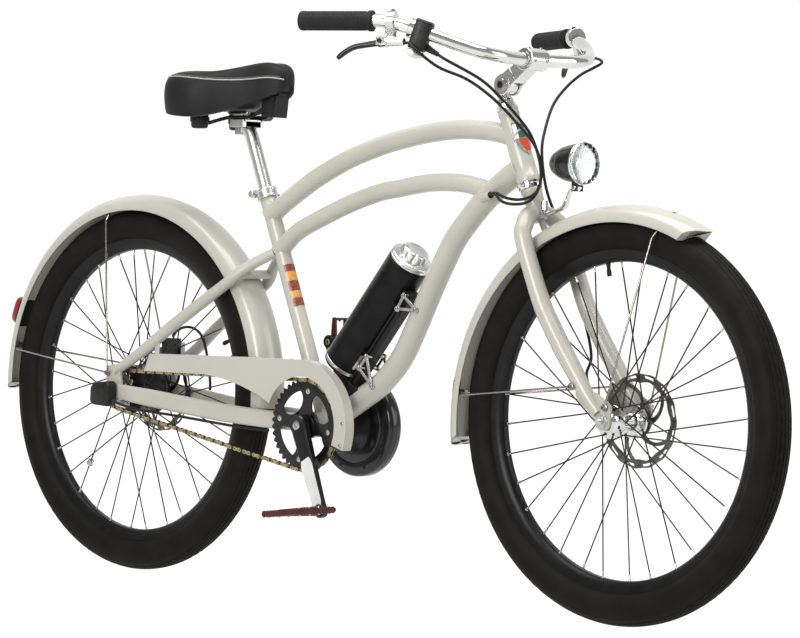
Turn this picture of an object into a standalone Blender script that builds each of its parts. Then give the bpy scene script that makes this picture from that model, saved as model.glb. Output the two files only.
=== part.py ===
"""Electric bicycle with a low curved frame, a drum motor at the crank and a tube battery.

Metres, +Z up, +X to the front wheel, +Y to the rider's left. The drive side is -Y.
Positions are written from the middle of the wheelbase, and place() moves every piece by ORIGIN_SHIFT.
"""

from itertools import pairwise
from math import atan2, cos, hypot, pi, radians, sin

import bmesh
import bpy
from mathutils import Matrix, Vector

# Gap between touching pieces, and the shift that centres the whole bicycle on the origin
GAP = 0.0003
ORIGIN_SHIFT = 0.0163

# Wheels
WHEELBASE = 1.1964
TYRE_R = 0.3400
TYRE_HALF_W = 0.0300
TYRE_DEPTH = 0.0545
TREAD_T = 0.0045
RIM_DEPTH = 0.0211
RIM_HALF_W = 0.0160
RIM_WALL = 0.0025
WHEEL_STEPS = 28
SPOKES_A_SIDE = 16
SPOKE_CROSS = 2
SPOKE_R = 0.0012
VALVE_R = 0.0042
VALVE_L = 0.0215
AXLE_R = 0.0050
NUT_R = 0.0105
NUT_T = 0.0065
FRONT_OLD = 0.1000
REAR_OLD = 0.1350
DROPOUT_T = 0.0050
FRONT_FLANGE_R = 0.0290
REAR_FLANGE_R = 0.0455
REAR_SHELL_R = 0.0400
ROTOR_R = 0.0800
ROTOR_T = 0.0018
ROTOR_BAND = 0.0140

# Drive
BB_X = -0.1027
BB_Z = 0.2985
SHELL_HALF = 0.0372
SHELL_R = 0.0225
PITCH = 0.0127
RING_TEETH = 40
COG_TEETH = 18
TOOTH_T = 0.0024
CHAIN_LINE = 0.0530
CHAIN_HALF_W = 0.0036
CHAIN_HALF_H = 0.0043
CHAIN_PLATE = 0.0011
CRANK_L = 0.1700
CRANK_ANGLE = -59.0
CRANK_AXLE_R = 0.0085
ARM_W = 0.0340
ARM_T = 0.0170
PEDAL_PIN_R = 0.0050
PEDAL_L = 0.0950
PEDAL_W = 0.0900
PEDAL_T = 0.0120
MOTOR_AHEAD = 0.0247
MOTOR_R = 0.0920
MOTOR_W = 0.0340

# Frame
HEAD_AT = (0.3674, 0.7477)
HEAD_SLOPE = -0.4300
HEAD_TOP_Z = 0.8570
HEAD_FOOT_Z = 0.7335
CUP_H = 0.0107
SEAT_AT = (-0.2636, 0.7004)
SEAT_SLOPE = -0.4129
SEAT_TOP_Z = 0.7190
SEAT_TUBE_R = 0.0153
SEATPOST_R = 0.0127
STEERER_R = 0.0127
HEAD_TUBE_R = 0.0200
TOP_TUBE_R = 0.0172
MID_TUBE_R = 0.0157
DOWN_TUBE_R = 0.0206
SEATSTAY_R = 0.0112
CHAINSTAY_W = 0.0130
CHAINSTAY_H = 0.0330
BRIDGE_R = 0.0085
FORK_LEG_R = 0.0156
FORK_LEG_Y = 0.0560
CROWN_R = 0.0180
GUARD_HALF_W = 0.0370
GUARD_T = 0.0020
GUARD_DROP = 0.0300
REAR_GUARD_ROOM = 0.0285
FRONT_GUARD_ROOM = 0.0200
FRONT_GUARD_FLARE = 0.0190
WIRE_R = 0.0024
CHAIN_GUARD_OUT_R = 0.1165
CHAIN_GUARD_IN_R = 0.0870
CHAIN_GUARD_LIP = 0.0210
CHAIN_GUARD_T = 0.0018

# Battery, along its own axis from its foot
BATTERY_FOOT = (0.0419, 0.1070)
BATTERY_DIR = (0.6402, 0.7682)
BATTERY_R = 0.0390
BATTERY_L = 0.2470
BATTERY_CAP_L = 0.0340

# Seat
SEAT_RISE = 0.1320
RAIL_R = 0.0034
RAIL_SPREAD = 0.0215
COLLAR_R = 0.0195
COLLAR_H = 0.0160

# Handlebar and levers
STEM_PIVOT_UP = 0.1535
STEM_PIVOT_AHEAD = 0.0175
STEM_REACH = (0.0561, 0.0418)
STEM_LUG_R = 0.0155
STEM_CHEEK_R = 0.0185
BAR_R = 0.0111
BAR_CLAMP_R = 0.0127
CLAMP_WALL = 0.0068
GRIP_R = 0.0165
GRIP_L = 0.1320
SWEEP = 24.7
LEVER_DROP = 75.0

REAR = (-WHEELBASE / 2, TYRE_R)
FRONT = (WHEELBASE / 2, TYRE_R)
BB = (BB_X, BB_Z)
RIM_R = TYRE_R - TYRE_DEPTH
RIM_IN_R = RIM_R - RIM_DEPTH
RING_R = PITCH / (2 * sin(pi / RING_TEETH))
COG_R = PITCH / (2 * sin(pi / COG_TEETH))
REAR_GUARD_R = TYRE_R + REAR_GUARD_ROOM
FRONT_GUARD_R = TYRE_R + FRONT_GUARD_ROOM
REAR_DROP_Y = REAR_OLD / 2 + GAP
FRONT_DROP_Y = FRONT_OLD / 2 + GAP
REAR_ROTOR_Y = REAR_OLD / 2 - 0.0155
FRONT_ROTOR_Y = FRONT_OLD / 2 - 0.0105
MOTOR_Y = (SHELL_HALF + GAP, SHELL_HALF + GAP + 0.0085, SHELL_HALF + GAP + 0.0085 + MOTOR_W)

MATERIALS = {}


def material(name, color, metallic=0.0, roughness=0.5):
    if name not in MATERIALS:
        made = bpy.data.materials.new(name)
        made.use_nodes = True
        shader = made.node_tree.nodes["Principled BSDF"]
        shader.inputs["Base Color"].default_value = (*color, 1.0)
        shader.inputs["Metallic"].default_value = metallic
        shader.inputs["Roughness"].default_value = roughness
        MATERIALS[name] = made
    return MATERIALS[name]


LOOKS = {
    "paint": ((0.57, 0.58, 0.49), 0.0, 0.35),
    "rubber": ((0.02, 0.02, 0.02), 0.0, 0.80),
    "black": ((0.03, 0.03, 0.03), 0.0, 0.45),
    "black_metal": ((0.03, 0.03, 0.035), 0.6, 0.35),
    "chrome": ((0.75, 0.75, 0.74), 1.0, 0.12),
    "steel": ((0.62, 0.62, 0.61), 1.0, 0.30),
    "leather": ((0.045, 0.045, 0.045), 0.0, 0.55),
    "brass": ((0.42, 0.34, 0.20), 1.0, 0.35),
    "red": ((0.45, 0.02, 0.02), 0.0, 0.25),
    "pedal": ((0.19, 0.06, 0.045), 0.2, 0.50),
    "lens": ((0.80, 0.82, 0.82), 0.0, 0.10),
}


def place(name, shape, look, at=(0.0, 0.0, 0.0), sharp=40):
    """The finished node: its origin is at the joint's axis, and the mesh keeps its place."""
    mesh = shape if isinstance(shape, bpy.types.Mesh) else mesh_of(shape)
    mesh.name = name
    mesh.transform(Matrix.Translation(-Vector(at)))
    obj = bpy.data.objects.new(name, mesh)
    obj.location = Vector(at) + Vector((ORIGIN_SHIFT, 0, 0))
    bpy.context.scene.collection.objects.link(obj)
    mesh.materials.clear()
    color, metallic, roughness = LOOKS[look]
    mesh.materials.append(material(name + "_" + look, color, metallic, roughness))
    mesh.polygons.foreach_set("use_smooth", [True] * len(mesh.polygons))
    mesh.set_sharp_from_angle(angle=radians(sharp))
    return obj


def mesh_of(bm):
    bmesh.ops.recalc_face_normals(bm, faces=bm.faces)
    mesh = bpy.data.meshes.new("made")
    bm.to_mesh(mesh)
    bm.free()
    return mesh


def temp(bm):
    obj = bpy.data.objects.new("temp", mesh_of(bm))
    bpy.context.scene.collection.objects.link(obj)
    return obj


def boolean(base, tools, operation):
    """base and tools are bmeshes or meshes. The result is a mesh, and nothing else stays."""
    if isinstance(base, bpy.types.Mesh):
        body = bpy.data.objects.new("temp", base)
        bpy.context.scene.collection.objects.link(body)
    else:
        body = temp(base)
    helpers = []
    for tool in tools:
        if isinstance(tool, bpy.types.Mesh):
            helper = bpy.data.objects.new("temp", tool)
            bpy.context.scene.collection.objects.link(helper)
        else:
            helper = temp(tool)
        helpers.append(helper)
        step = body.modifiers.new("step", "BOOLEAN")
        step.operation = operation
        step.solver = "EXACT"
        step.object = helper
    bpy.context.view_layer.update()
    graph = bpy.context.evaluated_depsgraph_get()
    mesh = bpy.data.meshes.new_from_object(body.evaluated_get(graph))
    for helper in helpers + [body]:
        bpy.data.objects.remove(helper, do_unlink=True)
    return mesh


def union(first, *others):
    return boolean(first, others, "UNION")


def cut(base, *tools):
    return boolean(base, tools, "DIFFERENCE")


def skin(rings, closed=False):
    """A surface through rings of equal length. An open one gets its two ends capped."""
    bm = bmesh.new()
    rows = [[bm.verts.new(point) for point in ring] for ring in rings]
    count = len(rows[0])
    pairs = list(zip(rows, rows[1:]))
    if closed:
        pairs.append((rows[-1], rows[0]))
    for low, high in pairs:
        for i in range(count):
            j = (i + 1) % count
            bm.faces.new((low[i], low[j], high[j], high[i]))
    if not closed:
        bm.faces.new(rows[0][::-1])
        bm.faces.new(rows[-1])
    return bm


def turned(profile, centre, steps, start=0.0):
    """A ring turned about the Y axis through centre (x, z). profile is a loop of (radius, y)."""
    rings = []
    for k in range(steps):
        angle = start + 2 * pi * k / steps
        rings.append(
            [(centre[0] + r * cos(angle), y, centre[1] + r * sin(angle)) for r, y in profile]
        )
    return skin(rings, closed=True)


def disc(radius, y0, y1, centre, steps):
    """A solid round piece along Y from y0 to y1."""
    turns = [2 * pi * k / steps for k in range(steps)]
    return skin(
        [[(centre[0] + radius * cos(a), y, centre[1] + radius * sin(a)) for a in turns] for y in (y0, y1)]
    )


def running(radius, steps):
    """The radius of a bore with steps flats that a pin of this radius turns in, GAP clear of each flat."""
    return (radius + GAP) / cos(pi / steps)


def frames_along(points, up):
    """Two directions across the line at each point, turned as little as possible."""
    points = [Vector(p) for p in points]
    out = []
    side = None
    for i in range(len(points)):
        ahead = points[min(i + 1, len(points) - 1)] - points[max(i - 1, 0)]
        if ahead.length < 1e-6:
            ahead = points[-1] - points[0]
        ahead.normalize()
        if side is None:
            side = Vector(up).cross(ahead).normalized()
        side = (side - ahead * side.dot(ahead)).normalized()
        out.append((side, ahead.cross(side)))
    return points, out


def tube(points, radius, sides=12, up=(0, 0, 1)):
    """A round bar through points. radius is one number or one for each point."""
    radii = radius if isinstance(radius, (list, tuple)) else [radius] * len(points)
    points, frames = frames_along(points, up)
    rings = []
    for point, r, (a, b) in zip(points, radii, frames):
        rings.append(
            [
                point + r * (a * cos(2 * pi * k / sides) + b * sin(2 * pi * k / sides))
                for k in range(sides)
            ]
        )
    return skin(rings)


def flat_bar(points, widths, heights, up=(0, 0, 1), edge=0.28):
    """A bar of flat section through points: width along side, height along up. edge breaks its corners."""
    points, frames = frames_along(points, up)
    rings = []
    for point, w, h, (a, b) in zip(points, widths, heights, frames):
        k = edge * min(w, h)
        corners = [
            (w / 2, -h / 2 + k), (w / 2, h / 2 - k), (w / 2 - k, h / 2), (-w / 2 + k, h / 2),
            (-w / 2, h / 2 - k), (-w / 2, -h / 2 + k), (-w / 2 + k, -h / 2), (w / 2 - k, -h / 2),
        ]
        if not edge:
            corners = [corners[1], corners[3], corners[5], corners[7]]
        rings.append([point + a * s + b * t for s, t in corners])
    return skin(rings)


def slab(outline, y0, y1):
    """An outline of (x, z) made solid from y0 to y1."""
    return skin([[(x, y0, z) for x, z in outline], [(x, y1, z) for x, z in outline]])


def block(low, high):
    (x0, y0, z0), (x1, y1, z1) = low, high
    return slab([(x0, z0), (x1, z0), (x1, z1), (x0, z1)], y0, y1)


def smooth_line(points, count):
    """count points on a smooth curve through points, evenly spaced by length."""
    points = [Vector(p) for p in points]
    ends = [points[0] * 2 - points[1]] + points + [points[-1] * 2 - points[-2]]
    fine = []
    for i in range(1, len(ends) - 2):
        p0, p1, p2, p3 = ends[i - 1: i + 3]
        for k in range(12):
            t = k / 12
            fine.append(
                0.5 * (2 * p1 + (p2 - p0) * t + (2 * p0 - 5 * p1 + 4 * p2 - p3) * t * t
                       + (3 * p1 - p0 - 3 * p2 + p3) * t * t * t)
            )
    fine.append(points[-1])
    lengths = [0.0]
    for a, b in zip(fine, fine[1:]):
        lengths.append(lengths[-1] + (b - a).length)
    out = []
    k = 0
    for i in range(count):
        want = lengths[-1] * i / (count - 1)
        while k < len(fine) - 2 and lengths[k + 1] < want:
            k += 1
        share = (want - lengths[k]) / max(lengths[k + 1] - lengths[k], 1e-9)
        out.append(fine[k].lerp(fine[k + 1], min(max(share, 0.0), 1.0)))
    return out


def near(anchor, points):
    """Points given as (dx, dz) or (dx, y, dz) from an anchor (x, z), as points in space."""
    out = []
    for p in points:
        y = p[1] if len(p) == 3 else 0.0
        out.append((anchor[0] + p[0], y, anchor[1] + p[-1]))
    return out


def flat_near(anchor, points):
    return [(x, z) for x, y, z in near(anchor, points)]


def on_head(z):
    return HEAD_AT[0] + (z - HEAD_AT[1]) * HEAD_SLOPE


def on_seat(z):
    return SEAT_AT[0] + (z - SEAT_AT[1]) * SEAT_SLOPE


def head_point(z):
    return Vector((on_head(z), 0, z))


def seat_point(z):
    return Vector((on_seat(z), 0, z))


def mirrored(points):
    return [(p[0], -p[1], p[2]) for p in points]


def both_ways(half):
    """The loop of (r, y) that has half on one side, and its mirror on the other."""
    return half + [(r, -y) for r, y in half[::-1] if y]


def cable(name, points, radius):
    """A cable as a curve, with a point about every three diameters on a smooth route."""
    length = sum((b - a).length for a, b in pairwise(smooth_line(points, 60)))
    route = smooth_line(points, int(length / (radius * 6)) + 2)
    data = bpy.data.curves.new(name, "CURVE")
    data.dimensions = "3D"
    line = data.splines.new("POLY")
    line.points.add(len(route) - 1)
    for point, at in zip(line.points, route):
        point.co = (*at, 1.0)
    data.bevel_depth = radius
    data.bevel_resolution = 2
    data.use_fill_caps = True
    obj = bpy.data.objects.new(name, data)
    obj.location = (ORIGIN_SHIFT, 0, 0)
    bpy.context.scene.collection.objects.link(obj)
    color, metallic, roughness = LOOKS["rubber"]
    data.materials.append(material(name + "_rubber", color, metallic, roughness))
    return obj


for old in list(bpy.data.objects):
    bpy.data.objects.remove(old, do_unlink=True)

# Frame: curved twin top tubes, S-shaped down tube, stays, shell, dropouts and lugs
HEAD = (on_head(0.7600), 0.7600)
SEAT_HIGH = (on_seat(0.6720), 0.6720)
SEAT_LOW = (on_seat(0.6080), 0.6080)
head_tube = tube(
    [head_point(z) for z in (HEAD_TOP_Z, HEAD_TOP_Z - 0.0220, HEAD_TOP_Z - 0.0570, HEAD_FOOT_Z)],
    [HEAD_TUBE_R - 0.0030, HEAD_TUBE_R - 0.0025, HEAD_TUBE_R - 0.0005, HEAD_TUBE_R], 14,
)
seat_tube = tube([seat_point(SEAT_TOP_Z), seat_point(BB_Z + 0.0065)], SEAT_TUBE_R, 12)
top_line = smooth_line(
    near(SEAT_HIGH, [
        (-0.0050, 0.0000), (0.0280, 0.0212), (0.0687, 0.0450), (0.1192, 0.0716), (0.1941, 0.1030),
        (0.2681, 0.1250),
    ])
    + near(
        HEAD,
        [(-0.2965, 0.0483), (-0.2241, 0.0603), (-0.1527, 0.0660), (-0.0822, 0.0630), (-0.0270, 0.0533)]
    ),
    9,
)
mid_line = smooth_line(
    near(SEAT_LOW, [
        (-0.0055, 0.0000), (0.0178, 0.0192), (0.0434, 0.0370), (0.0940, 0.0585), (0.1691, 0.0862),
        (0.2431, 0.1073),
    ])
    + near(
        HEAD,
        [
            (-0.2936, -0.0368), (-0.2212, -0.0268), (-0.1496, -0.0265), (-0.1041, -0.0338),
            (-0.0790, -0.0410)
        ]
    ),
    8,
)
DOWN_LINE = smooth_line(
    near(HEAD, [
        (-0.0060, -0.0010), (-0.0420, -0.0225), (-0.0645, -0.0378), (-0.0895, -0.0570),
        (-0.1215, -0.0866),
        (-0.1557, -0.1234), (-0.1783, -0.1584), (-0.2012, -0.1971),
    ])
    + near(BB, [
        (0.2400, 0.2205), (0.2170, 0.1766), (0.1941, 0.1373), (0.1706, 0.1082), (0.1348, 0.0767),
        (0.0861, 0.0479),
        (0.0105, 0.0055),
    ]),
    13,
)
CHAINSTAY = near(REAR, [
    (0.0132, -REAR_DROP_Y - 0.0034, -0.0015), (0.0532, -0.0665, -0.0070), (0.1132, -0.0605, -0.0134),
    (0.2632, -0.0500, -0.0284),
]) + near(BB, [
    (-0.1273, -0.0480, 0.0070), (-0.0673, -0.0400, 0.0040), (-0.0053, -0.0250, 0.0000),
])
CHAINSTAY_SHARES = ((0.55, 0.82), (0.77, 0.91), (0.92, 0.97), (1, 1), (1, 1), (0.92, 0.94), (0.85, 0.82))
SEATSTAY = near(REAR, [
    (0.0052, -REAR_DROP_Y - 0.0007, 0.0360), (0.0462, -0.0670, 0.0590), (0.0900, -0.0650, 0.0852),
    (0.1498, -0.0590, 0.1263),
]) + near(SEAT_LOW, [
    (-0.1064, -0.0510, -0.0705), (-0.0794, -0.0470, -0.0515), (-0.0544, -0.0330, -0.0300),
    (-0.0074, -0.0110, -0.0030),
])
SEATSTAY_SHARES = (0.76, 0.90, 0.98, 1.0, 0.98, 0.94, 0.89, 0.85)
stays = []
for side in (1, -1):
    line = CHAINSTAY if side == 1 else mirrored(CHAINSTAY)
    widths = [CHAINSTAY_W * w for w, h in CHAINSTAY_SHARES]
    heights = [CHAINSTAY_H * h for w, h in CHAINSTAY_SHARES]
    stays.append(flat_bar(line, widths, heights))
    line = SEATSTAY if side == 1 else mirrored(SEATSTAY)
    stays.append(tube(line, [SEATSTAY_R * share for share in SEATSTAY_SHARES], 8))
DROPOUT = flat_near(REAR, [
    (0.0222, -0.0170), (0.0222, 0.0160), (0.0182, 0.0460), (0.0022, 0.0480), (-0.0198, 0.0440),
    (-0.0178, 0.0200),
    (-0.0138, -0.0140), (0.0002, -0.0200),
])
seat_bridge_a = radians(36.4)
seat_bridge_r = REAR_GUARD_R + BRIDGE_R + GAP * 2
seat_bridge_at = (
    REAR[0] + seat_bridge_r * cos(seat_bridge_a), REAR[1] + seat_bridge_r * sin(seat_bridge_a)
)
foot_bridge_a = radians(-5.2)
foot_bridge_r = REAR_GUARD_R + BRIDGE_R + GAP * 2
foot_bridge_at = (
    REAR[0] + foot_bridge_r * cos(foot_bridge_a), REAR[1] + foot_bridge_r * sin(foot_bridge_a)
)
PORT = Vector(near(HEAD, [(-0.0556, -0.0238, -0.0477)])[0])
port_way = Vector((0.0250, -0.0050, 0.0050)).normalized()
rear_lug = block(
    (
        REAR[0] + 0.0182, REAR_ROTOR_Y + 0.0058, REAR[1] + 0.0450
    ), (REAR[0] + 0.0422, REAR_DROP_Y + 0.0030, REAR[1] + 0.0900)
)
frame_mesh = union(
    head_tube, seat_tube, tube(top_line, TOP_TUBE_R, 12), tube(mid_line, MID_TUBE_R, 12),
    tube(DOWN_LINE, [DOWN_TUBE_R - 0.0010] + [DOWN_TUBE_R] * 12, 12),
    disc(SHELL_R, -SHELL_HALF, SHELL_HALF, BB, 16), *stays,
    slab(DROPOUT, -REAR_DROP_Y - DROPOUT_T, -REAR_DROP_Y),
    slab(DROPOUT, REAR_DROP_Y, REAR_DROP_Y + DROPOUT_T),
    disc(BRIDGE_R, -0.0440, 0.0440, seat_bridge_at, 8),
    disc(BRIDGE_R, -0.0420, 0.0420, foot_bridge_at, 8),
    tube([PORT - port_way * 0.0240, PORT], 0.0068, 8), rear_lug,
)
frame_mesh = cut(
    frame_mesh,
    tube([head_point(HEAD_TOP_Z + 0.01), head_point(HEAD_FOOT_Z - 0.01)], running(STEERER_R, 12), 12),
    tube([seat_point(SEAT_TOP_Z + 0.01), seat_point(SEAT_TOP_Z - 0.2240)], SEATPOST_R + GAP, 12),
    disc(running(CRANK_AXLE_R, 12), -0.05, 0.05, BB, 12),
    disc(AXLE_R + GAP, -0.09, 0.09, REAR, 10),
    tube([PORT - port_way * 0.0080, PORT + port_way * 0.0050], 0.0056, 8),
)
place("frame", frame_mesh, "paint")

headset = cut(
    tube(
        [head_point(HEAD_FOOT_Z - GAP * 1.2), head_point(HEAD_FOOT_Z - CUP_H)],
        [HEAD_TUBE_R + 0.0020, HEAD_TUBE_R], 14
    ),
    tube([head_point(HEAD_FOOT_Z + 0.01), head_point(HEAD_FOOT_Z - 0.03)], running(STEERER_R, 12), 12),
)
place("headset_cup", headset, "chrome")


# Mudguards and their wire stays
def guard_crown(crown, flare, angle):
    """The crown radius, which grows past 110 degrees where the guard stands off the tyre."""
    return crown + flare * max(0.0, angle - 110) / 79


def mudguard(centre, crown, flare, start, end, steps, tip, wall=GUARD_T):
    """A domed band over the wheel. tip adds length to its crown at the end."""
    half = GUARD_HALF_W
    drop = GUARD_DROP
    outer = both_ways([(drop, half), (drop * 0.46, half * 0.87), (drop * 0.12, half * 0.54), (0.0, 0.0)])
    inner = both_ways([(drop, half - wall), (drop * 0.30 + wall, half * 0.66), (wall, 0.0)])
    rings = []
    for k in range(steps + 1):
        share = k / steps
        angle = start + (end - start) * share
        ring = []
        for d, y in outer + inner[::-1]:
            r = guard_crown(crown, flare, angle) - d
            extra = tip * max(0.0, share - 0.8) / 0.2 * (1 - (y / half) ** 2)
            a = radians(angle) - extra / crown
            ring.append((centre[0] + r * cos(a), y, centre[1] + r * sin(a)))
        rings.append(ring)
    return skin(rings)


steer_at = (on_head(0.7000), 0, 0.7000)
place("rear_mudguard", mudguard(REAR, REAR_GUARD_R, 0.0, 182.0, -3.0, 21, 0.0), "paint", sharp=60)
place(
    "front_mudguard", mudguard(FRONT, FRONT_GUARD_R, FRONT_GUARD_FLARE, 189.0, 66.5, 16, 0.0300), "paint",
    steer_at, sharp=60,
)


def wire_stay(centre, angle, crown, foot, cross):
    """A U-shaped wire from foot up inside the guard, where it crosses at cross below the crown."""
    a = radians(angle)

    def polar(d, y):
        return Vector((centre[0] + (crown - d) * cos(a), y, centre[1] + (crown - d) * sin(a)))

    edge = GUARD_DROP
    half = [
        foot, polar(edge + 0.0150, -0.0420), polar(edge + 0.0045, -0.0342), polar(edge - 0.0020, -0.0300),
        polar(cross, -0.0240),
    ]
    wire = tube(half + mirrored(half)[::-1], WIRE_R, 4, up=(cos(a + 1.2), 0.0, sin(a + 1.2)))
    clip = tube([polar(cross + 0.0010, 0.0), polar(GUARD_T + 0.0026, 0.0)], 0.0036, 5, up=(0, 1, 0))
    return union(wire, clip)


def eye_discs(at, inner, outer):
    return [disc(0.0055, -outer, -inner, at, 6), disc(0.0055, inner, outer, at, 6)]


REAR_EYE = flat_near(REAR, [(-0.0118, 0.0320)])[0]
eye_in = REAR_DROP_Y + DROPOUT_T + GAP
rear_foot = (REAR_EYE[0], -eye_in - 0.0045, REAR_EYE[1])
rear_wires = [wire_stay(REAR, angle, REAR_GUARD_R, rear_foot, 0.0190) for angle in (168.5, 101.5)]
place("rear_guard_stays", union(*rear_wires, *eye_discs(REAR_EYE, eye_in, eye_in + 0.0065)), "steel")

LOW_EYE = flat_near(FRONT, [(-0.0560, 0.0560)])[0]
TOP_EYE = flat_near(FRONT, [(0.0060, 0.0240)])[0]
low_in = FORK_LEG_Y + 0.0133
top_in = FRONT_DROP_Y + DROPOUT_T + GAP
for name, eye, inner, angle in (
    ("front_guard_stay_low", LOW_EYE, low_in, 175.0), ("front_guard_stay_top", TOP_EYE, top_in, 74.5)
):
    crown = guard_crown(FRONT_GUARD_R, FRONT_GUARD_FLARE, angle)
    wire = wire_stay(FRONT, angle, crown, (eye[0], -inner - 0.0035, eye[1]), 0.0155)
    place(name, union(wire, *eye_discs(eye, inner, inner + 0.0065)), "steel", steer_at)

# Tail light on the rear mudguard
LAMP_A = radians(158.5)
lamp_out = Vector((cos(LAMP_A), 0, sin(LAMP_A)))
lamp_up = Vector((-sin(LAMP_A), 0, cos(LAMP_A)))
lamp_rings = []
for out, half_w, half_h in (
    (-0.0060, 0.0200, 0.0290), (0.0150, 0.0195, 0.0285), (0.0235, 0.0140, 0.0220)
):
    mid = Vector((REAR[0], 0, REAR[1])) + lamp_out * (REAR_GUARD_R + out)
    ring = []
    for k in range(12):
        a = 2 * pi * (k + 0.5) / 12
        across = half_w * abs(cos(a)) ** 0.5 * (1 if cos(a) > 0 else -1)
        up = half_h * abs(sin(a)) ** 0.5 * (1 if sin(a) > 0 else -1)
        ring.append(mid + lamp_up * up + Vector((0, across, 0)))
    lamp_rings.append(ring)
filled_guard = mudguard(REAR, REAR_GUARD_R + GAP * 2, 0.0, 182.0, 97.9, 10, 0.0, wall=0.0200)
place("tail_light", cut(skin(lamp_rings), filled_guard), "red")

# Chain guard: a flat plate over the upper chain run, with a turned-in edge
GUARD_Y = -CHAIN_LINE - 0.0130
arc_out = [
    (
        BB[0] + CHAIN_GUARD_OUT_R * cos(radians(a)), BB[1] + CHAIN_GUARD_OUT_R * sin(radians(a))
    ) for a in range(90, -21, -10)
]
arc_in = [
    (
        BB[0] + CHAIN_GUARD_IN_R * cos(radians(a)), BB[1] + CHAIN_GUARD_IN_R * sin(radians(a))
    ) for a in range(-20, 156, 16)
]
edge_line = flat_near(
    REAR, [(0.0932, 0.0713), (0.2382, 0.0730)]
) + flat_near(BB, [(-0.1273, 0.1165)]) + arc_out
under_line = flat_near(
    BB, [(-0.1073, 0.0495), (-0.1578, 0.0649), (-0.2073, 0.0755)]
) + flat_near(REAR, [(0.2442, 0.0390), (0.0782, 0.0385)])
lip_in = []
for i, (x, z) in enumerate(edge_line):
    a, b = edge_line[max(i - 1, 0)], edge_line[min(i + 1, len(edge_line) - 1)]
    dx, dz = b[0] - a[0], b[1] - a[1]
    n = hypot(dx, dz)
    lip_in.append((x + dz / n * CHAIN_GUARD_T, z - dx / n * CHAIN_GUARD_T))
lip = slab(edge_line + lip_in[::-1], GUARD_Y + 0.0005, GUARD_Y + CHAIN_GUARD_LIP)
plate = slab(edge_line + arc_in + under_line, GUARD_Y, GUARD_Y + CHAIN_GUARD_T)
tab_z = edge_line[2][1] - 0.0030
seat_tab = block(
    (on_seat(tab_z) - 0.0100, GUARD_Y + 0.0190, tab_z - 0.0020),
    (on_seat(tab_z) + 0.0100, 0.0, tab_z + 0.0020)
)
rear_tab = block(
    (REAR[0] + 0.1080, GUARD_Y, REAR[1] + 0.0650),
    (REAR[0] + 0.1200, GUARD_Y + CHAIN_GUARD_T, REAR[1] + 0.1030)
)
guard_seats = (
    tube([seat_point(tab_z + 0.05), seat_point(tab_z - 0.05)], SEAT_TUBE_R + GAP, 12),
    tube(SEATSTAY, [SEATSTAY_R * share + GAP for share in SEATSTAY_SHARES], 8),
)
place("chain_guard", cut(union(plate, lip, seat_tab, rear_tab), *guard_seats), "paint")

# Chain: two rows of plates astride the teeth, bridged outside the tooth tips
chain_dx, chain_dz = REAR[0] - BB[0], REAR[1] - BB[1]
chain_span = hypot(chain_dx, chain_dz)
chain_base = atan2(chain_dz, chain_dx)
chain_lean = pi / 2 - atan2(RING_R - COG_R, (chain_span ** 2 - (RING_R - COG_R) ** 2) ** 0.5)
chain_stops = []
for k in range(14):
    chain_stops.append((chain_base + chain_lean + (2 * pi - 2 * chain_lean) * k / 13, BB, RING_R))
for k in range(8):
    chain_stops.append((chain_base - chain_lean + 2 * chain_lean * k / 7, REAR, COG_R))
h, w = CHAIN_HALF_H, CHAIN_HALF_W
section = [
    (h, -w), (h, w), (-h, w), (-h, w - CHAIN_PLATE), (h - 0.0013, w - CHAIN_PLATE),
    (h - 0.0013, CHAIN_PLATE - w),
    (-h, CHAIN_PLATE - w), (-h, -w),
]
chain_rings = []
for a, centre, r in chain_stops:
    chain_rings.append(
        [
            (centre[0] + (r + up) * cos(a), across - CHAIN_LINE, centre[1] + (r + up) * sin(a)) for up,
            across in section
        ]
    )
place("chain", skin(chain_rings, closed=True), "brass")

# Drum motor left of the crank. The crank axle passes through it off its centre
MOTOR_C = (BB_X + MOTOR_AHEAD, BB_Z - 0.0015)
motor_bm = skin([
    [(MOTOR_C[0] + r * cos(2 * pi * k / 20), y, MOTOR_C[1] + r * sin(2 * pi * k / 20)) for k in range(20)]
    for r, y in (
        (MOTOR_R - 0.0420, MOTOR_Y[0]), (MOTOR_R - 0.0420, MOTOR_Y[1]), (MOTOR_R - 0.0270, MOTOR_Y[1]),
        (MOTOR_R - 0.0250, MOTOR_Y[1] + 0.0030), (MOTOR_R - 0.0060, MOTOR_Y[1] + 0.0030),
        (MOTOR_R, MOTOR_Y[1] + 0.0090),
        (MOTOR_R, MOTOR_Y[2] - 0.0060), (MOTOR_R - 0.0060, MOTOR_Y[2]),
    )
])
place("motor_housing", cut(motor_bm, disc(running(CRANK_AXLE_R, 12), 0.02, 0.10, BB, 12)), "black")

# Battery tube and cap, and the cradle that carries them on the down tube
battery_up = Vector((BATTERY_DIR[0], 0, BATTERY_DIR[1])).normalized()
battery_out = Vector((battery_up.z, 0, -battery_up.x))
battery_foot = Vector((BB[0] + BATTERY_FOOT[0], 0, BB[1] + BATTERY_FOOT[1]))


def along(s, off=0.0, y=0.0):
    return battery_foot + battery_up * s + battery_out * off + Vector((0, y, 0))


can = tube([along(0.0), along(0.0030), along(BATTERY_L)], [BATTERY_R - 0.0025, BATTERY_R, BATTERY_R], 24)
place("battery_can", can, "black_metal", tuple(battery_foot))
cap = tube(
    [
        along(BATTERY_L + GAP), along(BATTERY_L + BATTERY_CAP_L * 0.45),
        along(BATTERY_L + BATTERY_CAP_L * 0.8), along(BATTERY_L + BATTERY_CAP_L)
    ],
    [BATTERY_R - 0.0008, BATTERY_R - 0.0025, BATTERY_R - 0.0090, BATTERY_R - 0.0190], 24,
)
place("battery_cap", cap, "steel", tuple(battery_foot))


def battery_slab(corners, y0, y1):
    return skin([[along(s, m, y) for s, m in corners] for y in (y0, y1)])


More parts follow.
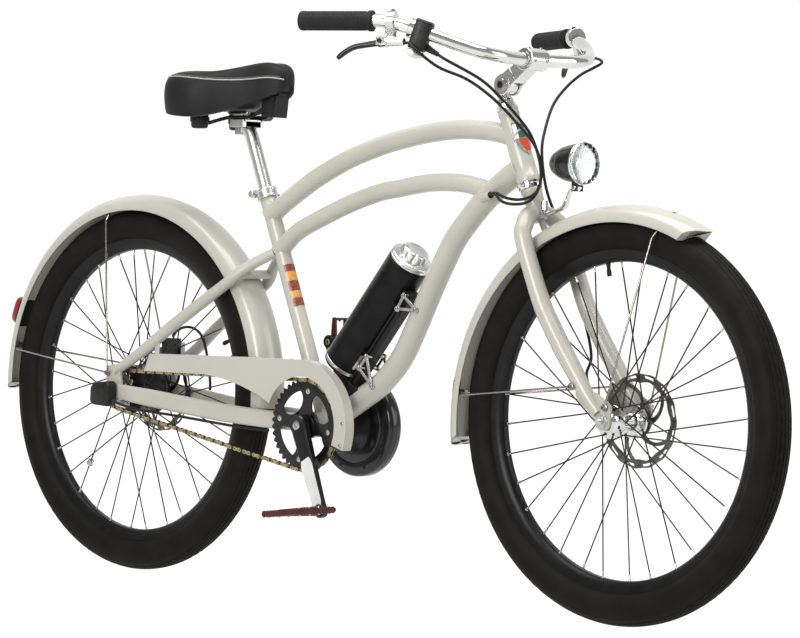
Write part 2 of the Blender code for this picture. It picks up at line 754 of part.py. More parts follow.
rail_out = BATTERY_R + 0.0130
cradle_parts = [
    battery_slab(
        [
            (-0.0080, BATTERY_R - 0.0010), (0.2120, BATTERY_R - 0.0010), (0.2120, rail_out),
            (-0.0080, rail_out)
        ],
        -0.0150, 0.0150
    ),
    battery_slab(
        [
            (-GAP, -0.0200), (-GAP, BATTERY_R + 0.0100), (0.0100, 0.0900), (-0.0210, 0.0640),
            (-0.0130, 0.0000)
        ],
        -0.0175, 0.0175
    ),
]
plate_in = DOWN_TUBE_R + GAP
for links in (
    ((0.2064, 0.0450), (0.1786, 0.0480), (0.2063, 0.0830)),
    ((0.0656, 0.0480), (0.0389, 0.0480), (0.0352, 0.0927))
):
    mid_s = sum(s for s, m in links) / 3
    mid_m = sum(m for s, m in links) / 3
    wide = [(mid_s + (s - mid_s) * 1.25, mid_m + (m - mid_m) * 1.25) for s, m in links]
    slim = [(mid_s + (s - mid_s) * 0.45, mid_m + (m - mid_m) * 0.45) for s, m in links]
    for side in (1, -1):
        y0, y1 = sorted((side * plate_in, side * (plate_in + 0.0030)))
        cradle_parts.append(cut(battery_slab(wide, y0, y1), battery_slab(slim, y0 - 0.001, y1 + 0.001)))
    for s, m in links[:2]:
        pin = along(s, m)
        cradle_parts.append(disc(0.0040, -plate_in - 0.0020, plate_in + 0.0020, (pin.x, pin.z), 6))
cradle = cut(
    union(*cradle_parts), tube(DOWN_LINE, DOWN_TUBE_R + GAP, 12), tube(
        [along(-GAP), along(0.30)], BATTERY_R + GAP, 24
    )
)
place("battery_cradle", cradle, "black")

# Seat collar with its quick-release lever on the left
collar_z = SEAT_TOP_Z - 0.0085
collar_at = (on_seat(collar_z) - 0.0260, collar_z)
collar = tube([seat_point(collar_z - COLLAR_H / 2), seat_point(collar_z + COLLAR_H / 2)], COLLAR_R, 14)
collar_lug = block(
    (collar_at[0] - 0.0060, -0.0085, collar_z - 0.0070),
    (collar_at[0] + 0.0110, 0.0085, collar_z + 0.0070)
)
collar_mesh = cut(
    union(collar, collar_lug, disc(0.0065, -0.0180, -0.0080, collar_at, 8)),
    tube([seat_point(collar_z - 0.03), seat_point(collar_z + 0.03)], SEAT_TUBE_R + GAP, 12),
)
place("seat_collar", collar_mesh, "steel")
qr_blade = flat_bar(
    near(collar_at, [(0.0000, 0.0180, 0.0000), (0.0180, 0.0265, -0.0030), (0.0480, 0.0290, -0.0110)]),
    [0.0045, 0.0045, 0.0035], [0.0110, 0.0120, 0.0130],
)
cam_y = 0.0085 + GAP + 0.0072
cam = tube(
    [(collar_at[0], cam_y, collar_z - 0.0060), (collar_at[0], cam_y, collar_z + 0.0060)], 0.0072, 10,
    up=(1, 0, 0)
)
place("seat_qr_lever", union(cam, qr_blade), "black_metal", (collar_at[0], cam_y, collar_z))

# Seat post with its rail clamp, rails, shell with rubber bumpers, and the padded cover
RAIL_Z = SEAT_TOP_Z + SEAT_RISE
post_at = (on_seat(SEAT_TOP_Z), 0, SEAT_TOP_Z)
CLAMP = (on_seat(RAIL_Z) + 0.0050, RAIL_Z)
jaw_y = RAIL_SPREAD + RAIL_R + 0.0012
post_top = RAIL_Z - 0.0110
post = tube(
    [seat_point(SEAT_TOP_Z - 0.1540), seat_point(RAIL_Z - 0.0320), (CLAMP[0] - 0.0040, 0, post_top)],
    SEATPOST_R, 12
)
lower_jaw = block(
    (CLAMP[0] - 0.0230, -jaw_y, RAIL_Z - 0.0180), (CLAMP[0] + 0.0120, jaw_y, RAIL_Z - RAIL_R - GAP)
)
upper_jaw = block(
    (CLAMP[0] - 0.0180, -jaw_y, RAIL_Z + RAIL_R + GAP),
    (CLAMP[0] + 0.0090, jaw_y, RAIL_Z + RAIL_R + 0.0040)
)
clamp_bolt = tube(
    [(CLAMP[0] - 0.0040, 0, RAIL_Z - 0.0150), (CLAMP[0] - 0.0040, 0, RAIL_Z + RAIL_R + 0.0030)], 0.0050,
    8, up=(1, 0, 0)
)
clamp_nut = block(
    (CLAMP[0] - 0.0290, -0.0080, RAIL_Z - 0.0310), (CLAMP[0] - 0.0110, 0.0080, RAIL_Z - 0.0170)
)
place("seatpost", union(post, lower_jaw, upper_jaw, clamp_bolt, clamp_nut), "steel", post_at)

# Saddle stations from the clamp: x, half width, top, edge and hollow underside above the rails
SADDLE = [
    (-0.1350, 0.0640, 0.0700, 0.0230, 0.0335), (-0.1290, 0.0900, 0.0765, 0.0115, 0.0250),
    (-0.1190, 0.1030, 0.0810, 0.0060, 0.0200),
    (-0.0990, 0.1115, 0.0842, 0.0015, 0.0195), (-0.0740, 0.1125, 0.0845, -0.0010, 0.0195),
    (-0.0490, 0.1060, 0.0840, -0.0015, 0.0195),
    (-0.0290, 0.0930, 0.0850, 0.0015, 0.0200), (-0.0090, 0.0760, 0.0880, 0.0075, 0.0210),
    (0.0110, 0.0600, 0.0920, 0.0145, 0.0235),
    (0.0310, 0.0465, 0.0960, 0.0215, 0.0280), (0.0510, 0.0380, 0.0990, 0.0275, 0.0330),
    (0.0700, 0.0325, 0.0990, 0.0335, 0.0385),
    (0.0860, 0.0265, 0.0950, 0.0395, 0.0435), (0.0980, 0.0190, 0.0860, 0.0465, 0.0495),
    (0.1045, 0.0095, 0.0760, 0.0560, 0.0580),
]


def saddle_ring(x, w, top, low, inside):
    """Crown on top with a shallow channel, sides drawn in, skirts round a hollow underside."""
    tall = top - low
    lip = min(0.0120, 0.30 * w)
    dip = 0.0040 * min(1.0, w / 0.08)
    half = [
        (0.0, top - dip), (0.28 * w, top - 0.2 * dip), (0.58 * w, top - 0.01 * tall),
        (0.84 * w, top - 0.08 * tall),
        (0.96 * w, top - 0.24 * tall), (w, top - 0.50 * tall), (0.985 * w, top - 0.80 * tall),
        (0.95 * w, low),
        (0.95 * w - lip, low), (0.95 * w - 1.35 * lip, inside), (0.0, inside),
    ]
    ring = [(CLAMP[0] + x, y, RAIL_Z + z) for y, z in half]
    ring += [(CLAMP[0] + x, -y, RAIL_Z + z) for y, z in half[-2:0:-1]]
    return ring


def shell_half(w):
    return 0.95 * w - 1.35 * min(0.0120, 0.30 * w) - 0.0030


SHELL_T = 0.0050
place("saddle_cover", skin([saddle_ring(*s) for s in SADDLE]), "leather", post_at, sharp=50)
shell_rings = []
for x, w, top, low, inside in SADDLE[1:-2]:
    half = shell_half(w)
    z = RAIL_Z + inside - 0.0008
    shell_rings.append(
        [
            (CLAMP[0] + x, y, z - t) for y,
            t in ((-half, SHELL_T), (half, SHELL_T), (half, 0.0), (-half, 0.0))
        ]
    )
shell_parts = []
for side in (1, -1):
    bumper = near(
        CLAMP,
        [
            (-0.0810, 0.0480 * side, 0.0170), (-0.0810, 0.0480 * side, -0.0090),
            (-0.0810, 0.0480 * side, -0.0210)
        ]
    )
    shell_parts.append(tube(bumper, [0.0170, 0.0180, 0.0140], 8, up=(1, 0, 0)))
    y0, y1 = sorted((0.0142 * side, 0.0172 * side))
    cheek = flat_near(
        CLAMP, [(0.0500, 0.0290), (0.0500, 0.0010), (0.0790, -0.0010), (0.0860, 0.0300), (0.0860, 0.0390)]
    )
    shell_parts.append(slab(cheek, y0, y1))
nose_plate = flat_near(
    CLAMP,
    [
        (0.0790, -0.0010), (0.0820, -0.0010), (0.0860, 0.0300), (0.0860, 0.0390), (0.0830, 0.0380),
        (0.0830, 0.0300)
    ]
)
shell_parts.append(slab(nose_plate, -0.0172, 0.0172))
place("saddle_shell", union(skin(shell_rings), *shell_parts), "black", post_at)
rail_half = near(CLAMP, [
    (-0.0600, -0.0455, -0.0112), (-0.0430, -0.0345, -0.0050), (-0.0290, -RAIL_SPREAD - 0.0025, -0.0003),
    (-0.0200, -RAIL_SPREAD, 0.0000),
    (0.0150, -RAIL_SPREAD, 0.0000), (0.0320, -0.0185, 0.0040), (0.0420, -0.0130, 0.0110),
    (0.0520, -0.0100, 0.0185),
    (0.0640, -0.0080, 0.0245), (0.0690, 0.0, 0.0260),
])
place(
    "saddle_rails", tube(rail_half + mirrored(rail_half[:-1])[::-1], RAIL_R, 5, up=(0, 1, 0)),
    "black_metal", post_at
)

# Crank set: axle, arms with pedal pins, chainring on a four-arm spider
axle_at = (BB[0], 0, BB[1])
RIGHT_ROOT_Y = -0.0643
LEFT_ROOT_Y = 0.0933
root_half = ARM_T / 2 + 0.0003
place(
    "crank_axle",
    disc(CRANK_AXLE_R, RIGHT_ROOT_Y + root_half + GAP, LEFT_ROOT_Y - root_half - GAP, BB, 12), "steel",
    axle_at
)
crank_dir = Vector((cos(radians(CRANK_ANGLE)), 0, sin(radians(CRANK_ANGLE))))
crank_side = Vector((-crank_dir.z, 0, crank_dir.x))
EYE_HALF = ARM_T * 0.39


def crank_arm(sign, root_y, eye_y, pin_to):
    """One arm from the axle to the pedal pin. sign is 1 along crank_dir and -1 the other way."""
    base = Vector((BB[0], 0, BB[1]))
    rings = []
    for share, width, thick in ((0.0, 1.0, 1.0), (0.3, 0.90, 0.94), (1.0, 0.65, 0.76)):
        y = root_y + (eye_y - root_y) * share
        mid = base + crank_dir * (CRANK_L * share * sign)
        wide = ARM_W * width / 2
        deep = ARM_T * thick / 2
        k = deep * 0.56
        ring = []
        for s, t in (
            (wide, k - deep), (wide, deep - k), (wide - k, deep), (k - wide, deep),
            (-wide, deep - k), (-wide, k - deep), (k - wide, -deep), (wide - k, -deep),
        ):
            ring.append(mid + crank_side * s + Vector((0, y + t, 0)))
        rings.append(ring)
    eye = base + crank_dir * (CRANK_L * sign)
    parts = [
        disc(ARM_W * 0.54, root_y - root_half, root_y + root_half, BB, 14),
        disc(ARM_W * 0.37, eye_y - EYE_HALF, eye_y + EYE_HALF, (eye.x, eye.z), 12),
        disc(PEDAL_PIN_R, min(eye_y, pin_to), max(eye_y, pin_to), (eye.x, eye.z), 8),
    ]
    return union(skin(rings), *parts), eye


RIGHT_EYE_Y = -0.0930
LEFT_EYE_Y = 0.0940
PIN_L = PEDAL_L - 0.0060
right_mesh, eye_r = crank_arm(1, RIGHT_ROOT_Y, RIGHT_EYE_Y, RIGHT_EYE_Y - EYE_HALF - PIN_L)
left_mesh, eye_l = crank_arm(-1, LEFT_ROOT_Y, LEFT_EYE_Y, LEFT_EYE_Y + EYE_HALF + PIN_L)
place("crank_right", right_mesh, "black_metal", axle_at)
place("crank_left", left_mesh, "black_metal", axle_at)


def toothed(centre, teeth, root, tip):
    """The outline of a sprocket: a root point and a tip for each tooth."""
    out = []
    for k in range(teeth * 2):
        a = pi * k / teeth
        r = tip if k % 2 else root
        out.append((centre[0] + r * cos(a), centre[1] + r * sin(a)))
    return out


ring_y = (-CHAIN_LINE - TOOTH_T / 2, -CHAIN_LINE + TOOTH_T / 2)
BORE_R = RING_R - 0.0189
ring_mesh = cut(
    slab(toothed(BB, RING_TEETH, RING_R - 0.0040, RING_R + 0.0022), *ring_y),
    disc(BORE_R, -0.08, -0.03, BB, 20)
)
arms = []
for k in range(4):
    a = radians(-9 + 90 * k)
    out_dir = Vector((cos(a), 0, sin(a)))
    side_dir = Vector((-sin(a), 0, cos(a)))
    corners = [(0.0100, 0.0150), (BORE_R + 0.0040, 0.0080), (BORE_R + 0.0040, -0.0080), (0.0100, -0.0150)]
    points = [Vector((BB[0], 0, BB[1])) + out_dir * r + side_dir * wide for r, wide in corners]
    arms.append(slab([(p.x, p.z) for p in points], *ring_y))
hub_disc = disc(0.0250, ring_y[0] - 0.0008, ring_y[1] + 0.0060, BB, 14)
ring_mesh = cut(union(ring_mesh, *arms, hub_disc), disc(CRANK_AXLE_R + GAP, -0.08, -0.03, BB, 12))
place("chainring", ring_mesh, "black_metal", axle_at)


def pedal(centre, y0, y1, tilt):
    """A platform pedal about its pin, with a window on each side of its barrel."""
    x, z = centre
    half = PEDAL_W / 2
    away = 1 if y1 > y0 else -1
    low, high = min(y0, y1), max(y0, y1)
    body = block((x - half, low, z - PEDAL_T / 2), (x + half, high, z + PEDAL_T / 2))
    windows = []
    for side in (1, -1):
        x0, x1 = sorted((x + side * 0.0120, x + side * (half - 0.0085)))
        windows.append(block((x0, low + 0.0095, z - 0.02), (x1, high - 0.0095, z + 0.02)))
    bore = disc(running(PEDAL_PIN_R, 8), *sorted((y0 - 0.002 * away, y1 - 0.0045 * away)), centre, 8)
    mesh = cut(union(cut(body, *windows), disc(0.0090, y0, y1, centre, 10)), bore)
    pivot = Matrix.Translation((x, 0, z))
    mesh.transform(pivot @ Matrix.Rotation(radians(tilt), 4, "Y") @ pivot.inverted())
    return mesh


right_in = RIGHT_EYE_Y - EYE_HALF - GAP * 2
left_in = LEFT_EYE_Y + EYE_HALF + GAP * 2
place(
    "pedal_right", pedal((eye_r.x, eye_r.z), right_in, right_in - PEDAL_L, -7.0), "pedal",
    (eye_r.x, right_in, eye_r.z)
)
place(
    "pedal_left", pedal((eye_l.x, eye_l.z), left_in, left_in + PEDAL_L, 90.0), "pedal",
    (eye_l.x, left_in, eye_l.z)
)

# Wheels: hollow tyre, channelled rim with its valve, hub laced with spokes, disc rotor
BEAD_Y = RIM_HALF_W - RIM_WALL - 0.0035


def tyre(centre):
    outer = both_ways([
        (RIM_R - 0.0040, BEAD_Y), (RIM_R + 0.0225, TYRE_HALF_W), (TYRE_R - 0.0090, TYRE_HALF_W * 0.77),
        (TYRE_R, 0.0),
    ])
    inner = both_ways([
        (RIM_R - 0.0040, BEAD_Y - 0.0035), (RIM_R + 0.0215, TYRE_HALF_W - 0.0050),
        (TYRE_R - TREAD_T, 0.0),
    ])
    return turned(outer + inner[::-1], centre, WHEEL_STEPS)


def rim(centre):
    outer = both_ways([(RIM_R, RIM_HALF_W - RIM_WALL), (RIM_R, RIM_HALF_W), (RIM_IN_R, 0.0060)])
    inner = both_ways([(RIM_IN_R + 0.0060, 0.0060)])
    return turned(outer + inner[::-1], centre, WHEEL_STEPS)


def spoked_hub(centre, profile, flanges, phase):
    """Hub shell turned about Y, each flange laced with thin spokes that leave it mid-face."""
    reach = RIM_IN_R * cos(pi / WHEEL_STEPS) - GAP * 2
    step = 2 * pi / SPOKES_A_SIDE
    spokes = []
    for side, (flange_r, flange_y) in enumerate(flanges):
        lean = 0.0035 if flange_y > 0 else -0.0035
        for k in range(SPOKES_A_SIDE):
            a = phase + step * k
            way = 1 if k % 2 else -1
            b = a + step * (SPOKE_CROSS * way + side / 2)
            r = flange_r * cos(step / 2) - 0.0016
            start_a = a - way * 0.0018 / flange_r
            aside = way * (SPOKE_R + GAP)
            start = (centre[0] + r * cos(start_a), flange_y + aside, centre[1] + r * sin(start_a))
            tip = (centre[0] + reach * cos(b), lean + aside, centre[1] + reach * sin(b))
            spokes.append(tube([start, tip], SPOKE_R, 3, up=(0, 1, 0)))
    shell = turned(profile, centre, SPOKES_A_SIDE, start=phase - step / 2)
    return union(shell, *spokes)


def rotor(centre, y):
    """A disc rotor: braking band, middle ring and five slanted arms, all of one thickness."""
    t = ROTOR_T / 2
    band = ROTOR_R - ROTOR_BAND
    track = turned([(band, y - t), (ROTOR_R, y - t), (ROTOR_R, y + t), (band, y + t)], centre, 24)
    middle = turned([(0.0160, y - t), (0.0260, y - t), (0.0260, y + t), (0.0160, y + t)], centre, 12)
    arms = []
    for k in range(5):
        a = 2 * pi * k / 5
        corners = [
            (0.0220, a - 0.14), (band + 0.004, a + 0.40), (band + 0.004, a + 0.51), (0.0220, a + 0.14)
        ]
        arms.append(
            slab([(centre[0] + r * cos(w), centre[1] + r * sin(w)) for r, w in corners], y - t, y + t)
        )
    return union(track, middle, *arms)


bore_r = running(AXLE_R, SPOKES_A_SIDE)
rear_end = REAR_OLD / 2 - 0.0004
front_end = FRONT_OLD / 2 - 0.0008
rear_profile = [
    (bore_r, -0.0445), (0.0230, -0.0445), (0.0240, -0.0340), (REAR_FLANGE_R, -0.0315),
    (REAR_FLANGE_R, -0.0255),
    (REAR_SHELL_R, 0.0000), (REAR_FLANGE_R, 0.0255), (REAR_FLANGE_R, 0.0315), (0.0240, 0.0345),
    (0.0240, REAR_ROTOR_Y - 0.0012), (0.0150, REAR_ROTOR_Y - 0.0012), (0.0150, rear_end),
    (bore_r, rear_end),
]
front_profile = [
    (bore_r, -front_end), (0.0100, -front_end), (0.0140, -0.0400), (FRONT_FLANGE_R, -0.0367),
    (FRONT_FLANGE_R, -0.0307),
    (0.0145, -0.0260), (0.0145, 0.0170), (FRONT_FLANGE_R, 0.0207), (FRONT_FLANGE_R, 0.0267),
    (0.0220, 0.0300), (0.0220, FRONT_ROTOR_Y - 0.0012), (0.0150, FRONT_ROTOR_Y - 0.0012),
    (0.0120, front_end),
    (bore_r, front_end),
]
wheels = (
    (
        "rear", REAR, rear_profile, ((REAR_FLANGE_R, -0.0285), (REAR_FLANGE_R, 0.0285)), REAR_ROTOR_Y,
        "black_metal", 22.8
    ),
    (
        "front", FRONT, front_profile, ((FRONT_FLANGE_R, -0.0337), (FRONT_FLANGE_R, 0.0237)),
        FRONT_ROTOR_Y, "steel", 99.5
    ),
)
for end, centre, profile, flanges, rotor_y, look, valve_a in wheels:
    at = (centre[0], 0, centre[1])
    place(end + "_tyre", tyre(centre), "rubber", at, sharp=50)
    way = Vector((cos(radians(valve_a)), 0, sin(radians(valve_a))))
    valve = tube(
        [Vector(at) + way * (RIM_IN_R + 0.0020), Vector(at) + way * (RIM_IN_R - VALVE_L)], VALVE_R, 6,
        up=(0, 1, 0)
    )
    place(end + "_rim", union(rim(centre), valve), "black_metal", at)
    phase = radians(valve_a) + pi / SPOKES_A_SIDE / 2
    place(end + "_hub", spoked_hub(centre, profile, flanges, phase), look, at)
    place(end + "_rotor", rotor(centre, rotor_y), "steel", at)

cog = union(
    slab(toothed(REAR, COG_TEETH, COG_R - 0.0040, COG_R + 0.0018), *ring_y),
    disc(0.0200, -0.0560, -0.0448, REAR, 12),
    disc(0.0120, 0.0004 - REAR_OLD / 2, -0.0500, REAR, 10),
)
place("sprocket", cut(cog, disc(running(AXLE_R, 10), -0.08, -0.03, REAR, 10)), "steel", (REAR[0], 0, REAR[1]))


# Axles with their nuts, and the shift box on the right end of the rear one
def axle(centre, old, right_end, left_end):
    nut_in = old / 2 + DROPOUT_T + 2 * GAP
    return union(
        disc(AXLE_R, -nut_in - right_end, nut_in + left_end, centre, 8),
        disc(NUT_R, -nut_in - NUT_T, -nut_in, centre, 6),
        disc(NUT_R, nut_in, nut_in + NUT_T, centre, 6),
    )


BOX_Y = -REAR_OLD / 2 - DROPOUT_T - 2 * GAP - NUT_T - 0.0009
place("rear_axle", axle(REAR, REAR_OLD, NUT_T + 0.0003, 0.0120), "steel", (REAR[0], 0, REAR[1]))
box_outline = flat_near(REAR, [
    (-0.0348, -0.0230), (-0.0288, -0.0290), (0.0112, -0.0310), (0.0182, -0.0240), (0.0192, 0.0100),
    (0.0122, 0.0170),
    (-0.0198, 0.0140), (-0.0338, 0.0060),
])
place("shift_box", slab(box_outline, BOX_Y - 0.0200, BOX_Y), "black")
place("front_axle", axle(FRONT, FRONT_OLD, 0.0120, 0.0120), "steel", (FRONT[0], 0, FRONT[1]))

# Fork with its crown and steerer
CROWN = (on_head(0.6840), 0.6840)
LEG = near(CROWN, [
    (-0.0023, -0.0060, -0.0010), (0.0042, -0.0290, -0.0070), (0.0122, -0.0470, -0.0230),
    (0.0192, -FORK_LEG_Y, -0.0470),
    (0.0611, -FORK_LEG_Y, -0.1471),
]) + near(FRONT, [
    (-0.1175, -FORK_LEG_Y, 0.1559), (-0.0895, -FORK_LEG_Y, 0.1152), (-0.0629, -FORK_LEG_Y, 0.0797),
    (-0.0353, -0.0555, 0.0428), (-0.0110, -0.0535, 0.0140),
])
LEG_SHARES = (0.96, 1.0, 0.97, 0.95, 1.0, 1.02, 1.02, 0.96, 0.80, 0.58)
leg_r = [FORK_LEG_R * share for share in LEG_SHARES]
TAB = flat_near(FRONT, [
    (-0.0620, 0.0460), (-0.0560, 0.0330), (-0.0366, 0.0190), (-0.0195, 0.0050), (-0.0120, -0.0110),
    (0.0020, -0.0150),
    (0.0140, -0.0080), (0.0160, 0.0240), (0.0080, 0.0330), (-0.0200, 0.0480),
])
GUSSET = flat_near(
    FRONT,
    [(-0.0862, -0.0040), (-0.0422, -0.0100), (0.0000, -0.0040), (-0.0420, 0.0560), (-0.0742, 0.0610)]
)
parts = [tube(LEG, leg_r, 10), tube(mirrored(LEG), leg_r, 10)]
parts += [
    slab(TAB, -FRONT_DROP_Y - DROPOUT_T, -FRONT_DROP_Y), slab(TAB, FRONT_DROP_Y, FRONT_DROP_Y + DROPOUT_T)
]
parts.append(slab(GUSSET, FRONT_DROP_Y + 0.0002, FRONT_DROP_Y + 0.0045))


def crown_neck(extra):
    """The crown's tapered neck, or with extra the room that a piece strapped to it leaves."""
    stations = ((0.6740, 0.83), (0.6950, 0.92), (0.7200, 0.97), (HEAD_FOOT_Z - CUP_H - GAP * 3, 1.0))
    return tube(
        [head_point(z) for z, share in stations], [CROWN_R * share + extra for z, share in stations], 12
    )


parts.append(crown_neck(0.0))
crown_a = radians(120.6)
guard_top = guard_crown(FRONT_GUARD_R, FRONT_GUARD_FLARE, 120.6) + GAP * 2
guard_way = Vector((cos(crown_a), 0, sin(crown_a)))
front_mid = Vector((FRONT[0], 0, FRONT[1]))
parts.append(
    tube(
        [front_mid + guard_way * guard_top, front_mid + guard_way * (guard_top + 0.0260)], 0.0055, 8,
        up=(0, 1, 0)
    )
)
for side in (1, -1):
    parts.append(tube([
        (LOW_EYE[0] + 0.0160, side * FORK_LEG_Y, LOW_EYE[1] + 0.0020),
        (LOW_EYE[0], side * (low_in - 0.0040), LOW_EYE[1]),
        (LOW_EYE[0], side * (low_in - GAP), LOW_EYE[1]),
    ], 0.0045, 6))
fork_mesh = union(tube([head_point(0.6790), head_point(HEAD_TOP_Z + 0.0070)], STEERER_R, 12), *parts)
place("fork", cut(fork_mesh, disc(AXLE_R + GAP, -0.08, 0.08, FRONT, 10)), "paint", steer_at)

# Stem quill with its pivot lug, and the lamp bracket on the crown
PIVOT = Vector((on_head(HEAD_AT[1] + STEM_PIVOT_UP) + STEM_PIVOT_AHEAD, 0, HEAD_AT[1] + STEM_PIVOT_UP))
PIVOT_XZ = (PIVOT.x, PIVOT.z)
LUG_HALF = 0.0108
quill = tube(
    [
        head_point(HEAD_TOP_Z + 0.0080), head_point(HEAD_TOP_Z + 0.0170), head_point(HEAD_TOP_Z + 0.0235),
        tuple(PIVOT)
    ],
    [0.0150, 0.0140, LUG_HALF - 0.0006, LUG_HALF - 0.0006], 12,
)
locknut = tube([head_point(HEAD_TOP_Z + GAP * 2), head_point(HEAD_TOP_Z + 0.0100)], [0.0185, 0.0175], 8)
quill_mesh = cut(
    union(locknut, quill, disc(STEM_LUG_R, -LUG_HALF, LUG_HALF, PIVOT_XZ, 14)),
    tube([head_point(HEAD_TOP_Z - 0.007), head_point(HEAD_TOP_Z + 0.0073)], STEERER_R + GAP, 12),
)
place("stem_quill", quill_mesh, "chrome", steer_at)

LAMP_AT = (CROWN[0] + 0.0872, CROWN[1] + 0.0422)
strip = near(LAMP_AT, [
    (-0.0732, -0.0222), (-0.0700, -0.0402), (-0.0597, -0.0440), (-0.0309, -0.0340), (-0.0220, -0.0222),
    (-0.0155, -0.0067), (-0.0030, -0.0012),
])
strip_bar = flat_bar(strip, [0.0160] * 5 + [0.0096] * 2, [0.0030] * 7, up=(0.3, 0, 1), edge=0.0)
place(
    "lamp_bracket", cut(union(strip_bar, disc(0.0055, -0.0050, 0.0050, LAMP_AT, 10)), crown_neck(GAP)),
    "steel", steer_at
)

# Headlight bullet with its lens, hung on the bracket
LAMP_R = 0.0345
LAMP_Z = LAMP_AT[1] + 0.0408


def lamp_part(stations):
    """A round piece along X about the lamp's own axis, through stations (dx, radius)."""
    rings = []
    for dx, r in stations:
        rings.append(
            [
                (LAMP_AT[0] + dx, r * cos(2 * pi * k / 16), LAMP_Z + r * sin(2 * pi * k / 16))
                for k in range(16)
            ]
        )
    return skin(rings)


bullet = lamp_part([
    (-0.0560, 0.0060), (-0.0520, 0.0140), (-0.0420, LAMP_R * 0.64), (-0.0250, LAMP_R * 0.85),
    (-0.0020, LAMP_R * 0.97), (0.0095, LAMP_R),
])
ears = []
for side in (1, -1):
    y0, y1 = sorted((0.0053 * side, 0.0085 * side))
    ears.append(
        block(
            (LAMP_AT[0] - 0.0060, y0, LAMP_AT[1] - 0.0060),
            (LAMP_AT[0] + 0.0060, y1, LAMP_Z - LAMP_R * 0.80)
        )
    )
place("headlight_shell", union(bullet, *ears), "black", (LAMP_AT[0], 0, LAMP_AT[1]))
lens = lamp_part(
    [
        (0.0098, LAMP_R + 0.0017), (0.0170, LAMP_R + 0.0023), (0.0220, LAMP_R + 0.0005),
        (0.0285, LAMP_R * 0.40)
    ]
)
place("headlight_lens", lens, "lens", (LAMP_AT[0], 0, LAMP_AT[1]))

# Brake calipers astride the rotors
SLOT = ROTOR_T / 2 + 0.0009
front_low = (FRONT[0] - ROTOR_R - 0.0060, 0.0275, FRONT[1] - 0.0160)
front_high = (FRONT[0] - ROTOR_R + 0.0298, FRONT_DROP_Y - 0.0003, FRONT[1] + 0.0240)
front_slot = block(
    (FRONT[0] - ROTOR_R - 0.0018, FRONT_ROTOR_Y - SLOT, front_low[2] - 0.01),
    (front_high[0] + 0.01, FRONT_ROTOR_Y + SLOT, front_high[2] + 0.01)
)
place("front_caliper", cut(block(front_low, front_high), front_slot), "black_metal", steer_at)
rear_low = (REAR[0] + 0.0082, REAR_ROTOR_Y - 0.0115, REAR[1] + ROTOR_R - 0.0160)
rear_high = (REAR[0] + 0.0462, REAR_ROTOR_Y + 0.0055, REAR[1] + ROTOR_R + 0.0180)
rear_slot = block(
    (rear_low[0] - 0.01, REAR_ROTOR_Y - SLOT, rear_low[2] - 0.01),
    (rear_high[0] + 0.01, REAR_ROTOR_Y + SLOT, REAR[1] + ROTOR_R + 0.0020)
)
place("rear_caliper", cut(block(rear_low, rear_high), rear_slot), "black_metal")

# Stem arm, handlebar and grips
BAR_AT = (PIVOT.x + STEM_REACH[0], PIVOT.z + STEM_REACH[1])
arm_dir = Vector((STEM_REACH[0], 0, STEM_REACH[1])).normalized()
arm_up = Vector((-arm_dir.z, 0, arm_dir.x))
reach = hypot(*STEM_REACH)


def arm_outline(s0, s1, h0, h1):
    points = [PIVOT + arm_dir * s + arm_up * up for s, up in ((s0, -h0), (s1, -h1), (s1, h1), (s0, h0))]
    return [(p.x, p.z) for p in points]


cheek_in = LUG_HALF + GAP
CHEEK_OUT = 0.0168
clamp_r = BAR_CLAMP_R + CLAMP_WALL
arm_parts = [
    slab(
        arm_outline(0.0210, reach - 0.005, 0.0130, 0.0125), 0.0003 - cheek_in - 0.0040, cheek_in + 0.0037
    )
]
for side in (1, -1):
    y0, y1 = sorted((side * cheek_in, side * CHEEK_OUT))
    arm_parts.append(slab(arm_outline(0.0, 0.0300, 0.0150, 0.0135), y0, y1 - 0.0003 if side == 1 else y1))
    arm_parts.append(disc(STEM_CHEEK_R, y0, y1, PIVOT_XZ, 14))
arm_parts.append(disc(clamp_r, -0.0230, 0.0230, BAR_AT, 16))
place(
    "stem_arm", cut(union(*arm_parts), disc(BAR_CLAMP_R + GAP * 2, -0.03, 0.03, BAR_AT, 12)), "chrome",
    tuple(PIVOT)
)

GRIP_DIR = Vector((-cos(radians(SWEEP)), -sin(radians(SWEEP)), 0.0))
GRIP_IN = Vector(near(BAR_AT, [(-0.1393, -0.2470, 0.0540)])[0])
bar_bend = near(BAR_AT, [
    (0.0000, 0.0, 0.0000), (0.0000, -0.0280, 0.0000), (0.0040, -0.0520, 0.0002),
    (0.0085, -0.0900, 0.0010), (0.0030, -0.1300, 0.0050),
    (-0.0190, -0.1650, 0.0160), (-0.0500, -0.1940, 0.0300), (-0.0900, -0.2210, 0.0450),
])
grip_run = [tuple(GRIP_IN + GRIP_DIR * s) for s in (-0.0150, 0.0200, GRIP_L - 0.0040)]
BAR_HALF = bar_bend + grip_run
bar_line = smooth_line(mirrored(BAR_HALF)[::-1] + BAR_HALF[1:], 27)


def bar_radius(p, extra):
    share = min(max((abs(p.y) - 0.026) / 0.014, 0.0), 1.0)
    return BAR_CLAMP_R + (BAR_R - BAR_CLAMP_R) * share + extra


def bar_clearance():
    """The room that a piece on the bar leaves round it, a little past its ends."""
    ends = [bar_line[0] * 1.02 - bar_line[1] * 0.02] + bar_line[1:-1] + [
        bar_line[-1] * 1.02 - bar_line[-2] * 0.02
    ]
    return tube(ends, [bar_radius(p, GAP * 1.5) for p in ends], 10)


place("handlebar", tube(bar_line, [bar_radius(p, 0.0) for p in bar_line], 10), "chrome", tuple(PIVOT))
grip_out = Vector((sin(radians(SWEEP)), -cos(radians(SWEEP)), 0))
LEVER_OUT = grip_out * cos(radians(LEVER_DROP)) + Vector((0, 0, -sin(radians(LEVER_DROP))))
lever_hinge = GRIP_DIR.cross(LEVER_OUT)


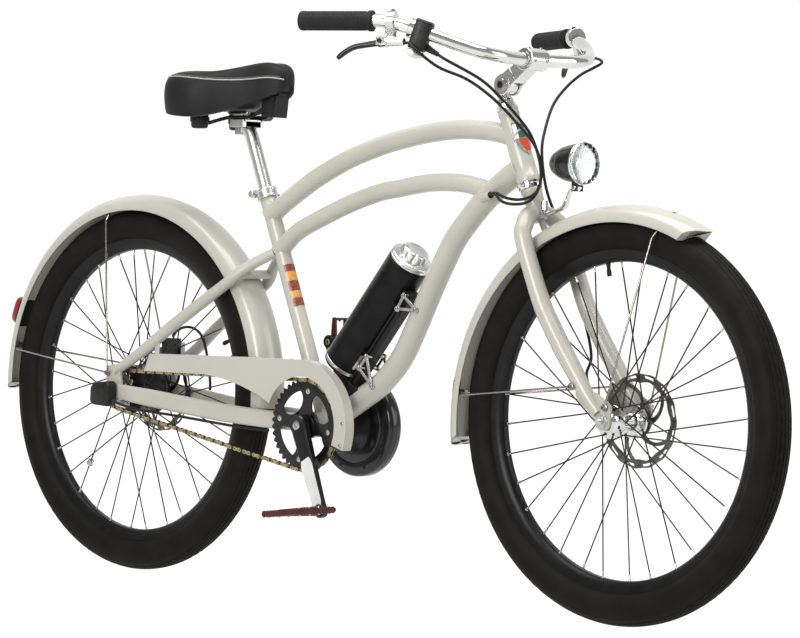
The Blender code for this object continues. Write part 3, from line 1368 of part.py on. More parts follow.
def on_grip(s, drop=0.0, side=1, across=0.0):
    """A point s along the right grip from its inner end, drop towards the lever. side -1 mirrors it."""
    p = GRIP_IN + GRIP_DIR * s + LEVER_OUT * drop + lever_hinge * across
    return Vector((p.x, p.y * side, p.z))


for side, name in ((1, "grip_right"), (-1, "grip_left")):
    stations = [
        (0.0, GRIP_R + 0.0013), (0.0075, GRIP_R), (GRIP_L - 0.0060, GRIP_R), (GRIP_L, GRIP_R - 0.0055)
    ]
    solid = tube([on_grip(s, side=side) for s, r in stations], [r for s, r in stations], 12)
    place(name, cut(solid, bar_clearance()), "rubber", tuple(PIVOT))


def lever_box(s0, s1, d0, d1, a0, a1, side):
    return skin(
        [[on_grip(s, d, side, a) for d, a in ((d0, a0), (d1, a0), (d1, a1), (d0, a1))] for s in (s0, s1)]
    )


# Brake levers in their bodies
HINGE_S, HINGE_D = -0.0173, 0.0372
CLAMP_S = -0.0330
FORK_GAP = 0.0052
for side, name in ((1, "right"), (-1, "left")):
    body = union(
        tube(
            [on_grip(CLAMP_S - 0.0070, 0.0, side), on_grip(CLAMP_S + 0.0070, 0.0, side)], BAR_R + 0.0062,
            12
        ),
        lever_box(CLAMP_S - 0.0080, CLAMP_S + 0.0080, 0.0120, 0.0300, -0.0070, 0.0070, side),
        lever_box(-0.0580, -0.0260, 0.0270, 0.0450, -0.0075, 0.0075, side),
        lever_box(-0.0300, -0.0110, 0.0290, 0.0440, -FORK_GAP - 0.0030, -FORK_GAP, side),
        lever_box(-0.0300, -0.0110, 0.0290, 0.0440, FORK_GAP, FORK_GAP + 0.0030, side),
    )
    place("brake_body_" + name, cut(body, bar_clearance()), "steel", tuple(PIVOT))
    blade = flat_bar(
        [on_grip(s, d, side) for s, d in (
            (-0.0215, 0.0372), (-0.0060, 0.0400), (0.0130, 0.0432), (0.0300, 0.0470), (0.0450, 0.0560),
            (0.0565, 0.0665),
        )],
        [FORK_GAP * 2 - 0.0010, FORK_GAP * 2 - 0.0010, 0.0105, 0.0115, 0.0110, 0.0080],
        [0.0100, 0.0100, 0.0085, 0.0080, 0.0075, 0.0080],
        up=(LEVER_OUT.x, LEVER_OUT.y * side, LEVER_OUT.z),
    )
    place("brake_lever_" + name, blade, "black_metal", tuple(on_grip(HINGE_S, HINGE_D, side)))

# Shifter on the right of the bar, with its thumb paddle below
SHIFTER_AT = 0.0850
fine_bar = smooth_line(BAR_HALF, 200)
bar_k = min(
    range(1, 199),
    key=lambda k: abs((fine_bar[k] - GRIP_IN).length - SHIFTER_AT) + (fine_bar[k].y < GRIP_IN.y)
)
bar_here = fine_bar[bar_k]
bar_dir = (fine_bar[bar_k + 1] - fine_bar[bar_k - 1]).normalized()
down_dir = (Vector((0, 0, -1)) - bar_dir * (-bar_dir.z)).normalized()
side_dir = bar_dir.cross(down_dir).normalized()


def by_bar(s, d, a=0.0):
    return bar_here + bar_dir * s + down_dir * d + side_dir * a


def bar_box(s0, s1, d0, d1, half):
    return skin(
        [
            [by_bar(s, d, a) for d, a in ((d0, -half), (d1, -half), (d1, half), (d0, half))]
            for s in (s0, s1)
        ]
    )


BOX_END = 0.0320
shifter = union(
    bar_box(-0.0170, 0.0120, -0.0200, BOX_END, 0.0155),
    tube([by_bar(0.0110, 0.0), by_bar(0.0210, 0.0)], BAR_R + 0.0060, 14),
    tube([by_bar(-0.0150, 0.0220), by_bar(-0.0400, 0.0270, 0.0020)], [0.0065, 0.0045], 8),
)
place("shifter_body", cut(shifter, bar_clearance()), "black", tuple(PIVOT))
paddle_top = BOX_END + GAP * 2
paddle = skin([
    [by_bar(s, paddle_top + d, a) for s, d in (
        (-0.0160, 0.0000), (0.0080, 0.0000), (0.0150, 0.0030), (0.0150, 0.0060), (0.0020, 0.0130),
        (-0.0060, 0.0130), (-0.0210, 0.0060),
    )]
    for a in (-0.0100, 0.0100)
])
place("shift_paddle", paddle, "steel", tuple(by_bar(-0.0060, paddle_top + 0.0030)))

# Brake hoses and shift cable, with their short tails at the rear
HOSE_R = 0.0026
port_side = Vector((-port_way.y, port_way.x, 0)).normalized()
cable_in, hose_in = port_side * 0.0027, port_side * -0.0027
cable("shift_cable", [
    by_bar(-0.0407, 0.0272, 0.0021), by_bar(-0.0560, 0.0310, 0.0040), (0.3829, -0.1400, 0.9030),
    (0.4017, -0.1100, 0.8742),
    (0.4210, -0.0750, 0.8339), (0.4290, -0.0550, 0.8046), (0.4310, -0.0380, 0.7633),
    (0.4247, -0.0300, 0.7299),
    (0.4080, -0.0300, 0.7120), (0.3780, -0.0290, 0.7050), (0.3420, -0.0240, 0.7080),
    PORT + port_way * 0.0160 + cable_in,
    PORT + port_way * 0.0020 + cable_in,
], HOSE_R)
cable("rear_brake_hose", [
    on_grip(-0.0592, 0.0400, 1, 0.0035), on_grip(-0.0700, 0.0410, 1, 0.0060),
    on_grip(-0.0820, 0.0520, 1, 0.0100),
    (0.3420, -0.2000, 0.9210), (0.3700, -0.1560, 0.9010), (0.3980, -0.1190, 0.8690),
    (0.4240, -0.0820, 0.8250),
    (0.4360, -0.0560, 0.7920), (0.4380, -0.0420, 0.7540), (0.4270, -0.0390, 0.7190),
    (0.4050, -0.0380, 0.7010),
    (0.3700, -0.0350, 0.6970), (0.3380, -0.0300, 0.7020), PORT + port_way * 0.0160 + hose_in,
    PORT + port_way * 0.0020 + hose_in,
], HOSE_R)
cable("front_brake_hose", [
    on_grip(-0.0586, 0.0360, -1), on_grip(-0.0700, 0.0360, -1), (0.3450, 0.2060, 0.9560),
    (0.3600, 0.1960, 0.9490),
    (0.3480, 0.1880, 0.9400), (0.3260, 0.1800, 0.9280), (0.3150, 0.1550, 0.9050),
    (0.3080, 0.1300, 0.8733),
    (0.3171, 0.1000, 0.8286), (0.3290, 0.0800, 0.7900), (0.3500, 0.0680, 0.7325),
    (0.3720, 0.0680, 0.6850),
    (0.3960, 0.0800, 0.6300), (0.4100, 0.0780, 0.5657), (0.4417, 0.0770, 0.4950),
    (0.4620, 0.0700, 0.4420),
    (0.4610, 0.0600, 0.4110), (0.4820, 0.0510, 0.3770), (0.5000, 0.0445, 0.3530),
    (0.5060, 0.0440, 0.3520), (0.5113, 0.0440, 0.3520),
], HOSE_R)
cable("rear_hose_tail", near(REAR, [
    (0.0362, 0.0450, 0.0996), (0.0372, 0.0450, 0.1060), (0.0462, 0.0450, 0.1120),
    (0.0632, 0.0450, 0.1190),
    (0.0854, 0.0450, 0.1200), (0.1052, 0.0450, 0.1130), (0.1182, 0.0455, 0.1000),
    (0.1252, 0.0480, 0.0780),
    (0.1272, 0.0540, 0.0450), (0.1262, 0.0590, 0.0200), (0.1257, 0.0600, 0.0032),
]), HOSE_R)
cable("shift_cable_tail", [
    (-0.2000, -0.0480, 0.2840), (-0.2600, -0.0500, 0.2855), (-0.3350, -0.0540, 0.2910),
    (-0.4300, -0.0620, 0.2990),
    (-0.5200, -0.0730, 0.3060), (-0.5600, -0.0830, 0.3140), (-0.5786, -0.0880, 0.3200),
], HOSE_R)
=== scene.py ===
from math import atan2, cos, hypot, pi, radians, sin

import bmesh
import bpy
from mathutils import Matrix, Vector


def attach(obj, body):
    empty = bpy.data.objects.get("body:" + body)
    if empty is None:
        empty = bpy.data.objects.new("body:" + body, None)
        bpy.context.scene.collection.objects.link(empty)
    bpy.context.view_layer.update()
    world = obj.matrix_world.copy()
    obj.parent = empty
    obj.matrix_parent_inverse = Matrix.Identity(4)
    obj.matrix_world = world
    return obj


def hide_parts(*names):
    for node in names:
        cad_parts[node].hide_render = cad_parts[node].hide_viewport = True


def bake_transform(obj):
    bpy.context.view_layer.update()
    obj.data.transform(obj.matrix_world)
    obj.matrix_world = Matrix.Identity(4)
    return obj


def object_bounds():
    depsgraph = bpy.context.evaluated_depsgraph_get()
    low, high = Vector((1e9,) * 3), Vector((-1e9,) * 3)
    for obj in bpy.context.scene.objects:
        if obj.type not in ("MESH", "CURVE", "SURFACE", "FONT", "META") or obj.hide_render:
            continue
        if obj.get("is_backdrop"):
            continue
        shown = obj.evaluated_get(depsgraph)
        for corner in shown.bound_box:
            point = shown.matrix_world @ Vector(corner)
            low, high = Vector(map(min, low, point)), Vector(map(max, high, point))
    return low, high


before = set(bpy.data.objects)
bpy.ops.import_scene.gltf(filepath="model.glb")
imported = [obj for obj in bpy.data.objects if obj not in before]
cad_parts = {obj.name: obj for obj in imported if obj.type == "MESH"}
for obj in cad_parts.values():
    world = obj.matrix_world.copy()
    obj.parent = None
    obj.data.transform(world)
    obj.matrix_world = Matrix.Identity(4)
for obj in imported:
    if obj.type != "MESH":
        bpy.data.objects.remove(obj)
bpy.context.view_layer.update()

# Frame of low, curved steel tubes, brazed together and powder coated a warm pale grey.
# Every tube is drawn on its own centre line and swells a little where it meets the next one.
SHIFT = 0.0163  # the drawing is made from the middle of the wheelbase
REAR = (-0.5982, 0.34)
FRONT = (0.5982, 0.34)
BB = (-0.1027, 0.2985)


def finish(name, tone, shade, metal=0.0, rough=(0.3, 0.5), grain=30.0, fine=700.0, relief=0.00004,
           coat=0.0, specular=0.5):
    """A finish whose tone drifts towards shade, with a finer grain in its gloss and its relief.
    A tone given as one number is a grey."""
    tone, shade = [(c, c, c, 1.0) if isinstance(c, float) else (*c, 1.0) for c in (tone, shade)]
    made = bpy.data.materials.new(name)
    made.use_nodes = True
    nodes, links = made.node_tree.nodes, made.node_tree.links
    shader = nodes["Principled BSDF"]
    for socket, value in (("Metallic", metal), ("Coat Weight", coat), ("Coat Roughness", 0.15),
                          ("Specular IOR Level", specular)):
        shader.inputs[socket].default_value = value
    where = nodes.new("ShaderNodeTexCoord")

    def noise(scale, detail):
        speckle = nodes.new("ShaderNodeTexNoise")
        speckle.inputs["Scale"].default_value = scale
        speckle.inputs["Detail"].default_value = detail
        links.new(where.outputs["Object"], speckle.inputs["Vector"])
        return speckle.outputs["Fac"]

    tones = nodes.new("ShaderNodeValToRGB")
    for stop, position, colour in zip(tones.color_ramp.elements, (0.34, 0.62), (shade, tone)):
        stop.position, stop.color = position, colour
    links.new(noise(grain, 5.0), tones.inputs["Fac"])
    links.new(tones.outputs["Color"], shader.inputs["Base Color"])
    speck = noise(fine, 3.0)
    gloss = nodes.new("ShaderNodeMapRange")
    for socket, value in (("From Min", 0.3), ("From Max", 0.7), ("To Min", rough[0]), ("To Max", rough[1])):
        gloss.inputs[socket].default_value = value
    links.new(speck, gloss.inputs["Value"])
    links.new(gloss.outputs["Result"], shader.inputs["Roughness"])
    bump = nodes.new("ShaderNodeBump")
    bump.inputs["Strength"].default_value = 0.6
    bump.inputs["Distance"].default_value = relief
    links.new(speck, bump.inputs["Height"])
    links.new(bump.outputs["Normal"], shader.inputs["Normal"])
    return made


def smooth_run(points, count):
    """count points on a smooth curve through points, evenly spaced by length."""
    points = [Vector(p) for p in points]
    ends = [points[0] * 2 - points[1]] + points + [points[-1] * 2 - points[-2]]
    fine = []
    for i in range(1, len(ends) - 2):
        p0, p1, p2, p3 = ends[i - 1:i + 3]
        for k in range(16):
            t = k / 16
            fine.append(0.5 * (2 * p1 + (p2 - p0) * t + (2 * p0 - 5 * p1 + 4 * p2 - p3) * t * t
                               + (3 * p1 - p0 - 3 * p2 + p3) * t * t * t))
    fine.append(points[-1])
    lengths = [0.0]
    for a, b in zip(fine, fine[1:]):
        lengths.append(lengths[-1] + (b - a).length)
    out = []
    k = 0
    for i in range(count):
        want = lengths[-1] * i / (count - 1)
        while k < len(fine) - 2 and lengths[k + 1] < want:
            k += 1
        share = (want - lengths[k]) / max(lengths[k + 1] - lengths[k], 1e-9)
        out.append(fine[k].lerp(fine[k + 1], min(max(share, 0.0), 1.0)))
    return out


def across(points, up):
    """Two directions square to the line at each point, turned as little as possible."""
    points = [Vector(p) for p in points]
    out = []
    side = None
    for i in range(len(points)):
        ahead = points[min(i + 1, len(points) - 1)] - points[max(i - 1, 0)]
        ahead.normalize()
        if side is None:
            side = Vector(up).cross(ahead).normalized()
        side = (side - ahead * side.dot(ahead)).normalized()
        out.append((side, ahead.cross(side)))
    return points, out


def skin(rings, closed=False):
    """The points and faces of a surface through rings. An open one is capped at both ends."""
    n = len(rings[0])
    points = [tuple(p) for ring in rings for p in ring]
    faces = []
    last = len(rings) if closed else len(rings) - 1
    for i in range(last):
        j = (i + 1) % len(rings)
        for k in range(n):
            m = (k + 1) % n
            faces.append((i * n + k, i * n + m, j * n + m, j * n + k))
    if not closed:
        faces.append(tuple(range(n))[::-1])
        faces.append(tuple(range((len(rings) - 1) * n, len(rings) * n)))
    return points, faces


def turns(count):
    """Angles for that many even steps round a circle."""
    return [2 * pi * k / count for k in range(count)]


def toward(t):
    """The direction at angle t in the plane of the wheels."""
    return Vector((cos(t), 0, sin(t)))


def tube(points, radii, sides=32, up=(0, 0, 1)):
    """A round bar along points. radii is one number or one a point."""
    radii = radii if isinstance(radii, (list, tuple)) else [radii] * len(points)
    points, frames = across(points, up)
    return skin([[p + r * (a * cos(t) + b * sin(t)) for t in turns(sides)]
                 for p, r, (a, b) in zip(points, radii, frames)])


def section(mid, a, b, wide, high, r, steps):
    """A rounded oblong about mid, wide and high being its half sizes along a and b."""
    return [mid + a * (sx * (wide - r) + r * cos(t)) + b * (sy * (high - r) + r * sin(t))
            for q, (sx, sy) in enumerate(((1, 1), (-1, 1), (-1, -1), (1, -1)))
            for t in [pi / 2 * (q + k / steps) for k in range(steps + 1)]]


def flat_bar(points, widths, heights, up=(0, 0, 1), corner=0.35, steps=4):
    """A bar of rounded flat section along points: width to the side, height along up."""
    points, frames = across(points, up)
    return skin([section(p, a, b, w / 2, h / 2, corner * min(w, h), steps)
                 for p, w, h, (a, b) in zip(points, widths, heights, frames)])


def on_circle(centre, r, t):
    """The point (x, z) at radius r and angle t about a centre (x, z)."""
    return centre[0] + r * cos(t), centre[1] + r * sin(t)


def on_ring(centre, r, t, y):
    x, z = on_circle(centre, r, t)
    return x, y, z


def disc(radius, y0, y1, centre, sides=40, edge=0.0005):
    """A round piece along Y with a broken edge."""
    y0, y1 = sorted((y0, y1))
    stops = ((radius - edge, y0), (radius, y0 + edge), (radius, y1 - edge), (radius - edge, y1))
    return skin([[on_ring(centre, r, t, y) for t in turns(sides)] for r, y in stops])


def turned(profile, centre, steps):
    """A ring turned about Y. profile is a loop of (radius, y)."""
    return skin([[on_ring(centre, r, t, y) for r, y in profile] for t in turns(steps)], closed=True)


def slab(outline, y0, y1):
    """An outline of (x, z) made solid from y0 to y1."""
    return skin([[(x, y0, z) for x, z in outline], [(x, y1, z) for x, z in outline]])


def block(low, high):
    """A block between two corners."""
    (x0, y0, z0), (x1, y1, z1) = low, high
    return slab([(x0, z0), (x1, z0), (x1, z1), (x0, z1)], y0, y1)


def put(obj):
    bpy.context.scene.collection.objects.link(obj)
    return obj


def piece(name, shapes, look, body, hides=(), soft=0.0, sharp=38, centre=None):
    """One visible piece from its shapes, riding on a body. It may stand for some of the CAD's solids."""
    points, faces = [], []
    for shape_points, shape_faces in shapes:
        base = len(points)
        points += [(p[0] + SHIFT, p[1], p[2]) for p in shape_points]
        faces += [tuple(base + i for i in face) for face in shape_faces]
    origin = Vector((centre[0] + SHIFT, 0, centre[1])) if centre else Vector()
    mesh = bpy.data.meshes.new(name)
    mesh.from_pydata([tuple(Vector(p) - origin) for p in points], [], faces)
    shaped = bmesh.new()
    shaped.from_mesh(mesh)
    bmesh.ops.recalc_face_normals(shaped, faces=shaped.faces)
    shaped.to_mesh(mesh)
    shaped.free()
    mesh.polygons.foreach_set("use_smooth", [True] * len(mesh.polygons))
    mesh.set_sharp_from_angle(angle=radians(sharp))
    mesh.materials.append(look)
    obj = put(bpy.data.objects.new(name, mesh))
    obj.location = origin
    if soft:
        bevel = obj.modifiers.new("edge", "BEVEL")
        bevel.width = soft
        bevel.segments = 3
        bevel.limit_method = "ANGLE"
        bevel.angle_limit = radians(35)
        bevel.harden_normals = False
    if body:
        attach(obj, body)
    if hides:
        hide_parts(*hides)
    return obj


def near(anchor, points):
    """Points given as (dx, dz) or (dx, y, dz) from an anchor (x, z)."""
    return [(anchor[0] + p[0], p[1] if len(p) == 3 else 0.0, anchor[1] + p[-1]) for p in points]


def flat_near(anchor, points):
    """Outline points (x, z) given from an anchor."""
    return [(x, z) for x, y, z in near(anchor, points)]


def head_at(z):
    """A point on the steering axis at height z."""
    return Vector((0.3674 - 0.43 * (z - 0.7477), 0, z))


def seat_at(z):
    """A point on the seat tube's axis at height z."""
    return Vector((-0.2636 - 0.4129 * (z - 0.7004), 0, z))


def other_side(points):
    """The same points on the other side of the bicycle."""
    return [(p[0], -p[1], p[2]) for p in points]


def swollen(count, radius, more):
    """A radius for each point of a tube that swells by more over the last three at both ends."""
    return [radius + more * (max(0.0, 1 - i / 3) ** 2 + max(0.0, 1 - (count - 1 - i) / 3) ** 2) for i in range(count)]


paint = finish("grey_paint", (0.322, 0.318, 0.272), (0.302, 0.298, 0.254), rough=(0.3, 0.4), grain=9.0,
               fine=1400.0, relief=0.000012, coat=0.25)
HEAD = (head_at(0.76).x, 0.76)
SEAT_HIGH = (seat_at(0.672).x, 0.672)
SEAT_LOW = (seat_at(0.608).x, 0.608)
REAR_DROP, BRIDGE_R = 0.0678, 0.3776  # inside of the dropouts; bridges between the stays, from the wheel's axle
top_line = smooth_run(near(SEAT_HIGH, [
    (-0.005, 0.0), (0.028, 0.0212), (0.0687, 0.045), (0.1192, 0.0716), (0.1941, 0.103), (0.2681, 0.125),
]) + near(HEAD, [
    (-0.2965, 0.0483), (-0.2241, 0.0603), (-0.1527, 0.066), (-0.0822, 0.063), (-0.027, 0.0533), (-0.008, 0.049),
]), 48)
mid_line = smooth_run(near(SEAT_LOW, [
    (-0.0055, 0.0), (0.0178, 0.0192), (0.0434, 0.037), (0.094, 0.0585), (0.1691, 0.0862), (0.2431, 0.1073),
]) + near(HEAD, [
    (-0.2936, -0.0368), (-0.2212, -0.0268), (-0.1496, -0.0265), (-0.1041, -0.0338), (-0.079, -0.041),
]), 44)
down_line = smooth_run(near(HEAD, [
    (-0.006, -0.001), (-0.042, -0.0225), (-0.0645, -0.0378), (-0.0895, -0.057), (-0.1215, -0.0866),
    (-0.1557, -0.1234), (-0.1783, -0.1584), (-0.2012, -0.1971),
]) + near(BB, [
    (0.24, 0.2205), (0.217, 0.1766), (0.1941, 0.1373), (0.1706, 0.1082), (0.1348, 0.0767), (0.0861, 0.0479),
    (0.0105, 0.0055),
]), 60)
chain_stay = smooth_run(near(REAR, [
    (0.0132, -REAR_DROP - 0.0034, -0.0015), (0.0532, -0.0665, -0.007), (0.1132, -0.0605, -0.0134),
    (0.2632, -0.05, -0.0284),
]) + near(BB, [(-0.1273, -0.048, 0.007), (-0.0673, -0.04, 0.004), (-0.0053, -0.025, 0.0)]), 30)
seat_stay = smooth_run(near(REAR, [
    (0.0052, -REAR_DROP - 0.0007, 0.036), (0.0462, -0.067, 0.059), (0.09, -0.065, 0.0852),
    (0.1498, -0.059, 0.1263),
]) + near(SEAT_LOW, [
    (-0.1064, -0.051, -0.0705), (-0.0794, -0.047, -0.0515), (-0.0544, -0.033, -0.03),
    (-0.0074, -0.011, -0.003),
]), 34)
dropout = flat_near(REAR, [
    (0.0222, -0.017), (0.0232, 0.0), (0.0222, 0.016), (0.0182, 0.046), (0.0022, 0.048), (-0.0158, 0.045),
    (-0.0198, 0.04), (-0.0178, 0.02), (-0.0168, 0.002), (-0.0138, -0.014), (-0.006, -0.019),
    (0.006, -0.0198), (0.016, -0.019),
])
frame_shapes = [
    tube([head_at(z) for z in (0.857, 0.856, 0.849, 0.848, 0.835, 0.8, 0.76, 0.744, 0.743, 0.7345, 0.7335)],
         [0.0178, 0.0184, 0.0184, 0.0173, 0.0175, 0.0193, 0.0197, 0.0198, 0.0206, 0.0206, 0.02], 40),
    tube([seat_at(z) for z in (0.719, 0.7182, 0.66, 0.62, 0.56, 0.35, 0.323, 0.305)],
         [0.0149, 0.0153, 0.0153, 0.0153, 0.0153, 0.0153, 0.0165, 0.0178], 36),
    tube(top_line, swollen(48, 0.0171, 0.0022), 36), tube(mid_line, swollen(44, 0.0157, 0.0022), 36),
    tube(down_line, swollen(60, 0.0205, 0.001), 40),
    disc(0.0225, -0.0372, 0.0372, BB, 40, 0.001),
    turned([(0.02, -0.0374), (0.0236, -0.0374), (0.0236, -0.033), (0.02, -0.033)], BB, 40),
    slab(dropout, -REAR_DROP - 0.005, -REAR_DROP), slab(dropout, REAR_DROP, REAR_DROP + 0.005),
    disc(0.0085, -0.044, 0.044, on_circle(REAR, BRIDGE_R, radians(36.4)), 24),
    disc(0.0085, -0.042, 0.042, on_circle(REAR, BRIDGE_R, radians(-5.2)), 24),
    block((REAR[0] + 0.0182, 0.0578, REAR[1] + 0.045), (REAR[0] + 0.0422, REAR_DROP + 0.003, REAR[1] + 0.09)),
]
widths = [0.0072, 0.0085, 0.01, 0.0112, 0.012, 0.0125, 0.013]
tall = [0.027, 0.0285, 0.03, 0.0312, 0.032, 0.0328, 0.033]
stay_w = widths + [0.013] * 17 + [0.0126, 0.0122, 0.0118, 0.0114, 0.0112, 0.011]
stay_h = tall + [0.033] * 17 + [0.0322, 0.0312, 0.0302, 0.029, 0.028, 0.027]
stay_r = [0.0085 + 0.0027 * min(1.0, i / 8) - 0.0017 * max(0.0, (i - 20) / 13) for i in range(34)]
for line in (chain_stay, other_side(chain_stay)):
    frame_shapes.append(flat_bar(line, stay_w, stay_h, corner=0.46, steps=6))
for line in (seat_stay, other_side(seat_stay)):
    frame_shapes.append(tube(line, stay_r, 28))
PORT = Vector(near(HEAD, [(-0.0556, -0.0238, -0.0477)])[0])
port_way = Vector((0.025, -0.005, 0.005)).normalized()
frame_shapes.append(tube([PORT - port_way * s for s in (0.024, 0.016, 0.006, 0.0)],
                         [0.008, 0.0072, 0.0068, 0.0064], 24))
piece("painted_frame", frame_shapes, paint, "chassis", ["frame"], sharp=50)
port_dark = finish("port_rubber", 0.0084, 0.005, rough=(0.6, 0.8), specular=0.2)
port_rings = [tube([PORT - port_way * 0.004, PORT + port_way * 0.0006], 0.0058, 20)]
piece("cable_port_grommet", port_rings, port_dark, "chassis")

# Trim on the frame: an enamelled shield on the head tube and a small two-colour transfer on the seat
# tube. Both are plain fields of colour: the plate is bent round its tube, the transfer lies on it.
enamel_green = finish("green_enamel", (0.01, 0.085, 0.042), (0.007, 0.06, 0.03), rough=(0.12, 0.2), coat=0.6)
enamel_white = finish("white_enamel", (0.8, 0.8, 0.78), (0.72, 0.72, 0.7), rough=(0.12, 0.2), coat=0.6)
enamel_red = finish("red_enamel", (0.42, 0.045, 0.018), (0.3, 0.03, 0.014), rough=(0.12, 0.2), coat=0.6)
transfer_amber = finish("amber_transfer", (0.52, 0.235, 0.04), (0.43, 0.165, 0.025), rough=(0.3, 0.4), grain=120)
transfer_red = finish("brick_transfer", (0.105, 0.013, 0.006), (0.235, 0.055, 0.013), rough=(0.3, 0.4), grain=260)
badge_silver = finish("badge_silver", (0.74, 0.74, 0.73), (0.62, 0.62, 0.61), metal=1.0, rough=(0.12, 0.24), grain=200)


def wrapped(middle, axis, facing, radius, rows, lift, thick=0.0005):
    """A thin plate bent round a tube. Each row is (along, from, to), in metres about middle."""
    axis = Vector(axis).normalized()
    facing = (Vector(facing) - axis * Vector(facing).dot(axis)).normalized()
    side = axis.cross(facing)
    rings = []
    for s, w0, w1 in rows:
        ring = []
        for out, steps in ((lift + thick, range(11)), (lift, range(10, -1, -1))):
            for k in steps:
                t = (w0 + (w1 - w0) * k / 10) / radius
                ring.append(Vector(middle) + axis * s + (facing * cos(t) + side * sin(t)) * (radius + out))
        rings.append(ring)
    return skin(rings)


head_axis = (head_at(0.8) - head_at(0.76)).normalized()
badge_face = Vector((0.98, -0.16, 0.4))
badge_mid = head_at(0.8025)


def shield(grow, s0=-1.0, s1=1.0, w0=-1.0, w1=1.0):
    """Part of a shield: flat-topped and drawn in to a point below. s runs up it and w across."""
    rows = []
    for k in range(15):
        s = s0 + (s1 - s0) * k / 14
        half = 0.0185 * grow * (1.0 - max(0.0, -s - 0.1) ** 1.8 * 1.16) * (1.0 - 0.05 * max(0.0, s))
        rows.append((0.029 * grow * s, half * w0, half * w1))
    return rows


piece("badge_plate", [wrapped(badge_mid, head_axis, badge_face, 0.0208, shield(1.0), 0.0, 0.001)], badge_silver,
      "chassis")
for name, look, field in (("white", enamel_white, shield(0.9, 0.02, 1.0, -1.0, -0.62)),
                          ("green", enamel_green, shield(0.9, 0.04, 1.0, -0.6, 1.0)),
                          ("red", enamel_red, shield(0.9, -0.92, 0.0, -0.66, 1.0))):
    piece(f"badge_{name}_field", [wrapped(badge_mid, head_axis, badge_face, 0.0208, field, 0.001)], look, "chassis")
seat_axis = (seat_at(0.6) - seat_at(0.5)).normalized()
transfer_face = Vector((0.94, -0.34, 0.1))
for k, (z, tall_half, look) in enumerate((
    (0.5735, 0.0068, transfer_red), (0.559, 0.0077, transfer_amber), (0.5415, 0.0098, transfer_red),
    (0.526, 0.0057, transfer_amber), (0.5125, 0.0078, transfer_red),
)):
    rows = [(tall_half * v, -0.0115, 0.0125) for v in (-0.98, 0.98)]
    piece(f"seat_tube_transfer_{k + 1}", [wrapped(seat_at(z), seat_axis, transfer_face, 0.01535, rows, 0.0001, 0.0004)],
          look, "chassis")

# Headset: the lower cup, turned from steel and chromed. It is pressed in under the head tube, and
# the fork's crown race turns below it.
chrome = finish("bright_chrome", (0.66, 0.66, 0.65), (0.56, 0.56, 0.55), metal=1.0, rough=(0.05, 0.11), grain=14.0,
                fine=260.0, relief=0.000004)
cup = [tube([head_at(z) for z in (0.7331, 0.7325, 0.729, 0.728, 0.725, 0.7232, 0.7228)],
            [0.0208, 0.022, 0.022, 0.0206, 0.0206, 0.0202, 0.019], 40)]
piece("headset_cup_polished", cup, chrome, "chassis", ["headset_cup"])

# Mudguards: domed steel bands with rolled edges, painted like the frame, held by wire stays.
# The rear one runs close to its tyre, and the front one stands off further towards its tail.
guard_paint = finish("guard_paint", (0.326, 0.324, 0.28), (0.306, 0.304, 0.262), rough=(0.28, 0.38), grain=7.0,
                     fine=1400.0, relief=0.000012, coat=0.3)
GUARD_HALF, GUARD_DROP = 0.037, 0.03


def guard_radius(crown, flare, angle):
    """The guard's crown radius at an angle in degrees. It flares towards the tail, from 110 on."""
    return crown + flare * max(0.0, angle - 110) / 79


def guard_band(centre, crown, flare, start, end, steps, tip):
    """The domed band. tip lengthens its crown towards the end, as on a pointed guard."""
    half = smooth_run([(GUARD_DROP, GUARD_HALF, 0), (0.0138, 0.0322, 0), (0.0036, 0.02, 0), (0.0, 0.0, 0)], 12)
    outer = [(p.x, p.y) for p in half]
    outer += [(d, -y) for d, y in outer[-2::-1]]
    wall = 0.0014
    rolled = [(GUARD_DROP + 0.0006, GUARD_HALF - 0.0006), (GUARD_DROP, GUARD_HALF - 0.0022)]
    rolled += [(d + wall * (1 - abs(y) / GUARD_HALF * 0.6), y - wall * abs(y) / GUARD_HALF) for d, y in outer[:12]]
    inner = rolled + [(d, -y) for d, y in rolled[-2::-1]]
    rings = []
    for k in range(steps + 1):
        share = k / steps
        angle = start + (end - start) * share
        ring = []
        for d, y in outer + inner[::-1]:
            r = guard_radius(crown, flare, angle) - d
            extra = tip * max(0.0, share - 0.8) / 0.2 * (1 - (y / GUARD_HALF) ** 2)
            t = radians(angle) - extra / crown - 0.015 / crown * (1 - min(1.0, share / 0.04)) * abs(y / GUARD_HALF) ** 6
            ring.append(on_ring(centre, r, t, y))
        rings.append(ring)
    return skin(rings)


REAR_CROWN, FRONT_CROWN, FRONT_FLARE = 0.3685, 0.36, 0.019
piece("rear_guard_band", [guard_band(REAR, REAR_CROWN, 0.0, 182.0, -3.0, 96, 0.0)], guard_paint, "chassis",
      ["rear_mudguard"], sharp=60)
piece("front_guard_band", [guard_band(FRONT, FRONT_CROWN, FRONT_FLARE, 189.0, 66.5, 72, 0.03)], guard_paint, "steering",
      ["front_mudguard"], sharp=60)
wire_steel = finish("stay_steel", (0.34, 0.31, 0.28), (0.24, 0.22, 0.2), metal=1.0, rough=(0.18, 0.3), grain=60.0)


def oriented(centre, axes, half):
    """A block along three directions, with its half sizes."""
    a, b, c = [Vector(v) for v in axes]
    return skin([[Vector(centre) + a * half[0] * s + b * half[1] * u + c * half[2] * v
                  for u, v in ((-1, -1), (1, -1), (1, 1), (-1, 1))] for s in (-1, 1)])


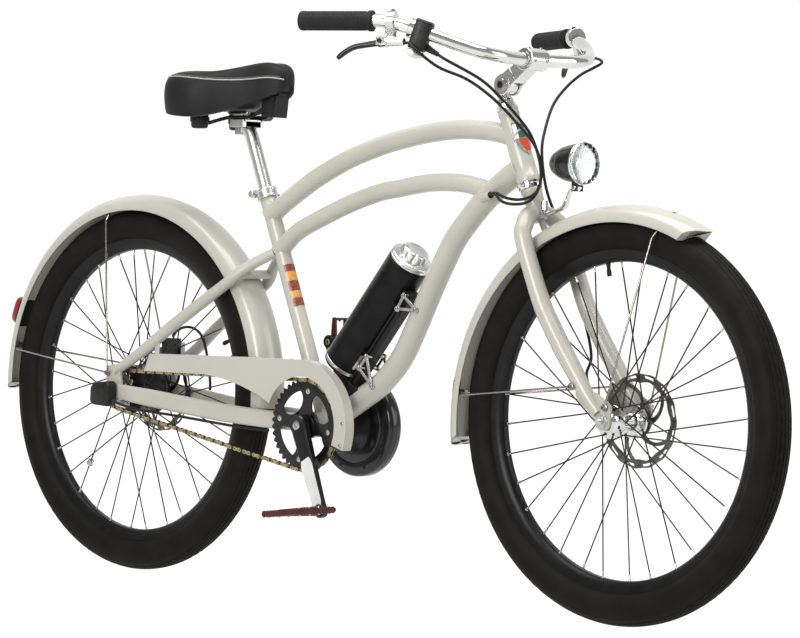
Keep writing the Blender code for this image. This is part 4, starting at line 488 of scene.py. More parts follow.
def cap_screw(at, out, radius=0.004, height=0.004):
    """A round screw head with a six-sided socket, seated at a point and pointing out."""
    out = Vector(out).normalized()
    side = out.orthogonal().normalized()
    other = out.cross(side)
    at = Vector(at)

    def ring(r, h):
        return [at + out * h + (side * cos(t) + other * sin(t)) * r for t in turns(24)]

    hexes = [at + out * height + (side * cos(pi / 3 * (k // 4)) + other * sin(pi / 3 * (k // 4))) * radius * 0.52
             for k in range(24)]
    deep = [p - out * height * 0.6 for p in hexes]
    return skin([ring(radius, -0.0005), ring(radius, height * 0.8), ring(radius * 0.86, height), hexes, deep])


def wire_stay(centre, angle, crown, foot, cross):
    """A U of wire from its eye up inside the guard, with the rivet plate that holds it."""
    t = radians(angle)
    out_way = toward(t)
    hub = Vector((centre[0], 0, centre[1]))

    def inside(d, y):
        return hub + out_way * (crown - d) + Vector((0, y, 0))

    half = [foot, inside(GUARD_DROP + 0.015, -0.042), inside(GUARD_DROP + 0.0045, -0.0342),
            inside(GUARD_DROP - 0.002, -0.03), inside(cross, -0.024)]
    whole = half[:1] + smooth_run(half[1:], 12)
    wire = tube(whole + other_side(whole)[::-1], 0.0018, 10, up=(cos(t + 1.2), 0, sin(t + 1.2)))
    along = Vector((-sin(t), 0, cos(t)))
    clip = oriented(inside(cross * 0.55 + 0.0005, 0), (out_way, along, (0, 1, 0)), (cross * 0.42, 0.005, 0.0042))
    rivet = cap_screw(inside(0.0004, 0), out_way, 0.0034, 0.0012)
    return [wire, clip, rivet]


def eye(at, inner, outer):
    """The wire's closed eye on both sides, with a screw through each."""
    shapes = []
    for side in (1, -1):
        y = side * (inner + outer) / 2
        loop = [Vector(on_ring(at, 0.0048, 2 * pi * k / 16, y)) for k in range(17)]
        shapes.append(tube(loop, 0.0016, 8, up=(0, 1, 0)))
        shapes.append(cap_screw((at[0], side * (inner + 0.0005), at[1]), (0, side, 0), 0.0042, outer - inner + 0.0015))
    return shapes


REAR_EYE = (REAR[0] - 0.0118, REAR[1] + 0.032)
LOW_EYE = (FRONT[0] - 0.056, FRONT[1] + 0.056)
TOP_EYE = (FRONT[0] + 0.006, FRONT[1] + 0.024)
rear_wires = []
for angle in (168.5, 101.5):
    rear_wires += wire_stay(REAR, angle, REAR_CROWN, (REAR_EYE[0], -0.0776, REAR_EYE[1]), 0.019)
piece("rear_guard_wires", rear_wires + eye(REAR_EYE, 0.0731, 0.0796), wire_steel, "chassis", ["rear_guard_stays"])
for name, at, inner, angle in (("low", LOW_EYE, 0.0693, 175.0), ("top", TOP_EYE, 0.0556, 74.5)):
    crown = guard_radius(FRONT_CROWN, FRONT_FLARE, angle)
    wires = wire_stay(FRONT, angle, crown, (at[0], -inner - 0.0035, at[1]), 0.0155)
    piece(f"front_guard_wire_{name}", wires + eye(at, inner, inner + 0.0065), wire_steel, "steering",
          [f"front_guard_stay_{name}"])
CLIP_ANGLE = 173
out_way = toward(radians(CLIP_ANGLE))
along = Vector((-out_way.z, 0, out_way.x))
clip_out = guard_radius(FRONT_CROWN, FRONT_FLARE, CLIP_ANGLE) - 0.0165
clip_mid = Vector((FRONT[0], -0.0275, FRONT[1])) + out_way * clip_out
clips = [oriented(clip_mid, (out_way, along, (0, 1, 0)), (0.0058, 0.01, 0.0036)),
         oriented(clip_mid - along * 0.012, (out_way, along, (0, 1, 0)), (0.0036, 0.004, 0.0042))]
piece("front_guard_clip", clips, port_dark, "steering", soft=0.0006)

# Tail light: a ribbed lens moulded in red plastic, clipped in a black rubber seat that is screwed
# to the back of the rear mudguard.
red_lens = finish("tail_red", (0.22, 0.006, 0.008), (0.14, 0.004, 0.006), rough=(0.14, 0.24),
                  grain=90.0, coat=0.3, specular=0.3)
black_rubber = finish("moulded_rubber", 0.0092, 0.0059, rough=(0.55, 0.75), grain=60.0,
                      fine=900.0, relief=0.00008, specular=0.2)
lamp_t = radians(158.5)
lamp_out = toward(lamp_t)
lamp_up = Vector((-sin(lamp_t), 0, cos(lamp_t)))


def lamp_ring(out, half_w, half_h):
    """A round-cornered loop about the lamp's middle, that far out from the mudguard."""
    mid = Vector((REAR[0], 0, REAR[1])) + lamp_out * (REAR_CROWN + out)
    ring = []
    for t in turns(40):
        sx = half_w * abs(cos(t)) ** 0.5 * (1 if cos(t) > 0 else -1)
        sz = half_h * abs(sin(t)) ** 0.5 * (1 if sin(t) > 0 else -1)
        ring.append(mid + lamp_up * sz + Vector((0, sx, 0)))
    return ring


lens_rings = [lamp_ring(0.0045, 0.018, 0.0268)]
for k in range(6):
    lens_rings.append(lamp_ring(0.0055 + 0.002 * k, 0.0183 - 0.0002 * k, 0.0272 - 0.0002 * k))
    lens_rings.append(lamp_ring(0.0063 + 0.002 * k, 0.0178 - 0.0002 * k, 0.0267 - 0.0002 * k))
lens_rings += [lamp_ring(0.0185, 0.0168, 0.0255), lamp_ring(0.0215, 0.0148, 0.0232), lamp_ring(0.0232, 0.0115, 0.0195)]
piece("tail_light_lens", [skin(lens_rings)], red_lens, "chassis", ["tail_light"], sharp=60)
seat_rings = [lamp_ring(-0.004, 0.0188, 0.0278), lamp_ring(0.004, 0.0194, 0.0284), lamp_ring(0.0056, 0.019, 0.028)]
piece("tail_light_seat", [skin(seat_rings)], black_rubber, "chassis", soft=0.0004)

# Chain guard: a pressed steel plate over the upper run of the chain, its edge turned in towards the
# wheel, painted with the frame and screwed to a tab on each stay.
GUARD_Y, ARC_R = -0.066, 0.1165
ARC = [radians(a) for a in range(90, -22, -2)]
arc_out = [on_circle(BB, ARC_R, t) for t in ARC]
arc_in = [on_circle(BB, 0.087, radians(a)) for a in range(-21, 157, 3)]
edge_line = flat_near(REAR, [(0.0932, 0.0713), (0.165, 0.0722), (0.2382, 0.073)])
edge_line += flat_near(BB, [(-0.1273, ARC_R)]) + arc_out
under_line = flat_near(BB, [(-0.1073, 0.0495), (-0.1578, 0.0649), (-0.2073, 0.0755)]) + flat_near(REAR, [
    (0.2442, 0.039), (0.0782, 0.0385)])
lip_in = []
for i, (x, z) in enumerate(edge_line):
    a, b = edge_line[max(i - 1, 0)], edge_line[min(i + 1, len(edge_line) - 1)]
    dx, dz = b[0] - a[0], b[1] - a[1]
    n = hypot(dx, dz)
    lip_in.append((x + dz / n * 0.0016, z - dx / n * 0.0016))
screw_steel = finish("screw_steel", (0.5, 0.49, 0.47), (0.34, 0.33, 0.32), metal=1.0, rough=(0.16, 0.26), grain=150.0)
guard_shapes = [slab(edge_line + lip_in[::-1], GUARD_Y, GUARD_Y + 0.021),
                slab(edge_line + arc_in + under_line, GUARD_Y - 0.0002, GUARD_Y + 0.0014)]
tab_z = BB[1] + ARC_R - 0.003
tab_x = seat_at(tab_z).x
guard_shapes.append(block((tab_x - 0.01, GUARD_Y + 0.019, tab_z - 0.002), (tab_x + 0.01, -0.0156, tab_z + 0.002)))
guard_shapes.append(block((REAR[0] + 0.108, GUARD_Y, REAR[1] + 0.065),
                          (REAR[0] + 0.12, GUARD_Y + 0.0018, REAR[1] + 0.093)))
piece("chain_guard_plate", guard_shapes, guard_paint, "chassis", ["chain_guard"], soft=0.0005)
guard_screws = [cap_screw(on_ring(BB, 0.108, radians(a), GUARD_Y - 0.0002), (0, -1, 0), 0.0034, 0.0018)
                for a in (4.0, -17.0)]
guard_screws.append(cap_screw((tab_x - 0.001, GUARD_Y + 0.02, tab_z + 0.002), (0, 0, 1), 0.0032, 0.002))
piece("chain_guard_screws", guard_screws, screw_steel, "chassis")

# Chain: brass-coloured roller chain. Pairs of waisted plates hang on pins at the pitch, the inner
# pairs closer together than the outer ones, with a roller between them.
PITCH, CHAIN_Y = 0.0127, -0.053
LINK_R, WAIST_HALF, PLATE_T = 0.0038, 0.0027, 0.001
RING_TEETH, COG_TEETH = 40, 18
RING_R, COG_R = PITCH / (2 * sin(pi / RING_TEETH)), PITCH / (2 * sin(pi / COG_TEETH))
brass = finish("chain_brass", (0.46, 0.37, 0.21), (0.3, 0.24, 0.13), metal=1.0, rough=(0.2, 0.34), grain=240.0)
# The second brass is the first one darkened: painted shade for the inner plates, rollers and pins between the outer
# plates.
painted_shade_brass = finish("painted_shade_brass", (0.125, 0.1, 0.06), (0.06, 0.048, 0.03), metal=1.0, rough=(0.26, 0.42), grain=240.0)
span_x, span_z = REAR[0] - BB[0], REAR[1] - BB[1]
span = hypot(span_x, span_z)
base_t = atan2(span_z, span_x)
lean_t = pi / 2 - atan2(RING_R - COG_R, (span ** 2 - (RING_R - COG_R) ** 2) ** 0.5)


def run_line():
    """The chain's pitch line as a closed run of points: round the ring, then round the cog."""
    out = []
    for k in range(401):
        t = base_t + lean_t + (2 * pi - 2 * lean_t) * k / 400
        out.append(Vector(on_ring(BB, RING_R, t, 0)))
    for k in range(201):
        t = base_t - lean_t + 2 * lean_t * k / 200
        out.append(Vector(on_ring(REAR, COG_R, t, 0)))
    return out + out[:1]


line = run_line()
marks = [0.0]
for a, b in zip(line, line[1:]):
    marks.append(marks[-1] + (b - a).length)
LINKS = 2 * round(marks[-1] / PITCH / 2)
pins = []
k = 0
for i in range(LINKS):
    want = marks[-1] * i / LINKS
    while marks[k + 1] < want:
        k += 1
    pins.append(line[k].lerp(line[k + 1], (want - marks[k]) / (marks[k + 1] - marks[k])))


def link_plate(a, b, y):
    """One plate of a link: an eye round each pin, and a waist between them."""
    ahead = (b - a).normalized()
    up = Vector((-ahead.z, 0, ahead.x))
    half = ahead * (b - a).length / 2
    outline = []
    for pin, first, waist in ((b, -pi / 2, 1), (a, pi / 2, -1)):
        for t in [first + pi * k / 8 for k in range(9)]:
            outline.append(pin + ahead * LINK_R * cos(t) + up * LINK_R * sin(t))
        outline.append(a + half + up * WAIST_HALF if waist > 0 else a + half - up * WAIST_HALF)
    return slab([(p.x, p.z) for p in outline], y - PLATE_T / 2, y + PLATE_T / 2)


# Inner plates, rollers and pins take the darker brass, which is painted shade.
bright_links, painted_shade_links = [], []
for i, a in enumerate(pins):
    b = pins[(i + 1) % LINKS]
    away, into = (0.0031, bright_links) if i % 2 else (0.002, painted_shade_links)
    into += [link_plate(a, b, CHAIN_Y - away), link_plate(a, b, CHAIN_Y + away)]
    painted_shade_links.append(disc(0.003, CHAIN_Y - 0.0015, CHAIN_Y + 0.0015, (a.x, a.z), 12, 0.0002))
    painted_shade_links.append(disc(0.0014, CHAIN_Y - 0.004, CHAIN_Y + 0.004, (a.x, a.z), 8, 0.0002))
piece("roller_chain", bright_links, brass, "chassis", ["chain"])
piece("chain_inner_links", painted_shade_links, painted_shade_brass, "chassis")

# Drum motor: a cast shell in two halves, gloss black, with a smooth rim, screwed together on a ring
# of screws. It hangs to the left of the crank shell and the crank axle passes through it.
motor_black = finish("motor_black", (0.0084, 0.0084, 0.0092), (0.005, 0.005, 0.0055), rough=(0.16, 0.3), grain=40.0,
                     fine=900.0, relief=0.00003, coat=0.35, specular=0.2)
MOTOR = (BB[0] + 0.0247, BB[1] - 0.0015)
motor_stops = [(0.05, 0.0375), (0.05, 0.045), (0.064, 0.046), (0.0652, 0.0464), (0.067, 0.049), (0.07, 0.0478),
               (0.085, 0.0482), (0.089, 0.05), (0.0912, 0.054)]
motor_stops += [(0.0919, 0.056), (0.0919, 0.063), (0.0913, 0.0634), (0.0913, 0.065), (0.0919, 0.0654)]
motor_stops += [(0.0915, 0.0735), (0.09, 0.0765), (0.086, 0.0798), (0.076, 0.08), (0.0735, 0.0788), (0.048, 0.0786),
                (0.046, 0.0798), (0.03, 0.08)]
motor_shell = skin([[on_ring(MOTOR, r, t, y) for t in turns(96)] for r, y in motor_stops])
piece("motor_shell", [motor_shell], motor_black, "chassis", ["motor_housing"], centre=MOTOR)
motor_screws = []
for k in range(8):
    x, z = on_circle(MOTOR, 0.079, radians(20 + 45 * k))
    motor_screws.append(cap_screw((x, 0.0484, z), (0, -1, 0), 0.0033, 0.002))
    motor_screws.append(cap_screw((x, 0.0798, z), (0, 1, 0), 0.0033, 0.0002))
piece("motor_screws", motor_screws, motor_black, "chassis")

# Battery: an extruded black tube with a turned base ring, a short bright strip and a cast end cap with
# a scalloped knob. It slides on a rail that two pairs of open triangular plates bolt to the down tube.
battery_black = finish("anodised_black", (0.0076, 0.0076, 0.0084), (0.0046, 0.0046, 0.005), metal=0.5,
                       rough=(0.22, 0.34), grain=30.0, fine=1100.0, relief=0.00002, specular=0.2)
cast_silver = finish("cast_silver", (0.62, 0.62, 0.6), (0.5, 0.5, 0.48), metal=1.0, rough=(0.24, 0.36), grain=50.0,
                     fine=800.0, relief=0.00003)
battery_up = Vector((0.6402, 0, 0.7682)).normalized()
battery_out = Vector((battery_up.z, 0, -battery_up.x))
battery_foot = Vector((BB[0] + 0.0419, 0, BB[1] + 0.107))


def on_battery(s, off=0.0, y=0.0):
    """A point s up the battery's axis, off in front of it, and y to the side."""
    return battery_foot + battery_up * s + battery_out * off + Vector((0, y, 0))


def turned_on(place, stops, sides, up=(0, 0, 1)):
    """A round piece on a line. stops are (where on it, radius), and place gives the point of each."""
    return tube([place(s) for s, r in stops], [r for s, r in stops], sides, up)


CAN_R, CAN_L = 0.039, 0.247
can_stops = [(0.0, -0.004), (0.0008, -0.002), (0.003, 0.0), (CAN_L - 0.004, 0.0), (CAN_L - 0.0034, -0.0006),
             (CAN_L - 0.0014, -0.0006), (CAN_L - 0.0008, 0.0), (CAN_L, -0.001)]
piece("battery_tube", [turned_on(on_battery, [(s, CAN_R + r) for s, r in can_stops], 64, (0, 1, 0))],
      battery_black, "battery", ["battery_can"])
base = [(0.006, 0.0004), (0.0066, 0.001), (0.012, 0.001), (0.0126, 0.0004)]
strip_rings = []
for k in range(9):
    t = 1.13 + 0.022 * (k - 4)
    out = battery_out * sin(t) + Vector((0, -cos(t), 0))
    strip_rings.append([on_battery(s) + out * (CAN_R + d) for s, d in (
        (0.024, -0.0004), (0.024, 0.0008), (0.056, 0.0008), (0.056, -0.0004))])
piece("battery_base_ring", [turned_on(on_battery, [(s, CAN_R + r) for s, r in base], 64, (0, 1, 0)),
                            skin(strip_rings)], cast_silver, "battery")
cap_rings = []
for s, r, wave in ((0.0003, 0.0382, 0), (0.001, 0.0388, 0), (0.0036, 0.0388, 0), (0.0042, 0.038, 0), (0.005, 0.038, 0),
                   (0.0056, 0.0387, 0), (0.0082, 0.0387, 0), (0.0092, 0.0378, 0), (0.0104, 0.034, 0),
                   (0.0112, 0.0275, 0), (0.0116, 0.0268, 0.5), (0.014, 0.0266, 1.0), (0.02, 0.0262, 1.0),
                   (0.0232, 0.0254, 1.0), (0.0254, 0.0236, 0.7), (0.0268, 0.0206, 0.1), (0.0276, 0.0176, 0),
                   (0.027, 0.0156, 0), (0.0268, 0.005, 0)):
    ring = []
    for t in turns(128):
        rr = r - 0.0034 * wave * max(0.0, cos(8 * t)) ** 1.5
        ring.append(on_battery(CAN_L + s) + (battery_out * cos(t) + Vector((0, 1, 0)) * sin(t)) * rr)
    cap_rings.append(ring)
piece("battery_end_cap", [skin(cap_rings)], cast_silver, "battery", ["battery_cap"], sharp=50)
cradle_black = finish("cradle_black", 0.0092, 0.0059, rough=(0.38, 0.55), grain=70.0,
                      fine=1000.0, relief=0.00006, specular=0.2)


def battery_slab(corners, y0, y1):
    return skin([[on_battery(s, m, y) for s, m in corners] for y in (y0, y1)])


rail_shapes = [
    battery_slab([(-0.008, 0.0375), (0.212, 0.0375), (0.212, 0.052), (-0.008, 0.052)], -0.0105, 0.0105),
    *[battery_slab([(-0.008, 0.038), (0.21, 0.038), (0.21, 0.042), (-0.008, 0.042)], *lip)
      for lip in ((-0.015, -0.0095), (0.0095, 0.015))],
    battery_slab([(-0.0003, -0.02), (-0.0003, 0.049), (0.01, 0.09), (-0.021, 0.064), (-0.013, 0.0)],
                 -0.0175, 0.0175),
]
piece("battery_rail", rail_shapes, cradle_black, "chassis", ["battery_cradle"], soft=0.0012)
LOBE_R, BAR_HALF = 0.0054, 0.0027


def link_frame(corners, y0, y1):
    """An open triangular plate: three round lobes joined by three bars."""
    shapes = []
    for i, (s, m) in enumerate(corners):
        lobe = [on_circle((s, m), LOBE_R, t) for t in turns(24)]
        far_s, far_m = corners[(i + 1) % 3]
        reach = hypot(far_s - s, far_m - m)
        up_s, up_m = -(far_m - m) / reach * BAR_HALF, (far_s - s) / reach * BAR_HALF
        bar = [(s + up_s, m + up_m), (far_s + up_s, far_m + up_m), (far_s - up_s, far_m - up_m), (s - up_s, m - up_m)]
        shapes.append(skin([[on_battery(u, v, y) for u, v in lobe] for y in (y0, y1)]))
        shapes.append(skin([[on_battery(u, v, y) for u, v in bar] for y in (y0 * 1.008, y1 * 0.992)]))
    return shapes


link_shapes, link_bolts = [], []
for corners in (((0.2064, 0.045), (0.1786, 0.048), (0.2063, 0.083)),
                ((0.0656, 0.048), (0.0389, 0.048), (0.0352, 0.0927))):
    for side in (1, -1):
        link_shapes += link_frame(corners, side * 0.0209, side * 0.0239)
        link_bolts += [cap_screw(on_battery(s, m, side * 0.0238), (0, side, 0), 0.0036, 0.0026) for s, m in corners]
    for s, m in corners[:2]:
        pin = on_battery(s, m)
        link_bolts.append(disc(0.0034, -0.0225, 0.0225, (pin.x, pin.z), 20))
piece("battery_link_plates", link_shapes, screw_steel, "chassis", soft=0.0004)
piece("battery_link_bolts", link_bolts, screw_steel, "chassis")

# Seat collar: a turned aluminium band split at the back, drawn tight by a skewer, its cam lever
# black and lying forward along the left of the tube.
brushed = finish("turned_aluminium", (0.6, 0.6, 0.59), (0.5, 0.5, 0.49), metal=1.0, rough=(0.2, 0.32), grain=20.0,
                 fine=900.0, relief=0.00002)
COLLAR_Z = 0.7105
COLLAR = (seat_at(COLLAR_Z).x - 0.026, COLLAR_Z)
collar_shapes = [tube([seat_at(COLLAR_Z + d) for d in (-0.008, -0.0075, -0.005, -0.0045, 0.0045, 0.005, 0.0075, 0.008)],
                      [0.019, 0.0195, 0.0195, 0.019, 0.019, 0.0195, 0.0195, 0.019], 48)]
for side in (1, -1):
    y0, y1 = sorted((side * 0.0012, side * 0.0085))
    collar_shapes.append(block((COLLAR[0] - 0.006, y0, COLLAR_Z - 0.007), (COLLAR[0] + 0.011, y1, COLLAR_Z + 0.007)))
collar_shapes.append(disc(0.0065, -0.018, -0.0085, COLLAR, 28, 0.001))
piece("seat_collar_band", collar_shapes, brushed, "chassis", ["seat_collar"], soft=0.0005)
lever_black = finish("lever_black", (0.0076, 0.0076, 0.008), 0.005, metal=0.3, rough=(0.26, 0.38),
                     grain=50.0, fine=900.0, relief=0.00003, coat=0.2, specular=0.2)
CAM_Y = 0.016
qr_line = smooth_run(near(COLLAR, [(0.0, 0.019, 0.0), (0.01, 0.024, -0.0012), (0.02, 0.0268, -0.0035),
                                   (0.035, 0.0285, -0.0075), (0.048, 0.029, -0.011)]), 14)
qr_shapes = [
    tube([(COLLAR[0], CAM_Y, COLLAR_Z + d) for d in (-0.006, -0.0052, 0.0052, 0.006)], [0.0062, 0.0072, 0.0072, 0.0062],
         32, up=(1, 0, 0)),
    flat_bar(qr_line, [0.0045] * 6 + [0.0042] * 4 + [0.0038] * 3 + [0.003],
             [0.0105, 0.011, 0.0113, 0.0116, 0.0119, 0.0122, 0.0125, 0.0128, 0.013, 0.013, 0.0128, 0.0122, 0.011,
              0.0085]),
]
piece("seat_release_lever", qr_shapes, lever_black, "seat_qr", ["seat_qr_lever"])

# Seat post: brushed aluminium tube with a forged head. Two jaws hold the saddle's rails, drawn
# together by one bolt, and a nut block sits under the back of the head.
SEAT_TOP_Z, RAIL_Z = 0.719, 0.851
CLAMP = (seat_at(RAIL_Z).x + 0.005, RAIL_Z)
RAIL_SIDE, RAIL_R = 0.0215, 0.0034
post_line = [seat_at(z) for z in (SEAT_TOP_Z - 0.154, SEAT_TOP_Z - 0.1, SEAT_TOP_Z, RAIL_Z - 0.04, RAIL_Z - 0.032)]
post_line += smooth_run([post_line[-1], Vector((CLAMP[0] - 0.001, 0, RAIL_Z - 0.02)),
                         (CLAMP[0] - 0.004, 0, RAIL_Z - 0.011)], 6)[1:]
post_shapes = [tube(post_line, [0.0127] * 5 + [0.0129, 0.0131, 0.0133, 0.0133, 0.013], 40)]


def jaw(low, high, channel, down):
    """A jaw across both rails, hollowed along each of them."""
    shapes = []
    for y0, y1 in ((-RAIL_SIDE - 0.0046, -RAIL_SIDE - RAIL_R * 0.6),
                   (-RAIL_SIDE + RAIL_R * 0.6, RAIL_SIDE - RAIL_R * 0.6),
                   (RAIL_SIDE + RAIL_R * 0.6, RAIL_SIDE + 0.0046)):
        shapes.append(block((low[0], y0, low[1]), (high[0], y1, high[1])))
    zs = (low[1], high[1] - channel) if down else (low[1] + channel, high[1])
    shapes.append(block((low[0], -RAIL_SIDE - 0.004, zs[0]), (high[0], RAIL_SIDE + 0.004, zs[1])))
    return shapes


post_shapes += jaw((CLAMP[0] - 0.023, RAIL_Z - 0.018), (CLAMP[0] + 0.012, RAIL_Z - RAIL_R - 0.0003), 0.003, True)
post_shapes += jaw((CLAMP[0] - 0.018, RAIL_Z + RAIL_R + 0.0003), (CLAMP[0] + 0.009, RAIL_Z + RAIL_R + 0.004),
                   0.001, False)
post_shapes.append(block((CLAMP[0] - 0.029, -0.008, RAIL_Z - 0.031), (CLAMP[0] - 0.011, 0.008, RAIL_Z - 0.017)))
piece("seat_post_and_head", post_shapes, brushed, "seat", ["seatpost"], soft=0.0008)
bolt_x = CLAMP[0] - 0.004
piece("seat_clamp_bolt", [tube([(bolt_x, 0, RAIL_Z - 0.015), (bolt_x, 0, RAIL_Z + 0.006)], 0.0042, 24, up=(1, 0, 0)),
                          cap_screw((bolt_x, 0, RAIL_Z + RAIL_R + 0.0036), (0, 0, 1), 0.0055, 0.003)],
      screw_steel, "seat")

# Saddle: black leathercloth over foam, drawn down round a moulded base with rubber bumpers at the
# back, on a bent wire rail. A welt is sewn round the side where top and skirt panels meet.
leather = finish("black_leathercloth", 0.008, 0.005, rough=(0.44, 0.64), grain=12.0,
                 fine=520.0, relief=0.00022, specular=0.16)
SADDLE = [
    (-0.135, 0.064, 0.07, 0.023, 0.0335), (-0.129, 0.09, 0.0765, 0.0115, 0.025),
    (-0.119, 0.103, 0.081, 0.006, 0.02), (-0.099, 0.1115, 0.0842, 0.0015, 0.0195),
    (-0.074, 0.1125, 0.0845, -0.001, 0.0195), (-0.049, 0.106, 0.084, -0.0015, 0.0195),
    (-0.029, 0.093, 0.085, 0.0015, 0.02), (-0.009, 0.076, 0.088, 0.0075, 0.021),
    (0.011, 0.06, 0.092, 0.0145, 0.0235), (0.031, 0.0465, 0.096, 0.0215, 0.028),
    (0.051, 0.038, 0.099, 0.0275, 0.033), (0.07, 0.0325, 0.099, 0.0335, 0.0385),
    (0.086, 0.0265, 0.095, 0.0395, 0.0435), (0.098, 0.019, 0.086, 0.0465, 0.0495),
    (0.1045, 0.0095, 0.076, 0.056, 0.058),
]


def between(rows, per):
    """Rows of numbers with smooth rows put between them."""
    out = []
    for i in range(len(rows) - 1):
        p0, p1, p2, p3 = rows[max(i - 1, 0)], rows[i], rows[i + 1], rows[min(i + 2, len(rows) - 1)]
        for k in range(per):
            t = k / per
            out.append(tuple(0.5 * (2 * b + (c - a) * t + (2 * a - 5 * b + 4 * c - d) * t * t
                                    + (3 * b - a - 3 * c + d) * t ** 3) for a, b, c, d in zip(p0, p1, p2, p3)))
    return out + [rows[-1]]


stations = between(SADDLE, 5)


def saddle_half(w, top, low, inside):
    """Half of the section: crown with a shallow channel, side, and skirt round the hollow."""
    tall = top - low
    lip = min(0.012, 0.3 * w)
    dip = 0.004 * min(1.0, w / 0.08)
    key = [(0.0, top - dip, 0), (0.28 * w, top - 0.2 * dip, 0), (0.58 * w, top - 0.01 * tall, 0),
           (0.84 * w, top - 0.08 * tall, 0), (0.96 * w, top - 0.24 * tall, 0), (w, top - 0.5 * tall, 0),
           (0.985 * w, top - 0.8 * tall, 0), (0.95 * w, low, 0)]
    run = [(p.x, p.y) for p in smooth_run(key, 30)]
    return run + [(0.95 * w - lip * 0.5, low - 0.0004), (0.95 * w - lip, low),
                  (0.95 * w - 1.35 * lip, inside), (0.0, inside)]


cover_rings, welt = [], []
for x, w, top, low, inside in stations:
    half = saddle_half(w, top, low, inside)
    ring = [(CLAMP[0] + x, y, RAIL_Z + z) for y, z in half]
    ring += [(CLAMP[0] + x, -y, RAIL_Z + z) for y, z in half[-2:0:-1]]
    cover_rings.append(ring)
    welt.append((CLAMP[0] + x, half[17][0] + 0.0002, RAIL_Z + half[17][1]))
cover = piece("saddle_cushion", [skin(cover_rings)], leather, "seat", ["saddle_cover"], sharp=62)
thread = finish("welt_thread", (0.3, 0.3, 0.29), (0.2, 0.2, 0.19), rough=(0.5, 0.7), grain=300.0, fine=1200.0,
                relief=0.0001)
welt_line = smooth_run(welt[2:-2], 150)
welt_shapes = [tube(welt_line, 0.0012, 8), tube(other_side(welt_line), 0.0012, 8)]
for k in range(4, 146, 2):
    a = welt_line[k] + Vector((0, -0.0006, 0.0032))
    b = welt_line[k].lerp(welt_line[k + 1], 0.75) + Vector((0, -0.0006, 0.0032))
    for end in (a, b), other_side((a, b)):
        welt_shapes.append(tube([end[0], end[1]], 0.0005, 6))
piece("saddle_welt", welt_shapes, thread, "seat")
shell_rings = []
for x, w, top, low, inside in stations[5:-9]:
    half = 0.95 * w - 1.35 * min(0.012, 0.3 * w) - 0.003
    z = RAIL_Z + inside - 0.0008
    shell_rings.append([(CLAMP[0] + x, y, z - t) for y, t in (
        (-half, 0.004), (-half * 0.6, 0.005), (half * 0.6, 0.005), (half, 0.004), (half, 0.0), (-half, 0.0))])
base_shapes = [skin(shell_rings)]
for side in (1, -1):
    bumper = near(CLAMP, [(-0.081, 0.048 * side, z) for z in (0.017, 0.01, 0.008, 0.001, -0.001, -0.008, -0.01,
                                                               -0.017, -0.02, -0.021)])
    base_shapes.append(tube(bumper, [0.017, 0.0178, 0.016, 0.016, 0.018, 0.018, 0.016, 0.0158, 0.014, 0.011], 32,
                            up=(1, 0, 0)))
    cheek = flat_near(CLAMP, [(0.05, 0.029), (0.05, 0.001), (0.065, -0.0004), (0.079, -0.001), (0.083, 0.015),
                              (0.086, 0.03), (0.086, 0.039)])
    base_shapes.append(slab(cheek, side * 0.0142, side * 0.0172))
nose = flat_near(CLAMP, [(0.079, -0.001), (0.082, -0.001), (0.086, 0.03), (0.086, 0.039), (0.083, 0.038),
                         (0.083, 0.03)])
base_shapes.append(slab(nose, -0.0172, 0.0172))
piece("saddle_base", base_shapes, cradle_black, "seat", ["saddle_shell"], soft=0.0007)
rail_black = finish("rail_black", (0.0105, 0.0105, 0.0113), (0.0067, 0.0067, 0.0071), metal=0.5, rough=(0.25, 0.4),
                    grain=60.0, specular=0.2)
rail_half = near(CLAMP, [
    (-0.06, -0.0455, -0.0112), (-0.043, -0.0345, -0.005), (-0.029, -RAIL_SIDE - 0.0025, -0.0003),
    (-0.02, -RAIL_SIDE, 0.0), (0.015, -RAIL_SIDE, 0.0), (0.032, -0.0185, 0.004), (0.042, -0.013, 0.011),
    (0.052, -0.01, 0.0185), (0.064, -0.008, 0.0245), (0.069, 0.0, 0.026),
])
rail_run = smooth_run(rail_half + other_side(rail_half[:-1])[::-1], 90)
piece("saddle_wire", [tube(rail_run, RAIL_R, 20, up=(0, 1, 0))], rail_black, "seat", ["saddle_rails"])

# Crank set: a steel axle, black forged arms with a plain bright plate let into the right one, and a
# toothed ring bolted to a four-armed spider behind the right arm.
arm_black = finish("forged_black", (0.0084, 0.0084, 0.0088), (0.0055, 0.0055, 0.0059), metal=0.4, rough=(0.24, 0.36),
                   grain=45.0, fine=1000.0, relief=0.00003, coat=0.3, specular=0.2)
CRANK_L, ARM_W, ARM_T = 0.17, 0.0405, 0.017
crank_dir = toward(radians(-59.0))
crank_side = Vector((-crank_dir.z, 0, crank_dir.x))
ROOT_HALF, EYE_HALF = ARM_T / 2 + 0.0003, ARM_T * 0.39
crank_base = Vector((BB[0], 0, BB[1]))
axle_steel = finish("axle_steel", (0.58, 0.57, 0.55), (0.46, 0.45, 0.43), metal=1.0, rough=(0.2, 0.32), grain=90.0)
piece("crank_spindle", [disc(0.0085, -0.0555, 0.0844, BB, 32), disc(0.012, 0.0806, 0.084, BB, 32)], axle_steel, "crank",
      ["crank_axle"])


